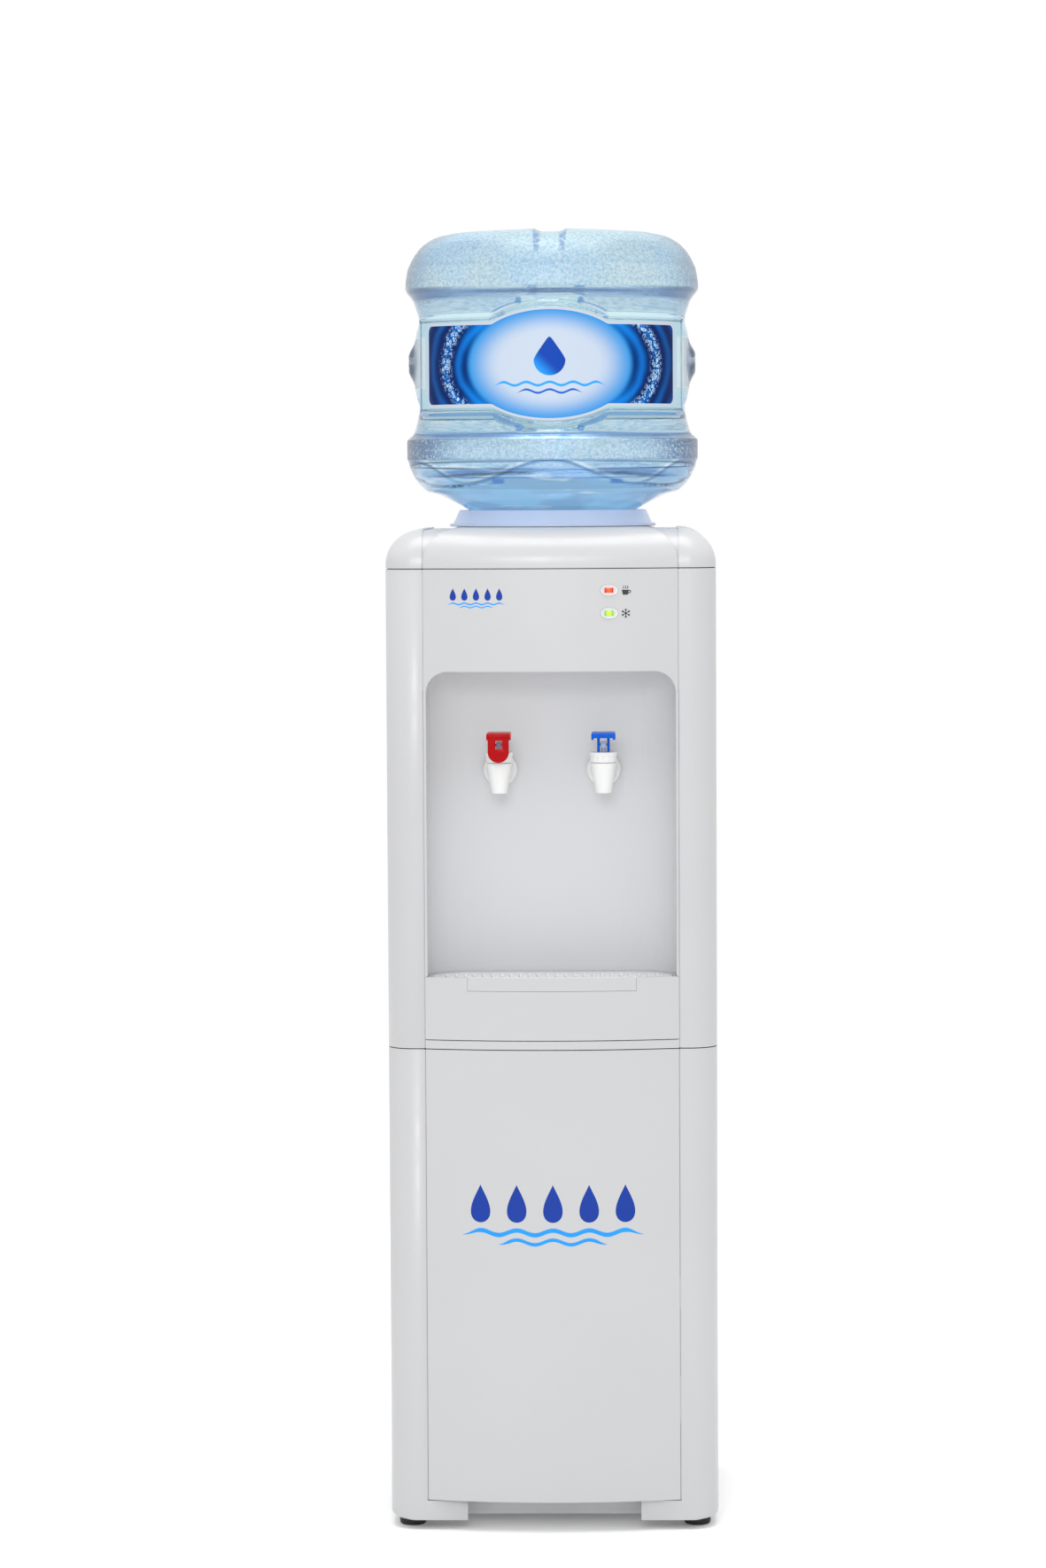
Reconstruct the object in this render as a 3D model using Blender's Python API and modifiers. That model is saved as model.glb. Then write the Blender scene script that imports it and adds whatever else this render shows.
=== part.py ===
"""Floor-standing hot and cold water dispenser with an inverted bottle.

Metres, +Z up, front towards -Y. The origin is on the floor under the middle of the cabinet.
"""

from math import cos, pi, radians, sin, sqrt

import bmesh
import bpy
from mathutils import Matrix, Vector

# Driving sizes: fits and general values
GAP = 0.0003              # between pieces that touch
SEAM = 0.0008             # visible seam between outer panels
OVERRUN = 0.02            # how far a cutter runs past what it cuts
FUSE = 0.0006             # how far joined shapes reach into each other
ROUND_STEPS = 24          # facets round a large turned piece
SMALL_STEPS = 16          # facets round a small turned piece
ARC_STEPS = 5             # pieces of a quarter turn in an outline
HEEL_STEPS = 3            # pieces of a small quarter turn
SMOOTH_ANGLE = 35.0       # degrees up to which an edge is shaded smooth

# Driving sizes: cabinet
CABINET_WIDTH = 0.310
CABINET_DEPTH = 0.310     # side strips' front plane to the side panels' rear edge
CORNER_RADIUS = 0.026
PANEL_WALL = 0.0025
STRIP_WIDTH = 0.0355      # side strips on the front, beside the centre panels
BOW = 0.015               # how far the centre panels bulge past the strips
BOW_STEPS = 10
REAR_RADIUS = 0.008       # rear corners of the side panels and the top cover
REAR_RETURN = 0.016       # side panels wrap this far across the back
RETURN_DEPTH = 0.014      # side returns of the lower front panel
FOOT_HEIGHT = 0.009
FOOT_RADIUS = 0.0127
FOOT_INSET_X = 0.020      # foot centres in from the sides
FOOT_INSET_Y = 0.0305     # and from the strips' plane and the rear
TOE_HEIGHT = 0.0195
TOE_REACH = 0.038         # how far each toe runs in past its strip
MID_SEAM = 0.4566
LID_SEAM = 0.9067
LID_TOP = 0.9446
BASE_RECESS = 0.030       # base rail behind the strips
BASE_RAIL_HEIGHT = 0.034
BASE_WALL = 0.0018

# Driving sizes: upper front panel, niche and tray
SILL_TOP = 0.4650
SILL_WALL = 0.0025
TRAY_TOP = 0.5242
NICHE_TOP = 0.8104
NICHE_DEPTH = 0.055       # strips' plane to the niche's back wall
NICHE_CORNER = 0.038
NICHE_COVE = 0.020
NICHE_STEPS = 6
TRAY_WALL = 0.0024
TRAY_FRONT_DEPTH = 0.0035 # depth of the tray's full-width front behind the strips' plane
TRAY_CLEARANCE = 0.0006
GRID_LEDGE = 0.0020
GRID_THICKNESS = 0.0030
GRID_DROP = 0.0006        # top of the grid under the tray's rim
GRID_LIP_WIDTH = 0.158
GRID_LIP_HEIGHT = 0.0123
SLOT_COUNT = 24
SLOT_WIDTH = 0.0038
SLOT_LENGTH = 0.040
SLOT_PITCH = 0.0086

# Driving sizes: lamps in the fascia
LAMP_X = 0.055
HEATING_LAMP_Z = 0.8863
COOLING_LAMP_Z = 0.8649
DISH_WIDTH = 0.016
DISH_HEIGHT = 0.010
DISH_DEPTH = 0.0009
LENS_WIDTH = 0.0080
LENS_HEIGHT = 0.0043
LENS_LENGTH = 0.0070
BOARD_WIDTH = 0.028
BOARD_HEIGHT = 0.046
BOARD_THICKNESS = 0.0016

# Driving sizes: top cover and collar
LID_FILLET = 0.033
LID_FILLET_STEPS = 4
LID_WALL = 0.0030
LID_STEP = 0.0015         # the centre section stands this much above the sides
LID_CORNER_SHARE = 0.25   # corner radius left at the top of the fillet
COLLAR_BRIM_RADIUS = 0.099
COLLAR_BRIM_THICKNESS = 0.0026
COLLAR_FOOT_RADIUS = 0.0958
COLLAR_TOP_RADIUS = 0.0897
COLLAR_HEIGHT = 0.0158    # above the top cover
COLLAR_WALL = 0.0025
COLLAR_LIP_DEPTH = 0.0026
COLLAR_SPIGOT_RADIUS = 0.0876
COLLAR_SPIGOT_DEPTH = 0.012
COLLAR_DISH_INNER = 0.040
COLLAR_DISH_OUTER = 0.0740

# Driving sizes: bottle
BOTTLE_RADIUS = 0.1407
BOTTLE_SHOULDER_Z = 0.9340  # where the neck meets the shoulder cone
BOTTLE_HEIGHT = 0.2927      # shoulder to the highest rim
BOTTLE_WALL = 0.0022
NECK_RADIUS = 0.0275
NECK_WALL = 0.0025
NECK_LENGTH = 0.0604
BOSS_RADIUS = 0.022
BOSS_REACH = 0.1385
BOSS_INNER = 0.1292
BOSS_Z = 1.1010
# Outer outline from shoulder to rim: share of the bottle's radius, share of its height
BOTTLE_OUTLINE_SHARES = (
    (0.776, 0.1415), (0.851, 0.150), (0.913, 0.1766), (0.958, 0.2115), (0.984, 0.2467),
    (0.994, 0.2562), (0.994, 0.3164), (0.983, 0.3246), (0.945, 0.3423), (0.921, 0.3826),
    (0.905, 0.4185), (0.924, 0.4554), (0.9350, 0.4886), (0.9360, 0.5706), (0.9320, 0.6440),
    (0.925, 0.6730), (0.9085, 0.7089), (0.926, 0.7455), (0.947, 0.7745), (0.986, 0.7974),
    (1.000, 0.8148), (0.991, 0.8551), (0.957, 0.9043), (0.910, 0.9392), (0.820, 0.9740),
    (0.684, 0.9915), (0.441, 1.0),
)
BASE_DISH_SHARES = ((0.28, 0.988), (0.0, 0.972))
CAP_RADIUS = 0.0298
CAP_HEIGHT = 0.0220
CAP_FLOOR = 0.0020
LABEL_RADIUS = 0.1329
LABEL_THICKNESS = 0.0005
LABEL_HALF_ANGLE = 63.0     # degrees either side of the front
LABEL_WING_HEIGHT = 0.074
LABEL_OVAL_HEIGHT = 0.106
LABEL_OVAL_WIDTH = 0.1668
LABEL_Z = 1.0975
LABEL_STEPS = 24

# Driving sizes: feed seat and tanks
SEAT_RADIUS = 0.039
SEAT_WALL = 0.0030
SEAT_FLANGE_RADIUS = 0.078
SEAT_FLANGE_THICKNESS = 0.0040
SEAT_FLOOR_Z = 0.8700
PROBE_RADIUS = 0.0090
PROBE_TIP_RADIUS = 0.0065
PROBE_BORE = 0.0040
PROBE_HEIGHT = 0.0350
PROBE_TAPER = 0.0060
SHELF_Z = 0.6860
SHELF_THICKNESS = 0.0020
SHELF_INSET = 0.018       # front edge of the shelf behind the foam's
FOAM_CLEARANCE = 0.0135   # behind the niche's back wall
FOAM_WALL = 0.015
FOAM_FLOOR = 0.012
COIL_SPACE = 0.011        # between the foam and the cold tank
TANK_WALL = 0.0020
TANK_HEADROOM = 0.012
COIL_TUBE_RADIUS = 0.0030
COIL_TURNS = 4
COIL_PITCH = 0.011
COIL_STEPS = 15
HOT_TANK_RADIUS = 0.050
HOT_TANK_Z = 0.5450
HOT_JACKET_RADIUS = 0.062
HOT_JACKET_TOP = 0.013
HOT_JACKET_Z = 0.5760
BAND_THICKNESS = 0.0030
BAND_Z = 0.5520
BAND_HEIGHT = 0.018
THERMOSTAT_RADIUS = 0.012
THERMOSTAT_HEIGHT = 0.010
THERMOSTAT_X = 0.026

# Driving sizes: cooling unit and back
BACK_WALL = 0.0015
BACK_PANEL_Z = 0.190
COMPRESSOR_RADIUS = 0.058
COMPRESSOR_HEIGHT = 0.142
COMPRESSOR_INSET = 0.081  # its axis in from the rear
COMPRESSOR_FEET_WIDTH = 0.150
COMPRESSOR_FEET_DEPTH = 0.104
COMPRESSOR_FEET_HEIGHT = 0.011
COMPRESSOR_PLATE = 0.0030
COMPRESSOR_LEG = 0.022
COMPRESSOR_FLANGE = 0.0035
COMPRESSOR_SEAM_SHARE = 0.55
# Outline of the can above and below its seam: share of its radius, share of its height
COMPRESSOR_TOP_SHARES = ((0, 1.0), (0.45, 0.98), (0.78, 0.92), (0.95, 0.82), (1.0, 0.70))
COMPRESSOR_BOTTOM_SHARES = ((1.0, 0.16), (0.88, 0.06), (0.70, 0), (0, 0))
DRIER_RADIUS = 0.0095
DRIER_LENGTH = 0.085
DRIER_INSET = 0.043
DRIER_Z = 0.095
LINE_RADIUS = 0.0032
LINE_BEND = 0.0128        # length of a chamfered bend
LINE_CLEARANCE = 0.0012   # round the suction line in the shelf
LINE_INSET = 0.051
LINE_Z = 0.112
CONDENSER_X = -0.020
CONDENSER_MARGIN = 0.096  # cabinet width less the condenser's
CONDENSER_LOW = 0.215
CONDENSER_RUNS = 12
CONDENSER_PITCH = 0.038
CONDENSER_TUBE = 0.0025
STRAP_WIDTH = 0.014
STRAP_THICKNESS = 0.0025
STRAP_INSET = 0.032
STANDOFF = 0.0150         # condenser's outer face behind the side panels' rear edge
SWITCH_INSET = 0.060
SWITCH_Z = 0.800
SWITCH_WIDTH = 0.050
SWITCH_HEIGHT = 0.030
SWITCH_FLANGE = 0.0020
SWITCH_DEPTH = 0.020
SWITCH_WALL = 0.0015
ROCKER_WIDTH = 0.0180
ROCKER_HEIGHT = 0.0220
ROCKER_PITCH = 0.0225
ROCKER_CREST = 0.0030
ROCKER_BODY = 0.0040
ROCKER_TILT = 8.0         # degrees each way from level
ROCKER_CLEARANCE = 0.0006
GLAND_INSET = 0.037
GLAND_Z = 0.225
GLAND_RADIUS = 0.0085
GLAND_FLANGE_RADIUS = 0.0120
GLAND_FLANGE = 0.0030
GLAND_BORE = 0.0038
GLAND_REACH = 0.0120
GLAND_TIP_RADIUS = 0.0064
GLAND_TAIL = 0.0045       # inside the back panel
DRAIN_INSET = 0.037
DRAIN_Z = 0.505
DRAIN_RADIUS = 0.0065
DRAIN_BORE = 0.0040
DRAIN_FLANGE_RADIUS = 0.0115
DRAIN_FLANGE = 0.0025
DRAIN_REACH = 0.0095
DRAIN_CAP_RADIUS = 0.0100
DRAIN_CAP_WALL = 0.0022

# Driving sizes: taps
TAP_X = 0.049
TAP_REACH = 0.038         # tap axis in front of the niche's back wall
SHANK_Z = 0.7160
SHANK_RADIUS = 0.0060
TAP_FLANGE_RADIUS = 0.0160
TAP_FLANGE = 0.0030
SHANK_REACH = 0.0105      # behind the niche's back wall
FEED_TUBE_RADIUS = 0.0042
FEED_TUBE_CLEARANCE = 0.0008
FEED_TUBE_ANGLE = 42.0    # degrees off the front, where the hot tube meets its jacket
NUT_RADIUS = 0.0110
NUT_LENGTH = 0.0070
NOZZLE_LENGTH = 0.0284
NOZZLE_TOP_RADIUS = 0.0123
NOZZLE_TIP_RADIUS = 0.00735
NOZZLE_WALL_SHARE = 0.8   # how far the shank reaches into the nozzle's wall
NOZZLE_BORE = 0.0052
NOZZLE_TIP_Z = 0.6958
VALVE_RADIUS = 0.0095
VALVE_SEAT = 0.0152       # valve seat above the nozzle tip
TAP_CAP_RADIUS = 0.0130
TAP_CAP_HEIGHT = 0.0100
TAP_CAP_RIM = 0.0032
STEM_RADIUS = 0.0020
SEAL_RADIUS = 0.0085
SEAL_THICKNESS = 0.0030
STEM_HEAD_WIDTH = 0.0052
STEM_HEAD_DEPTH = 0.0060
STEM_HEAD_HEIGHT = 0.0060
PIN_RADIUS = 0.0011
PIN_RISE = 0.0066         # lever pin above the cap
SPRING_RADIUS = 0.0060
SPRING_WIRE = 0.0005
SPRING_TURNS = 3
SPRING_STEPS = 9
LEVER_WIDTH = 0.0225
LEVER_THICKNESS = 0.0050
LEVER_REACH = 0.0250      # paddle's front edge ahead of the pin
LEVER_TAIL = 0.0060
LEVER_RISE = 0.0072       # underside of the paddle above the pin
LEVER_EDGE = 0.0016
LEG_THICKNESS = 0.0025
LEG_SPREAD = 0.0118
LEG_FRONT = 0.0070
LEG_TAIL = 0.0035
LUG_THICKNESS = 0.0011
LUG_REACH = 0.0042
FLAP_WIDTH = 0.0198
FLAP_LENGTH = 0.0250
FLAP_THICKNESS = 0.0018
FLAP_PIN_RADIUS = 0.0009
FLAP_CROWN = 0.0014       # the flap's top edge above its trunnions
FLAP_STEPS = 10
FLAP_WINDOW_WIDTH = 0.0066
FLAP_WINDOW_HEIGHT = 0.0080
FLAP_WINDOW_DROP = 0.0058

# Worked out from the driving sizes
HALF_WIDTH = CABINET_WIDTH / 2
HALF_DEPTH = CABINET_DEPTH / 2
FOOT_SPREAD = HALF_WIDTH - FOOT_INSET_X
FOOT_REACH = HALF_DEPTH - FOOT_INSET_Y
FRONT = -HALF_DEPTH
APEX = FRONT - BOW
CENTRE_HALF = HALF_WIDTH - STRIP_WIDTH
PANEL_HALF = CENTRE_HALF - SEAM / 2
STRIP_EDGE = CENTRE_HALF + SEAM / 2
BOW_RADIUS = (CENTRE_HALF ** 2 + BOW ** 2) / (2 * BOW)
BODY_LOW = FOOT_HEIGHT
TOE_TOP = BODY_LOW + TOE_HEIGHT
INNER_HALF = HALF_WIDTH - PANEL_WALL - GAP
NICHE_BACK = FRONT + NICHE_DEPTH
NICHE_WALL_BACK = NICHE_BACK + PANEL_WALL
NICHE_HALF = PANEL_HALF - PANEL_WALL
FOAM_RADIUS = -NICHE_WALL_BACK - FOAM_CLEARANCE
SHELF_FRONT = FOAM_RADIUS - SHELF_INSET
TANK_RADIUS = FOAM_RADIUS - FOAM_WALL - COIL_SPACE
COMPRESSOR_Y = HALF_DEPTH - COMPRESSOR_INSET
CONDENSER_WIDTH = CABINET_WIDTH - CONDENSER_MARGIN
SWITCH_X = SWITCH_INSET - HALF_WIDTH
GLAND_X = HALF_WIDTH - GLAND_INSET
DRAIN_X = HALF_WIDTH - DRAIN_INSET
DRIER_X = HALF_WIDTH - DRIER_INSET
LINE_X = HALF_WIDTH - LINE_INSET
BACK_FACE = HALF_DEPTH - PANEL_WALL - GAP
REAR_HALF = HALF_WIDTH - REAR_RADIUS
REAR_LINE = HALF_DEPTH - REAR_RADIUS
BACK_INNER = BACK_FACE - BACK_WALL
COLLAR_TOP = LID_TOP + COLLAR_HEIGHT
SHOULDER_RADIUS = BOTTLE_OUTLINE_SHARES[0][0] * BOTTLE_RADIUS
SHOULDER_RISE = BOTTLE_OUTLINE_SHARES[0][1] * BOTTLE_HEIGHT
SHOULDER_SLOPE = SHOULDER_RISE / (SHOULDER_RADIUS - NECK_RADIUS)
NECK_END = BOTTLE_SHOULDER_Z - NECK_LENGTH
TAP_Y = NICHE_BACK - TAP_REACH
TAP_CAP_TOP = NOZZLE_TIP_Z + NOZZLE_LENGTH + GAP + TAP_CAP_HEIGHT
PIN_Z = TAP_CAP_TOP + PIN_RISE
VALVE_Z = NOZZLE_TIP_Z + VALVE_SEAT
FLAP_Y = TAP_Y - LEVER_REACH - LUG_REACH / 2
FLAP_Z = PIN_Z + LEVER_RISE + LEVER_THICKNESS / 2

for leftover in list(bpy.data.objects):
    bpy.data.objects.remove(leftover, do_unlink=True)

PARTS = bpy.data.collections.new("water_dispenser")
CUTTERS = bpy.data.collections.new("cutters")
for group in (PARTS, CUTTERS):
    bpy.context.scene.collection.children.link(group)


def material(name, colour, roughness, metallic=0.0, transmission=0.0):
    """A Principled material with one colour."""
    made = bpy.data.materials.get(name)
    if made:
        return made
    made = bpy.data.materials.new(name)
    made.use_nodes = True
    shader = made.node_tree.nodes["Principled BSDF"]
    shader.inputs["Base Color"].default_value = (*colour, 1.0)
    shader.inputs["Roughness"].default_value = roughness
    shader.inputs["Metallic"].default_value = metallic
    shader.inputs["Transmission Weight"].default_value = transmission
    made.diffuse_color = (*colour, 1.0)
    return made


WHITE = material("white_gloss_plastic", (0.72, 0.73, 0.74), 0.25)
LINER = material("niche_plastic", (0.66, 0.67, 0.70), 0.3)
GREY = material("grey_base_steel", (0.30, 0.34, 0.40), 0.5)
BLACK = material("black_rubber", (0.02, 0.02, 0.02), 0.7)
COLLAR_BLUE = material("pale_blue_plastic", (0.50, 0.58, 0.80), 0.35)
BOTTLE_BLUE = material("clear_blue_bottle", (0.62, 0.84, 0.90), 0.05, transmission=0.9)
CAP_BLUE = material("blue_cap", (0.03, 0.16, 0.55), 0.4)
LABEL = material("label_film", (0.10, 0.30, 0.65), 0.4)
RED = material("hot_red", (0.45, 0.0, 0.005), 0.3)
BLUE = material("cold_blue", (0.0, 0.08, 0.45), 0.3)
MILKY = material("milky_plastic", (0.75, 0.80, 0.88), 0.3)
STEEL = material("stainless_steel", (0.60, 0.60, 0.60), 0.3, metallic=1.0)
ZINC = material("zinc_plated_steel", (0.55, 0.56, 0.57), 0.45, metallic=0.8)
COPPER = material("copper", (0.72, 0.35, 0.20), 0.35, metallic=1.0)
FOAM = material("white_foam", (0.80, 0.80, 0.78), 0.9)
BLACK_PAINT = material("black_painted_steel", (0.015, 0.015, 0.015), 0.4)
CIRCUIT = material("circuit_board", (0.02, 0.18, 0.06), 0.5)
RED_LENS = material("red_lens", (0.80, 0.02, 0.01), 0.2)
GREEN_LENS = material("green_lens", (0.35, 0.80, 0.05), 0.2)


def file_object(thing, finish):
    """Put a piece in the parts, or a cutter, which has no finish, with the cutters."""
    if finish:
        PARTS.objects.link(thing)
        thing.data.materials.append(finish)
        return thing
    CUTTERS.objects.link(thing)
    thing.hide_render = True
    thing.display_type = "WIRE"
    return thing


def from_bmesh(name, bm, finish):
    bmesh.ops.recalc_face_normals(bm, faces=bm.faces)
    mesh = bpy.data.meshes.new(name)
    bm.to_mesh(mesh)
    bm.free()
    return file_object(bpy.data.objects.new(name, mesh), finish)


def shade_round(thing):
    thing.data.shade_smooth()
    thing.data.set_sharp_from_angle(angle=radians(SMOOTH_ANGLE))
    return thing


def block(name, low, high, finish=None):
    """A box between two corners."""
    low, high = Vector(low), Vector(high)
    bm = bmesh.new()
    bmesh.ops.create_cube(bm, size=1.0)
    bmesh.ops.scale(bm, vec=high - low, verts=bm.verts)
    bmesh.ops.translate(bm, vec=(low + high) / 2, verts=bm.verts)
    return from_bmesh(name, bm, finish)


def loft(name, sections, finish=None):
    """A closed solid through loops of as many points each, capped at both ends."""
    bm = bmesh.new()
    rings = [[bm.verts.new(point) for point in section] for section in sections]
    for lower, upper in zip(rings, rings[1:]):
        for i in range(len(lower)):
            j = (i + 1) % len(lower)
            bm.faces.new((lower[i], lower[j], upper[j], upper[i]))
    bm.faces.new(reversed(rings[0]))
    bm.faces.new(rings[-1])
    return from_bmesh(name, bm, finish)


def prism(name, outline, low, high, finish=None, axis="Z"):
    """A flat outline drawn out along X, Y or Z."""
    place = {
        "X": lambda u, v, w: (w, u, v),
        "Y": lambda u, v, w: (u, w, v),
        "Z": lambda u, v, w: (u, v, w),
    }[axis]
    return loft(name, [[place(u, v, w) for u, v in outline] for w in (low, high)], finish)


def wall(name, path, low, high, thickness, finish):
    """A sheet standing on a path, with its thickness on the path's left."""
    bm = bmesh.new()
    rows = [[bm.verts.new((x, y, z)) for x, y in path] for z in (low, high)]
    for i in range(len(path) - 1):
        bm.faces.new((rows[0][i], rows[0][i + 1], rows[1][i + 1], rows[1][i]))
    mesh = bpy.data.meshes.new(name)
    bm.to_mesh(mesh)
    bm.free()
    sheet = file_object(bpy.data.objects.new(name, mesh), finish)
    shell = sheet.modifiers.new("Wall", "SOLIDIFY")
    shell.thickness = thickness
    shell.offset = -1.0
    shell.use_even_offset = True
    return sheet


def turned(name, profile, finish=None, closed=True, steps=ROUND_STEPS, centre=(0, 0, 0), axis="Z"):
    """A profile of (radius, height) turned about an axis, its outer side listed top to bottom."""
    mesh = bpy.data.meshes.new(name)
    count = len(profile)
    edges = [(i, i + 1) for i in range(count - 1)] + ([(count - 1, 0)] if closed else [])
    mesh.from_pydata([(radius, 0, height) for radius, height in profile], edges, [])
    piece = file_object(bpy.data.objects.new(name, mesh), finish)
    screw = piece.modifiers.new("Turn", "SCREW")
    screw.axis = "Z"
    screw.angle = 2 * pi
    screw.steps = screw.render_steps = steps
    screw.use_merge_vertices = True
    screw.merge_threshold = 0.00001
    screw.use_smooth_shade = True
    piece.location = centre
    if axis == "Y":
        piece.rotation_euler = (-pi / 2, 0, 0)
    if axis == "X":
        piece.rotation_euler = (0, pi / 2, 0)
    return piece


def rod(name, radius, start, end, finish=None, steps=SMALL_STEPS):
    """A round bar between two points."""
    start, end = Vector(start), Vector(end)
    bm = bmesh.new()
    bmesh.ops.create_cone(
        bm, cap_ends=True, segments=steps, radius1=radius, radius2=radius, depth=(end - start).length
    )
    turn = Vector((0, 0, 1)).rotation_difference(end - start).to_matrix().to_4x4()
    bm.transform(Matrix.Translation((start + end) / 2) @ turn)
    return shade_round(from_bmesh(name, bm, finish))


def pipe(name, points, radius, finish, resolution=2):
    """A tube along straight runs between points."""
    curve = bpy.data.curves.new(name, "CURVE")
    curve.dimensions = "3D"
    curve.bevel_depth = radius
    curve.bevel_resolution = resolution
    curve.use_fill_caps = True
    curve.render_resolution_u = 0
    run = curve.splines.new("POLY")
    run.points.add(len(points) - 1)
    for spot, point in zip(run.points, points):
        spot.co = (*point, 1.0)
    return file_object(bpy.data.objects.new(name, curve), finish)


def as_mesh(thing, finish=None):
    """A curve object made into a welded mesh object."""
    bpy.context.view_layer.update()
    baked = thing.evaluated_get(bpy.context.evaluated_depsgraph_get())
    mesh = bpy.data.meshes.new_from_object(baked)
    name, place = thing.name, thing.matrix_world.copy()
    bpy.data.objects.remove(thing, do_unlink=True)
    bm = bmesh.new()
    bm.from_mesh(mesh)
    bmesh.ops.remove_doubles(bm, verts=bm.verts, dist=0.000001)
    bm.to_mesh(mesh)
    bm.free()
    mesh.materials.clear()
    solid = file_object(bpy.data.objects.new(name, mesh), finish)
    solid.matrix_world = place
    return solid


def boolean(target, other, operation):
    """Cut the other shape from the target, or join it on, and keep it as a hidden guide."""
    if other.name in PARTS.objects:
        PARTS.objects.unlink(other)
        CUTTERS.objects.link(other)
    other.hide_render = True
    other.display_type = "WIRE"
    step = target.modifiers.new(operation.title() + " " + other.name, "BOOLEAN")
    step.operation = operation
    step.object = other
    return target


def cut(target, *others):
    for other in others:
        boolean(target, other, "DIFFERENCE")
    return target


def join(target, *others):
    for other in others:
        boolean(target, other, "UNION")
    return target


def pivot(name, location, parent=None):
    """An empty on a joint's axis, placed in world coordinates."""
    empty = bpy.data.objects.new(name, None)
    empty.empty_display_size = FOOT_RADIUS
    PARTS.objects.link(empty)
    empty.matrix_world = Matrix.Translation(location)
    if parent:
        carry(parent, empty)
    return empty


def carry(parent, *pieces):
    """Parent pieces without moving them."""
    bpy.context.view_layer.update()
    for piece in pieces:
        piece.parent = parent
        piece.matrix_parent_inverse = parent.matrix_world.inverted()


def arc(centre, radius, start, end, steps=ARC_STEPS):
    """Points on an arc, angles in degrees."""
    angles = [radians(start + (end - start) * i / steps) for i in range(steps + 1)]
    return [(centre[0] + radius * cos(a), centre[1] + radius * sin(a)) for a in angles]


def bowed_front(half, inset=0.0, steps=BOW_STEPS):
    """Points along the centre panels' bowed front, left to right."""
    xs = [-half + 2 * half * i / steps for i in range(steps + 1)]
    return [(x, bow_y(x, inset)) for x in xs]


def bow_y(x, inset=0.0):
    return APEX + BOW_RADIUS - sqrt((BOW_RADIUS - inset) ** 2 - x ** 2)


def niche_outline(half, front, rear, radius):
    """A front line closed by straight sides and rounded rear corners."""
    right = arc((half - radius, rear - radius), radius, 0, 90)
    left = arc((radius - half, rear - radius), radius, 90, 180)
    return front + right + left


def rounded_rectangle(half_x, half_y, front_radius, rear_radius):
    points = []
    for quarter, (sx, sy) in enumerate(((1, 1), (-1, 1), (-1, -1), (1, -1))):
        radius = rear_radius if sy > 0 else front_radius
        centre = (sx * (half_x - radius), sy * (half_y - radius))
        points += arc(centre, radius, 90 * quarter, 90 * quarter + 90)
    return points


def side_path(side, front_end):
    """Outer line of a side panel seen from above, with the body on its left."""
    corner = (HALF_WIDTH - CORNER_RADIUS, FRONT + CORNER_RADIUS)
    heel = (HALF_WIDTH - REAR_RADIUS, HALF_DEPTH - REAR_RADIUS)
    points = [(front_end, FRONT)] + arc(corner, CORNER_RADIUS, -90, 0)
    points += arc(heel, REAR_RADIUS, 0, 90, HEEL_STEPS) + [(HALF_WIDTH - REAR_RETURN, HALF_DEPTH)]
    return points if side > 0 else [(-x, y) for x, y in reversed(points)]


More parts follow.
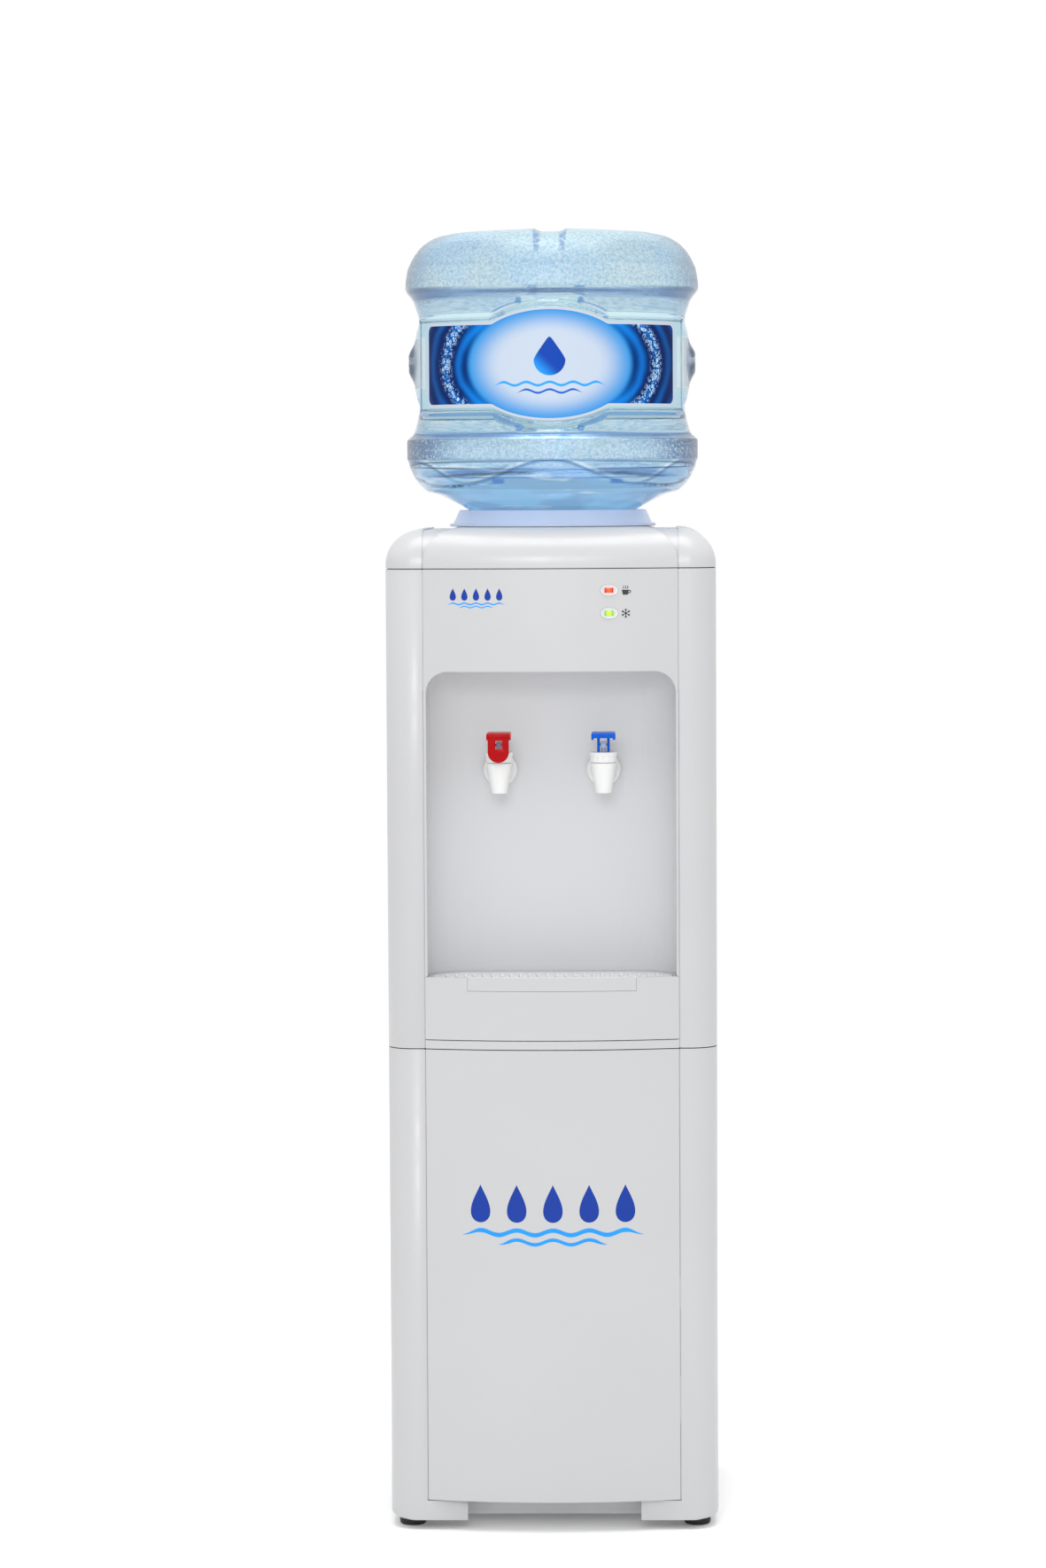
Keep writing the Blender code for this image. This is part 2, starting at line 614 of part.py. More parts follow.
def cabinet():
    """Base, feet, side panels, lower front panel and back panel."""
    base = block(
        "base_plate",
        (-INNER_HALF, FRONT + BASE_RECESS, BODY_LOW),
        (INNER_HALF, REAR_LINE, BODY_LOW + BASE_RAIL_HEIGHT),
        GREY,
    )
    cut(base, block(
        "base_hollow",
        (-INNER_HALF + BASE_WALL, FRONT + BASE_RECESS + BASE_WALL, BODY_LOW + BASE_WALL),
        (INNER_HALF - BASE_WALL, REAR_LINE - BASE_WALL, BODY_LOW + BASE_RAIL_HEIGHT + OVERRUN),
    ))
    foot_edge = FOOT_HEIGHT / 4
    foot_profile = (
        (0, FOOT_HEIGHT - GAP),
        (FOOT_RADIUS - foot_edge / 2, FOOT_HEIGHT - GAP),
        (FOOT_RADIUS, FOOT_HEIGHT - foot_edge),
        (FOOT_RADIUS, foot_edge),
        (FOOT_RADIUS - foot_edge / 2, 0),
        (0, 0),
    )
    for row, y in (("front", -FOOT_REACH), ("rear", FOOT_REACH)):
        for side, x in (("left", -FOOT_SPREAD), ("right", FOOT_SPREAD)):
            turned(f"foot_{row}_{side}", foot_profile, BLACK, False, SMALL_STEPS, (x, y, 0))

    for label, side in (("left", -1), ("right", 1)):
        lower = wall(
            f"{label}_side_panel_lower", side_path(side, STRIP_EDGE - TOE_REACH),
            BODY_LOW, MID_SEAM - SEAM / 2, PANEL_WALL, WHITE,
        )
        inner, outer = sorted((0, side * STRIP_EDGE))
        cut(lower, block(
            f"{label}_toe_step",
            (inner, FRONT - OVERRUN, TOE_TOP - SEAM),
            (outer, FRONT + OVERRUN, MID_SEAM + OVERRUN),
        ))
        wall(
            f"{label}_side_panel_upper", side_path(side, STRIP_EDGE),
            MID_SEAM + SEAM / 2, LID_SEAM - SEAM / 2, PANEL_WALL, WHITE,
        )

    front = bowed_front(PANEL_HALF)
    returns = [(-PANEL_HALF, FRONT + RETURN_DEPTH)], [(PANEL_HALF, FRONT + RETURN_DEPTH)]
    wall(
        "lower_front_panel", returns[0] + front + returns[1],
        TOE_TOP, MID_SEAM - SEAM / 2, PANEL_WALL, WHITE,
    )
    back = block(
        "back_panel", (-REAR_HALF, BACK_INNER, BACK_PANEL_Z), (REAR_HALF, BACK_FACE, LID_SEAM - SEAM / 2), ZINC
    )
    cut(
        back,
        block(
            "switch_cutout",
            (SWITCH_X - SWITCH_WIDTH / 2 + SWITCH_FLANGE - GAP, BACK_INNER - OVERRUN,
             SWITCH_Z - SWITCH_HEIGHT / 2 + SWITCH_FLANGE - GAP),
            (SWITCH_X + SWITCH_WIDTH / 2 - SWITCH_FLANGE + GAP, BACK_FACE + OVERRUN,
             SWITCH_Z + SWITCH_HEIGHT / 2 - SWITCH_FLANGE + GAP),
        ),
        rod("drain_cutout", DRAIN_RADIUS + GAP, (DRAIN_X, BACK_INNER - OVERRUN, DRAIN_Z),
            (DRAIN_X, BACK_FACE + OVERRUN, DRAIN_Z)),
        rod("gland_cutout", GLAND_RADIUS + GAP, (GLAND_X, BACK_INNER - OVERRUN, GLAND_Z),
            (GLAND_X, BACK_FACE + OVERRUN, GLAND_Z)),
    )


def lamp_frame(z):
    """The fascia's frame at a lamp: its place on the bowed face and the turn about Z."""
    turn = Matrix.Rotation(LAMP_X / BOW_RADIUS, 4, "Z")
    return Matrix.Translation((LAMP_X, bow_y(LAMP_X), z)) @ turn


def upper_front_panel():
    """Fascia, niche and sill as one moulding, with the lamp and tap holes."""
    outline = niche_outline(PANEL_HALF, bowed_front(PANEL_HALF), NICHE_WALL_BACK, NICHE_CORNER + PANEL_WALL)
    low, high = MID_SEAM + SEAM / 2, LID_SEAM - SEAM / 2
    panel = prism("upper_front_panel", outline, low, high, WHITE)

    bm = bmesh.new()
    bmesh.ops.create_cube(bm, size=1.0)
    niche_low = Vector((-NICHE_HALF, APEX - OVERRUN, SILL_TOP))
    niche_high = Vector((NICHE_HALF, NICHE_BACK, NICHE_TOP))
    bmesh.ops.scale(bm, vec=niche_high - niche_low, verts=bm.verts)
    bmesh.ops.translate(bm, vec=(niche_low + niche_high) / 2, verts=bm.verts)

    def edges_where(test):
        return [edge for edge in bm.edges if all(test(vert.co) for vert in edge.verts)]

    def is_rear(co):
        return co.y > NICHE_BACK - NICHE_CORNER / 2

    upright = [e for e in edges_where(is_rear) if abs(e.verts[0].co.z - e.verts[1].co.z) > NICHE_CORNER]
    bmesh.ops.bevel(bm, geom=upright, offset=NICHE_CORNER, segments=NICHE_STEPS, profile=0.5, affect="EDGES")
    top = edges_where(lambda co: co.z > NICHE_TOP - NICHE_COVE / 2)
    top = [e for e in top if any(vert.co.y > FRONT - BOW for vert in e.verts)]
    bmesh.ops.bevel(bm, geom=top, offset=NICHE_COVE, segments=ARC_STEPS, profile=0.5, affect="EDGES")
    niche = from_bmesh("niche_space", bm, None)

    bay_front = block(
        "tray_front_space",
        (-HALF_WIDTH, APEX - OVERRUN, SILL_TOP),
        (HALF_WIDTH, FRONT + TRAY_FRONT_DEPTH + TRAY_CLEARANCE, TRAY_TOP + GAP),
    )
    fascia_inner = niche_outline(
        PANEL_HALF - PANEL_WALL, bowed_front(PANEL_HALF - PANEL_WALL, PANEL_WALL),
        NICHE_WALL_BACK + OVERRUN, PANEL_WALL,
    )
    fascia_hollow = prism("fascia_hollow", fascia_inner, NICHE_TOP + PANEL_WALL, high + OVERRUN)
    sill_inner = niche_outline(
        PANEL_HALF - PANEL_WALL, bowed_front(PANEL_HALF - PANEL_WALL, PANEL_WALL),
        NICHE_WALL_BACK - PANEL_WALL, NICHE_CORNER,
    )
    sill_hollow = prism("sill_hollow", sill_inner, low - OVERRUN, SILL_TOP - SILL_WALL)
    cut(panel, niche, bay_front, fascia_hollow, sill_hollow)

    for side in (-1, 1):
        cut(panel, rod(
            f"tap_hole_{side + 1}", SHANK_RADIUS + GAP,
            (side * TAP_X, NICHE_BACK - OVERRUN, SHANK_Z), (side * TAP_X, NICHE_WALL_BACK + OVERRUN, SHANK_Z),
        ))
    for name, z in (("heating", HEATING_LAMP_Z), ("cooling", COOLING_LAMP_Z)):
        dish = rod(f"{name}_dish", 1, (0, -OVERRUN, 0), (0, DISH_DEPTH, 0))
        dish.data.transform(Matrix.Diagonal((DISH_WIDTH / 2, 1, DISH_HEIGHT / 2, 1)))
        window = block(
            f"{name}_window",
            (-LENS_WIDTH / 2 - GAP, -OVERRUN, -LENS_HEIGHT / 2 - GAP),
            (LENS_WIDTH / 2 + GAP, OVERRUN, LENS_HEIGHT / 2 + GAP),
        )
        for tool in (dish, window):
            tool.data.transform(lamp_frame(z))
        cut(panel, dish, window)
    return panel


def lamps():
    """Two lenses in their dishes and the board that carries their lights."""
    for name, z, finish in (
        ("heating", HEATING_LAMP_Z, RED_LENS), ("cooling", COOLING_LAMP_Z, GREEN_LENS)
    ):
        lens = block(
            f"{name}_lens",
            (-LENS_WIDTH / 2, DISH_DEPTH, -LENS_HEIGHT / 2),
            (LENS_WIDTH / 2, DISH_DEPTH + LENS_LENGTH, LENS_HEIGHT / 2),
            finish,
        )
        lens.matrix_world = lamp_frame(z)
    middle = (HEATING_LAMP_Z + COOLING_LAMP_Z) / 2
    start = DISH_DEPTH + LENS_LENGTH + GAP
    board = block(
        "indicator_board",
        (-BOARD_WIDTH / 2, start, -BOARD_HEIGHT / 2),
        (BOARD_WIDTH / 2, start + BOARD_THICKNESS, BOARD_HEIGHT / 2),
        CIRCUIT,
    )
    board.matrix_world = lamp_frame(middle)


def lid_side_dome(name, shrink, low, high, finish=None):
    """Rounded block whose top edge turns in along a quarter round."""
    sections = []
    fillet = LID_FILLET - shrink
    heights = [(0.0, low)]
    for i in range(LID_FILLET_STEPS + 1):
        angle = radians(90 * i / LID_FILLET_STEPS)
        heights.append((fillet * (1 - cos(angle)), high - fillet + fillet * sin(angle)))
    for inset, z in heights:
        share = 1 - (1 - LID_CORNER_SHARE) * inset / fillet
        half_x, half_y = HALF_WIDTH - shrink - inset, HALF_DEPTH - shrink - inset
        corners = (CORNER_RADIUS - shrink) * share, (REAR_RADIUS - shrink) * share
        sections.append([(x, y, z) for x, y in rounded_rectangle(half_x, half_y, *corners)])
    return loft(name, sections, finish)


def lid_centre(name, shrink, low, high, finish=None):
    """Bowed middle section of the top cover, drawn from left to right."""
    sections = []
    fillet = LID_FILLET - shrink
    for x, front in bowed_front(PANEL_HALF - shrink, shrink):
        rear = HALF_DEPTH - shrink
        nose = arc((front + fillet, high - fillet), fillet, 180, 90, LID_FILLET_STEPS)
        heel = arc((rear - fillet, high - fillet), fillet, 90, 0, LID_FILLET_STEPS)
        sections.append([(x, y, z) for y, z in [(front, low)] + nose + heel + [(rear, low)]])
    return loft(name, sections, finish)


def top_cover():
    low = LID_SEAM + SEAM / 2
    cover = lid_side_dome("top_cover", 0.0, low, LID_TOP - LID_STEP, WHITE)
    join(cover, lid_centre("cover_centre", 0.0, low, LID_TOP))
    cut(
        cover,
        lid_side_dome("cover_hollow", LID_WALL, low - OVERRUN, LID_TOP - LID_STEP - LID_WALL),
        lid_centre("cover_centre_hollow", LID_WALL, low - OVERRUN, LID_TOP - LID_WALL),
        rod("collar_hole", COLLAR_SPIGOT_RADIUS + GAP, (0, 0, low - OVERRUN),
            (0, 0, LID_TOP + OVERRUN), steps=ROUND_STEPS),
    )


def shoulder_z(radius):
    return BOTTLE_SHOULDER_Z + (radius - NECK_RADIUS) * SHOULDER_SLOPE


def collar():
    """Collar whose dish carries the bottle's shoulder cone."""
    rest = GAP * sqrt(1 + SHOULDER_SLOPE ** 2)
    brim_top = LID_TOP + GAP + COLLAR_BRIM_THICKNESS
    dish_in = shoulder_z(COLLAR_DISH_INNER) - rest
    dish_out = shoulder_z(COLLAR_DISH_OUTER) - rest
    under = COLLAR_WALL * sqrt(1 + SHOULDER_SLOPE ** 2)
    spigot_in = COLLAR_SPIGOT_RADIUS - COLLAR_WALL
    turned("bottle_collar", (
        (COLLAR_TOP_RADIUS, COLLAR_TOP),
        (COLLAR_FOOT_RADIUS, brim_top),
        (COLLAR_BRIM_RADIUS, brim_top - COLLAR_WALL / 8),
        (COLLAR_BRIM_RADIUS, LID_TOP + GAP),
        (COLLAR_SPIGOT_RADIUS, LID_TOP + GAP),
        (COLLAR_SPIGOT_RADIUS, LID_TOP - COLLAR_SPIGOT_DEPTH),
        (spigot_in, LID_TOP - COLLAR_SPIGOT_DEPTH),
        (spigot_in, dish_out - under),
        (COLLAR_DISH_OUTER, dish_out - under),
        (COLLAR_DISH_INNER, dish_in - under),
        (COLLAR_DISH_INNER, dish_in),
        (COLLAR_DISH_OUTER, dish_out),
        (COLLAR_TOP_RADIUS - COLLAR_WALL, COLLAR_TOP - COLLAR_LIP_DEPTH),
        (COLLAR_TOP_RADIUS - COLLAR_WALL, COLLAR_TOP),
    ), COLLAR_BLUE)
    return dish_in - under


def feed_seat(seat_top):
    """Well round the bottle's neck with the feed probe in its middle."""
    floor, inner = SEAT_FLOOR_Z, SEAT_RADIUS - SEAT_WALL
    flange_top = floor - SEAT_WALL
    flange_low = flange_top - SEAT_FLANGE_THICKNESS
    turned("feed_seat", (
        (SEAT_RADIUS, seat_top - GAP),
        (SEAT_RADIUS, flange_top),
        (SEAT_FLANGE_RADIUS, flange_top),
        (SEAT_FLANGE_RADIUS, flange_low),
        (PROBE_BORE, flange_low),
        (PROBE_BORE, floor + PROBE_HEIGHT),
        (PROBE_TIP_RADIUS, floor + PROBE_HEIGHT),
        (PROBE_RADIUS, floor + PROBE_HEIGHT - PROBE_TAPER),
        (PROBE_RADIUS, floor),
        (inner, floor),
        (inner, seat_top - GAP),
    ), MILKY)
    return flange_low


def tanks(foam_top):
    """Cold tank in its foam on the shelf, and the hot tank in its jacket under it."""
    shelf = block(
        "tank_shelf",
        (-INNER_HALF, -SHELF_FRONT, SHELF_Z), (INNER_HALF, REAR_LINE, SHELF_Z + SHELF_THICKNESS),
        ZINC,
    )
    cut(shelf, rod(
        "line_hole", LINE_RADIUS + LINE_CLEARANCE, (-LINE_X, COMPRESSOR_Y, SHELF_Z - OVERRUN),
        (-LINE_X, COMPRESSOR_Y, SHELF_Z + OVERRUN),
    ))
    foam_low = SHELF_Z + SHELF_THICKNESS + GAP
    foam_high = foam_top - GAP
    foam_inner = FOAM_RADIUS - FOAM_WALL
    turned("tank_insulation", (
        (0, foam_low + FOAM_FLOOR), (foam_inner, foam_low + FOAM_FLOOR), (foam_inner, foam_high),
        (FOAM_RADIUS, foam_high), (FOAM_RADIUS, foam_low), (0, foam_low),
    ), FOAM, False)
    tank_low = foam_low + FOAM_FLOOR + GAP
    tank_high = foam_high - TANK_HEADROOM
    inner = TANK_RADIUS - TANK_WALL
    turned("cold_tank", (
        (0, tank_low + TANK_WALL), (inner, tank_low + TANK_WALL), (inner, tank_high - TANK_WALL),
        (PROBE_RADIUS, tank_high - TANK_WALL), (PROBE_RADIUS, tank_high),
        (TANK_RADIUS, tank_high), (TANK_RADIUS, tank_low), (0, tank_low),
    ), STEEL, False)
    facet = 1 / cos(pi / COIL_STEPS)
    coil_radius = (TANK_RADIUS + COIL_TUBE_RADIUS + GAP) * facet
    coil_low = tank_low + COIL_TUBE_RADIUS + GAP
    turns = [i / COIL_STEPS for i in range(COIL_TURNS * COIL_STEPS + 1)]
    pipe("evaporator_coil", [
        (coil_radius * cos(2 * pi * t), coil_radius * sin(2 * pi * t), coil_low + COIL_PITCH * t) for t in turns
    ], COIL_TUBE_RADIUS, COPPER, 1)

    jacket_high = SHELF_Z - GAP
    hot_high = jacket_high - HOT_JACKET_TOP - GAP
    jacket_inner = HOT_TANK_RADIUS + GAP
    turned("hot_tank_jacket", (
        (0, jacket_high), (HOT_JACKET_RADIUS, jacket_high), (HOT_JACKET_RADIUS, HOT_JACKET_Z),
        (jacket_inner, HOT_JACKET_Z), (jacket_inner, hot_high + GAP), (0, hot_high + GAP),
    ), FOAM, False)
    hot_inner = HOT_TANK_RADIUS - TANK_WALL
    turned("hot_tank", (
        (0, hot_high), (HOT_TANK_RADIUS, hot_high), (HOT_TANK_RADIUS, HOT_TANK_Z), (DRAIN_BORE, HOT_TANK_Z),
        (DRAIN_BORE, HOT_TANK_Z + TANK_WALL), (hot_inner, HOT_TANK_Z + TANK_WALL),
        (hot_inner, hot_high - TANK_WALL), (0, hot_high - TANK_WALL),
    ), STEEL, False)
    band_in = HOT_TANK_RADIUS + GAP
    turned("heater_band", (
        (band_in + BAND_THICKNESS, BAND_Z + BAND_HEIGHT), (band_in + BAND_THICKNESS, BAND_Z),
        (band_in, BAND_Z), (band_in, BAND_Z + BAND_HEIGHT),
    ), ZINC)
    rod(
        "thermostat", THERMOSTAT_RADIUS,
        (-THERMOSTAT_X, 0, HOT_TANK_Z - GAP - THERMOSTAT_HEIGHT), (-THERMOSTAT_X, 0, HOT_TANK_Z - GAP), BLACK,
    )


def cooling_unit():
    """Compressor on the base, its lines, the filter drier and the condenser on the back."""
    floor = BODY_LOW + BASE_WALL + GAP
    plate_low = floor + COMPRESSOR_FEET_HEIGHT
    can_low = plate_low + COMPRESSOR_PLATE - FUSE
    radius, height = COMPRESSOR_RADIUS, COMPRESSOR_HEIGHT
    seam = can_low + COMPRESSOR_SEAM_SHARE * height
    upper = [(radius * r, can_low + height * z) for r, z in COMPRESSOR_TOP_SHARES]
    lower = [(radius * r, can_low + height * z) for r, z in COMPRESSOR_BOTTOM_SHARES]
    flange = [(radius, seam + COMPRESSOR_FLANGE), (radius + COMPRESSOR_FLANGE, seam + COMPRESSOR_FLANGE)]
    flange += [(radius + COMPRESSOR_FLANGE, seam), (radius, seam)]
    unit = block(
        "compressor",
        (-COMPRESSOR_FEET_WIDTH / 2, COMPRESSOR_Y - COMPRESSOR_FEET_DEPTH / 2, floor),
        (COMPRESSOR_FEET_WIDTH / 2, COMPRESSOR_Y + COMPRESSOR_FEET_DEPTH / 2, plate_low + COMPRESSOR_PLATE),
        BLACK_PAINT,
    )
    long_gap = COMPRESSOR_FEET_WIDTH / 2 - COMPRESSOR_LEG
    cross_gap = COMPRESSOR_FEET_DEPTH / 2 - COMPRESSOR_LEG
    cut(
        unit,
        block("between_feet_long",
              (-long_gap, COMPRESSOR_Y - COMPRESSOR_FEET_DEPTH, floor - OVERRUN),
              (long_gap, COMPRESSOR_Y + COMPRESSOR_FEET_DEPTH, plate_low)),
        block("between_feet_cross",
              (-COMPRESSOR_FEET_WIDTH, COMPRESSOR_Y - cross_gap, floor - OVERRUN),
              (COMPRESSOR_FEET_WIDTH, COMPRESSOR_Y + cross_gap, plate_low)),
    )
    can = turned("compressor_can", upper + flange + lower, None, False, centre=(0, COMPRESSOR_Y, 0))
    join(unit, can)

    reach = COMPRESSOR_RADIUS + GAP
    drier_base, drier_top = DRIER_Z, DRIER_Z + DRIER_LENGTH
    turned("filter_drier", (
        (0, drier_top), (LINE_RADIUS, drier_top), (DRIER_RADIUS, drier_top - DRIER_RADIUS),
        (DRIER_RADIUS, drier_base + DRIER_RADIUS), (LINE_RADIUS, drier_base), (0, drier_base),
    ), COPPER, False, SMALL_STEPS, (DRIER_X, COMPRESSOR_Y, 0))
    turn = LINE_BEND
    below = drier_base - turn
    pipe("discharge_line", [
        (reach, COMPRESSOR_Y, LINE_Z - turn), (LINE_X - turn, COMPRESSOR_Y, LINE_Z - turn),
        (DRIER_X - turn / 2, COMPRESSOR_Y, below - turn), (DRIER_X, COMPRESSOR_Y, below),
        (DRIER_X, COMPRESSOR_Y, drier_base - GAP),
    ], LINE_RADIUS, COPPER, 1)
    rise = SHELF_Z + SHELF_THICKNESS + FOAM_FLOOR * 2
    foam_side = sqrt(max(FOAM_RADIUS ** 2 - COMPRESSOR_Y ** 2, 0))
    pipe("suction_line", [
        (-reach, COMPRESSOR_Y, LINE_Z), (-LINE_X + turn, COMPRESSOR_Y, LINE_Z),
        (-LINE_X, COMPRESSOR_Y, LINE_Z + turn),
        (-LINE_X, COMPRESSOR_Y, rise - turn), (-LINE_X + turn, COMPRESSOR_Y, rise),
        (-foam_side - turn / 2, COMPRESSOR_Y, rise),
    ], LINE_RADIUS, COPPER, 1)
    condenser()


def condenser():
    """Serpentine tube with two straps that stand it off the back panel."""
    outer = HALF_DEPTH + STANDOFF
    tube_y = outer - STRAP_THICKNESS - CONDENSER_TUBE + FUSE
    half_run = CONDENSER_WIDTH / 2 - CONDENSER_PITCH / 2
    points = []
    for run in range(CONDENSER_RUNS):
        z = CONDENSER_LOW + run * CONDENSER_PITCH
        side = 1 if run % 2 == 0 else -1
        middle = CONDENSER_X + side * half_run
        points += [(CONDENSER_X - side * half_run, tube_y, z), (middle, tube_y, z)]
        if run < CONDENSER_RUNS - 1:
            bend = arc((middle, z + CONDENSER_PITCH / 2), CONDENSER_PITCH / 2, -90, 90)
            points += [(middle + side * (x - middle), tube_y, bz) for x, bz in bend[1:-1]]
    grid = as_mesh(pipe("condenser", points, CONDENSER_TUBE, BLACK_PAINT, 1), BLACK_PAINT)
    low = CONDENSER_LOW - CONDENSER_PITCH / 2
    high = CONDENSER_LOW + (CONDENSER_RUNS - 0.5) * CONDENSER_PITCH
    for label, side in (("left", -1), ("right", 1)):
        x = CONDENSER_X + side * (CONDENSER_WIDTH / 2 - STRAP_INSET)
        strap = block(
            f"strap_{label}",
            (x - STRAP_WIDTH / 2, outer - STRAP_THICKNESS, low), (x + STRAP_WIDTH / 2, outer, high),
        )
        for end, z in (("low", low), ("high", high - STRAP_WIDTH)):
            join(strap, block(
                f"standoff_{label}_{end}", (x - STRAP_WIDTH / 2 + FUSE, BACK_FACE + GAP, z + FUSE),
                (x + STRAP_WIDTH / 2 - FUSE, outer - STRAP_THICKNESS + FUSE, z + STRAP_WIDTH - FUSE),
            ))
        join(grid, strap)


def rear_fittings():
    """Rocker switches, cord gland and the drain with its cap."""
    y = BACK_FACE + GAP
    outer_x, outer_z = SWITCH_WIDTH / 2, SWITCH_HEIGHT / 2
    case_x, case_z = outer_x - SWITCH_FLANGE, outer_z - SWITCH_FLANGE
    frame = block(
        "switch_frame",
        (SWITCH_X - outer_x, y, SWITCH_Z - outer_z),
        (SWITCH_X + outer_x, y + SWITCH_FLANGE, SWITCH_Z + outer_z),
        BLACK,
    )
    join(frame, block(
        "switch_case",
        (SWITCH_X - case_x, y - SWITCH_DEPTH, SWITCH_Z - case_z),
        (SWITCH_X + case_x, y + SWITCH_FLANGE / 2, SWITCH_Z + case_z),
    ))
    axis_y = y + SWITCH_FLANGE / 2
    half_w, half_h = ROCKER_WIDTH / 2, ROCKER_HEIGHT / 2
    for name, side, finish in (("hot", -1, RED), ("cold", 1, GREEN_LENS)):
        x = SWITCH_X + side * ROCKER_PITCH / 2
        cut(frame, block(
            f"{name}_rocker_space",
            (x - half_w - ROCKER_CLEARANCE, y - SWITCH_DEPTH + SWITCH_WALL,
             SWITCH_Z - half_h - ROCKER_CLEARANCE),
            (x + half_w + ROCKER_CLEARANCE, y + OVERRUN, SWITCH_Z + half_h + ROCKER_CLEARANCE),
        ))
        outline = [
            (-ROCKER_BODY, -half_h + ROCKER_BODY / 2), (ROCKER_CREST, -half_h), (ROCKER_CREST / 2, 0),
            (ROCKER_CREST, half_h), (-ROCKER_BODY, half_h - ROCKER_BODY / 2),
            (-SWITCH_DEPTH / 2, 0),
        ]
        rocker = prism(f"{name}_rocker", outline, -half_w, half_w, finish, "X")
        rocker.data.transform(Matrix.Rotation(radians(ROCKER_TILT), 4, "X"))
        centre = pivot(f"{name}_rocker_axis", (x, axis_y, SWITCH_Z))
        rocker.location = (x, axis_y, SWITCH_Z)
        carry(centre, rocker)

    turned("cord_gland", (
        (GLAND_TIP_RADIUS, GLAND_FLANGE + GLAND_REACH), (GLAND_RADIUS, GLAND_FLANGE),
        (GLAND_FLANGE_RADIUS, GLAND_FLANGE), (GLAND_FLANGE_RADIUS, 0), (GLAND_RADIUS, 0),
        (GLAND_RADIUS, -GLAND_TAIL), (GLAND_BORE, -GLAND_TAIL), (GLAND_BORE, GLAND_FLANGE + GLAND_REACH),
    ), BLACK, True, SMALL_STEPS, (GLAND_X, BACK_FACE + GAP, GLAND_Z), "Y")


def drain():
    """Drain pipe from the hot tank to the back, and its screwed cap."""
    seat_y = BACK_FACE + GAP
    spout_end = seat_y + DRAIN_FLANGE + DRAIN_REACH
    turn = DRAIN_RADIUS * 2
    route = [
        (0, 0, HOT_TANK_Z - GAP), (0, 0, DRAIN_Z + turn), (turn / 2, turn / 2, DRAIN_Z),
        (DRAIN_X - turn, BACK_INNER - turn * 2, DRAIN_Z), (DRAIN_X, BACK_INNER - turn, DRAIN_Z),
        (DRAIN_X, spout_end, DRAIN_Z),
    ]
    spout = as_mesh(pipe("drain_pipe", route, DRAIN_RADIUS, MILKY), MILKY)
    join(spout, rod(
        "drain_flange", DRAIN_FLANGE_RADIUS,
        (DRAIN_X, seat_y, DRAIN_Z), (DRAIN_X, seat_y + DRAIN_FLANGE, DRAIN_Z),
    ))
    cut(spout, rod(
        "drain_bore", DRAIN_BORE, (DRAIN_X, BACK_INNER, DRAIN_Z), (DRAIN_X, spout_end + OVERRUN, DRAIN_Z)
    ))
    cap_low = seat_y + DRAIN_FLANGE + GAP
    inner = (DRAIN_RADIUS + GAP) / cos(pi / SMALL_STEPS)
    depth = spout_end + GAP - cap_low
    cap = turned("drain_cap", (
        (0, depth + DRAIN_CAP_WALL), (DRAIN_CAP_RADIUS - DRAIN_CAP_WALL / 2, depth + DRAIN_CAP_WALL),
        (DRAIN_CAP_RADIUS, depth + DRAIN_CAP_WALL / 2), (DRAIN_CAP_RADIUS, 0),
        (inner, 0), (inner, depth), (0, depth),
    ), BLACK, False, SMALL_STEPS, (DRAIN_X, cap_low, DRAIN_Z), "Y")
    carry(pivot("drain_cap_axis", (DRAIN_X, cap_low, DRAIN_Z)), cap)


def tray():
    """Drip tray with its full-width bowed front, and the grid that lies in it."""
    half = NICHE_HALF - TRAY_CLEARANCE
    rear = NICHE_BACK - TRAY_CLEARANCE
    corner = NICHE_CORNER - TRAY_CLEARANCE
    low = SILL_TOP + TRAY_CLEARANCE
    step_y = FRONT + TRAY_FRONT_DEPTH
    front = bowed_front(PANEL_HALF) + [(PANEL_HALF, step_y), (half, step_y)]
    outline = front + niche_outline(half, [], rear, corner) + [(-half, step_y), (-PANEL_HALF, step_y)]
    drawer = prism("drip_tray", outline, low, TRAY_TOP, WHITE)
    grid_top = TRAY_TOP - GRID_DROP
    ledge = grid_top - GRID_THICKNESS - GAP

    def hollow(inset):
        return niche_outline(half - inset, bowed_front(half - inset, inset), rear - inset, corner - inset)

    lip_half = GRID_LIP_WIDTH / 2
    lip_low = TRAY_TOP - GRID_LIP_HEIGHT
    cut(
        drawer,
        prism("tray_hollow", hollow(TRAY_WALL + GRID_LEDGE), low + TRAY_WALL, TRAY_TOP + OVERRUN),
        prism("grid_seat", hollow(TRAY_WALL), ledge, TRAY_TOP + OVERRUN),
        block("lip_notch", (-lip_half - SEAM / 2, APEX - OVERRUN, lip_low - SEAM),
              (lip_half + SEAM / 2, bow_y(lip_half) + TRAY_WALL * 2, TRAY_TOP + OVERRUN)),
    )
    carry(pivot("drip_tray_runner", (0, step_y, low)), drawer)

    grid = prism("drip_grid", hollow(TRAY_WALL + GAP), ledge + GAP, grid_top, WHITE)
    lip = bowed_front(lip_half) + list(reversed(bowed_front(lip_half, TRAY_WALL + FUSE * 2)))
    join(grid, prism("grid_lip", lip, lip_low, TRAY_TOP))
    slot_rear = rear - TRAY_WALL - GRID_LEDGE * 4
    for i in range(SLOT_COUNT):
        x = (i - (SLOT_COUNT - 1) / 2) * SLOT_PITCH
        cut(grid, block(
            f"grid_slot_{i}", (x - SLOT_WIDTH / 2, slot_rear - SLOT_LENGTH, ledge - OVERRUN),
            (x + SLOT_WIDTH / 2, slot_rear, grid_top + OVERRUN),
        ))
    carry(pivot("drip_grid_seat", (0, rear, ledge)), grid)


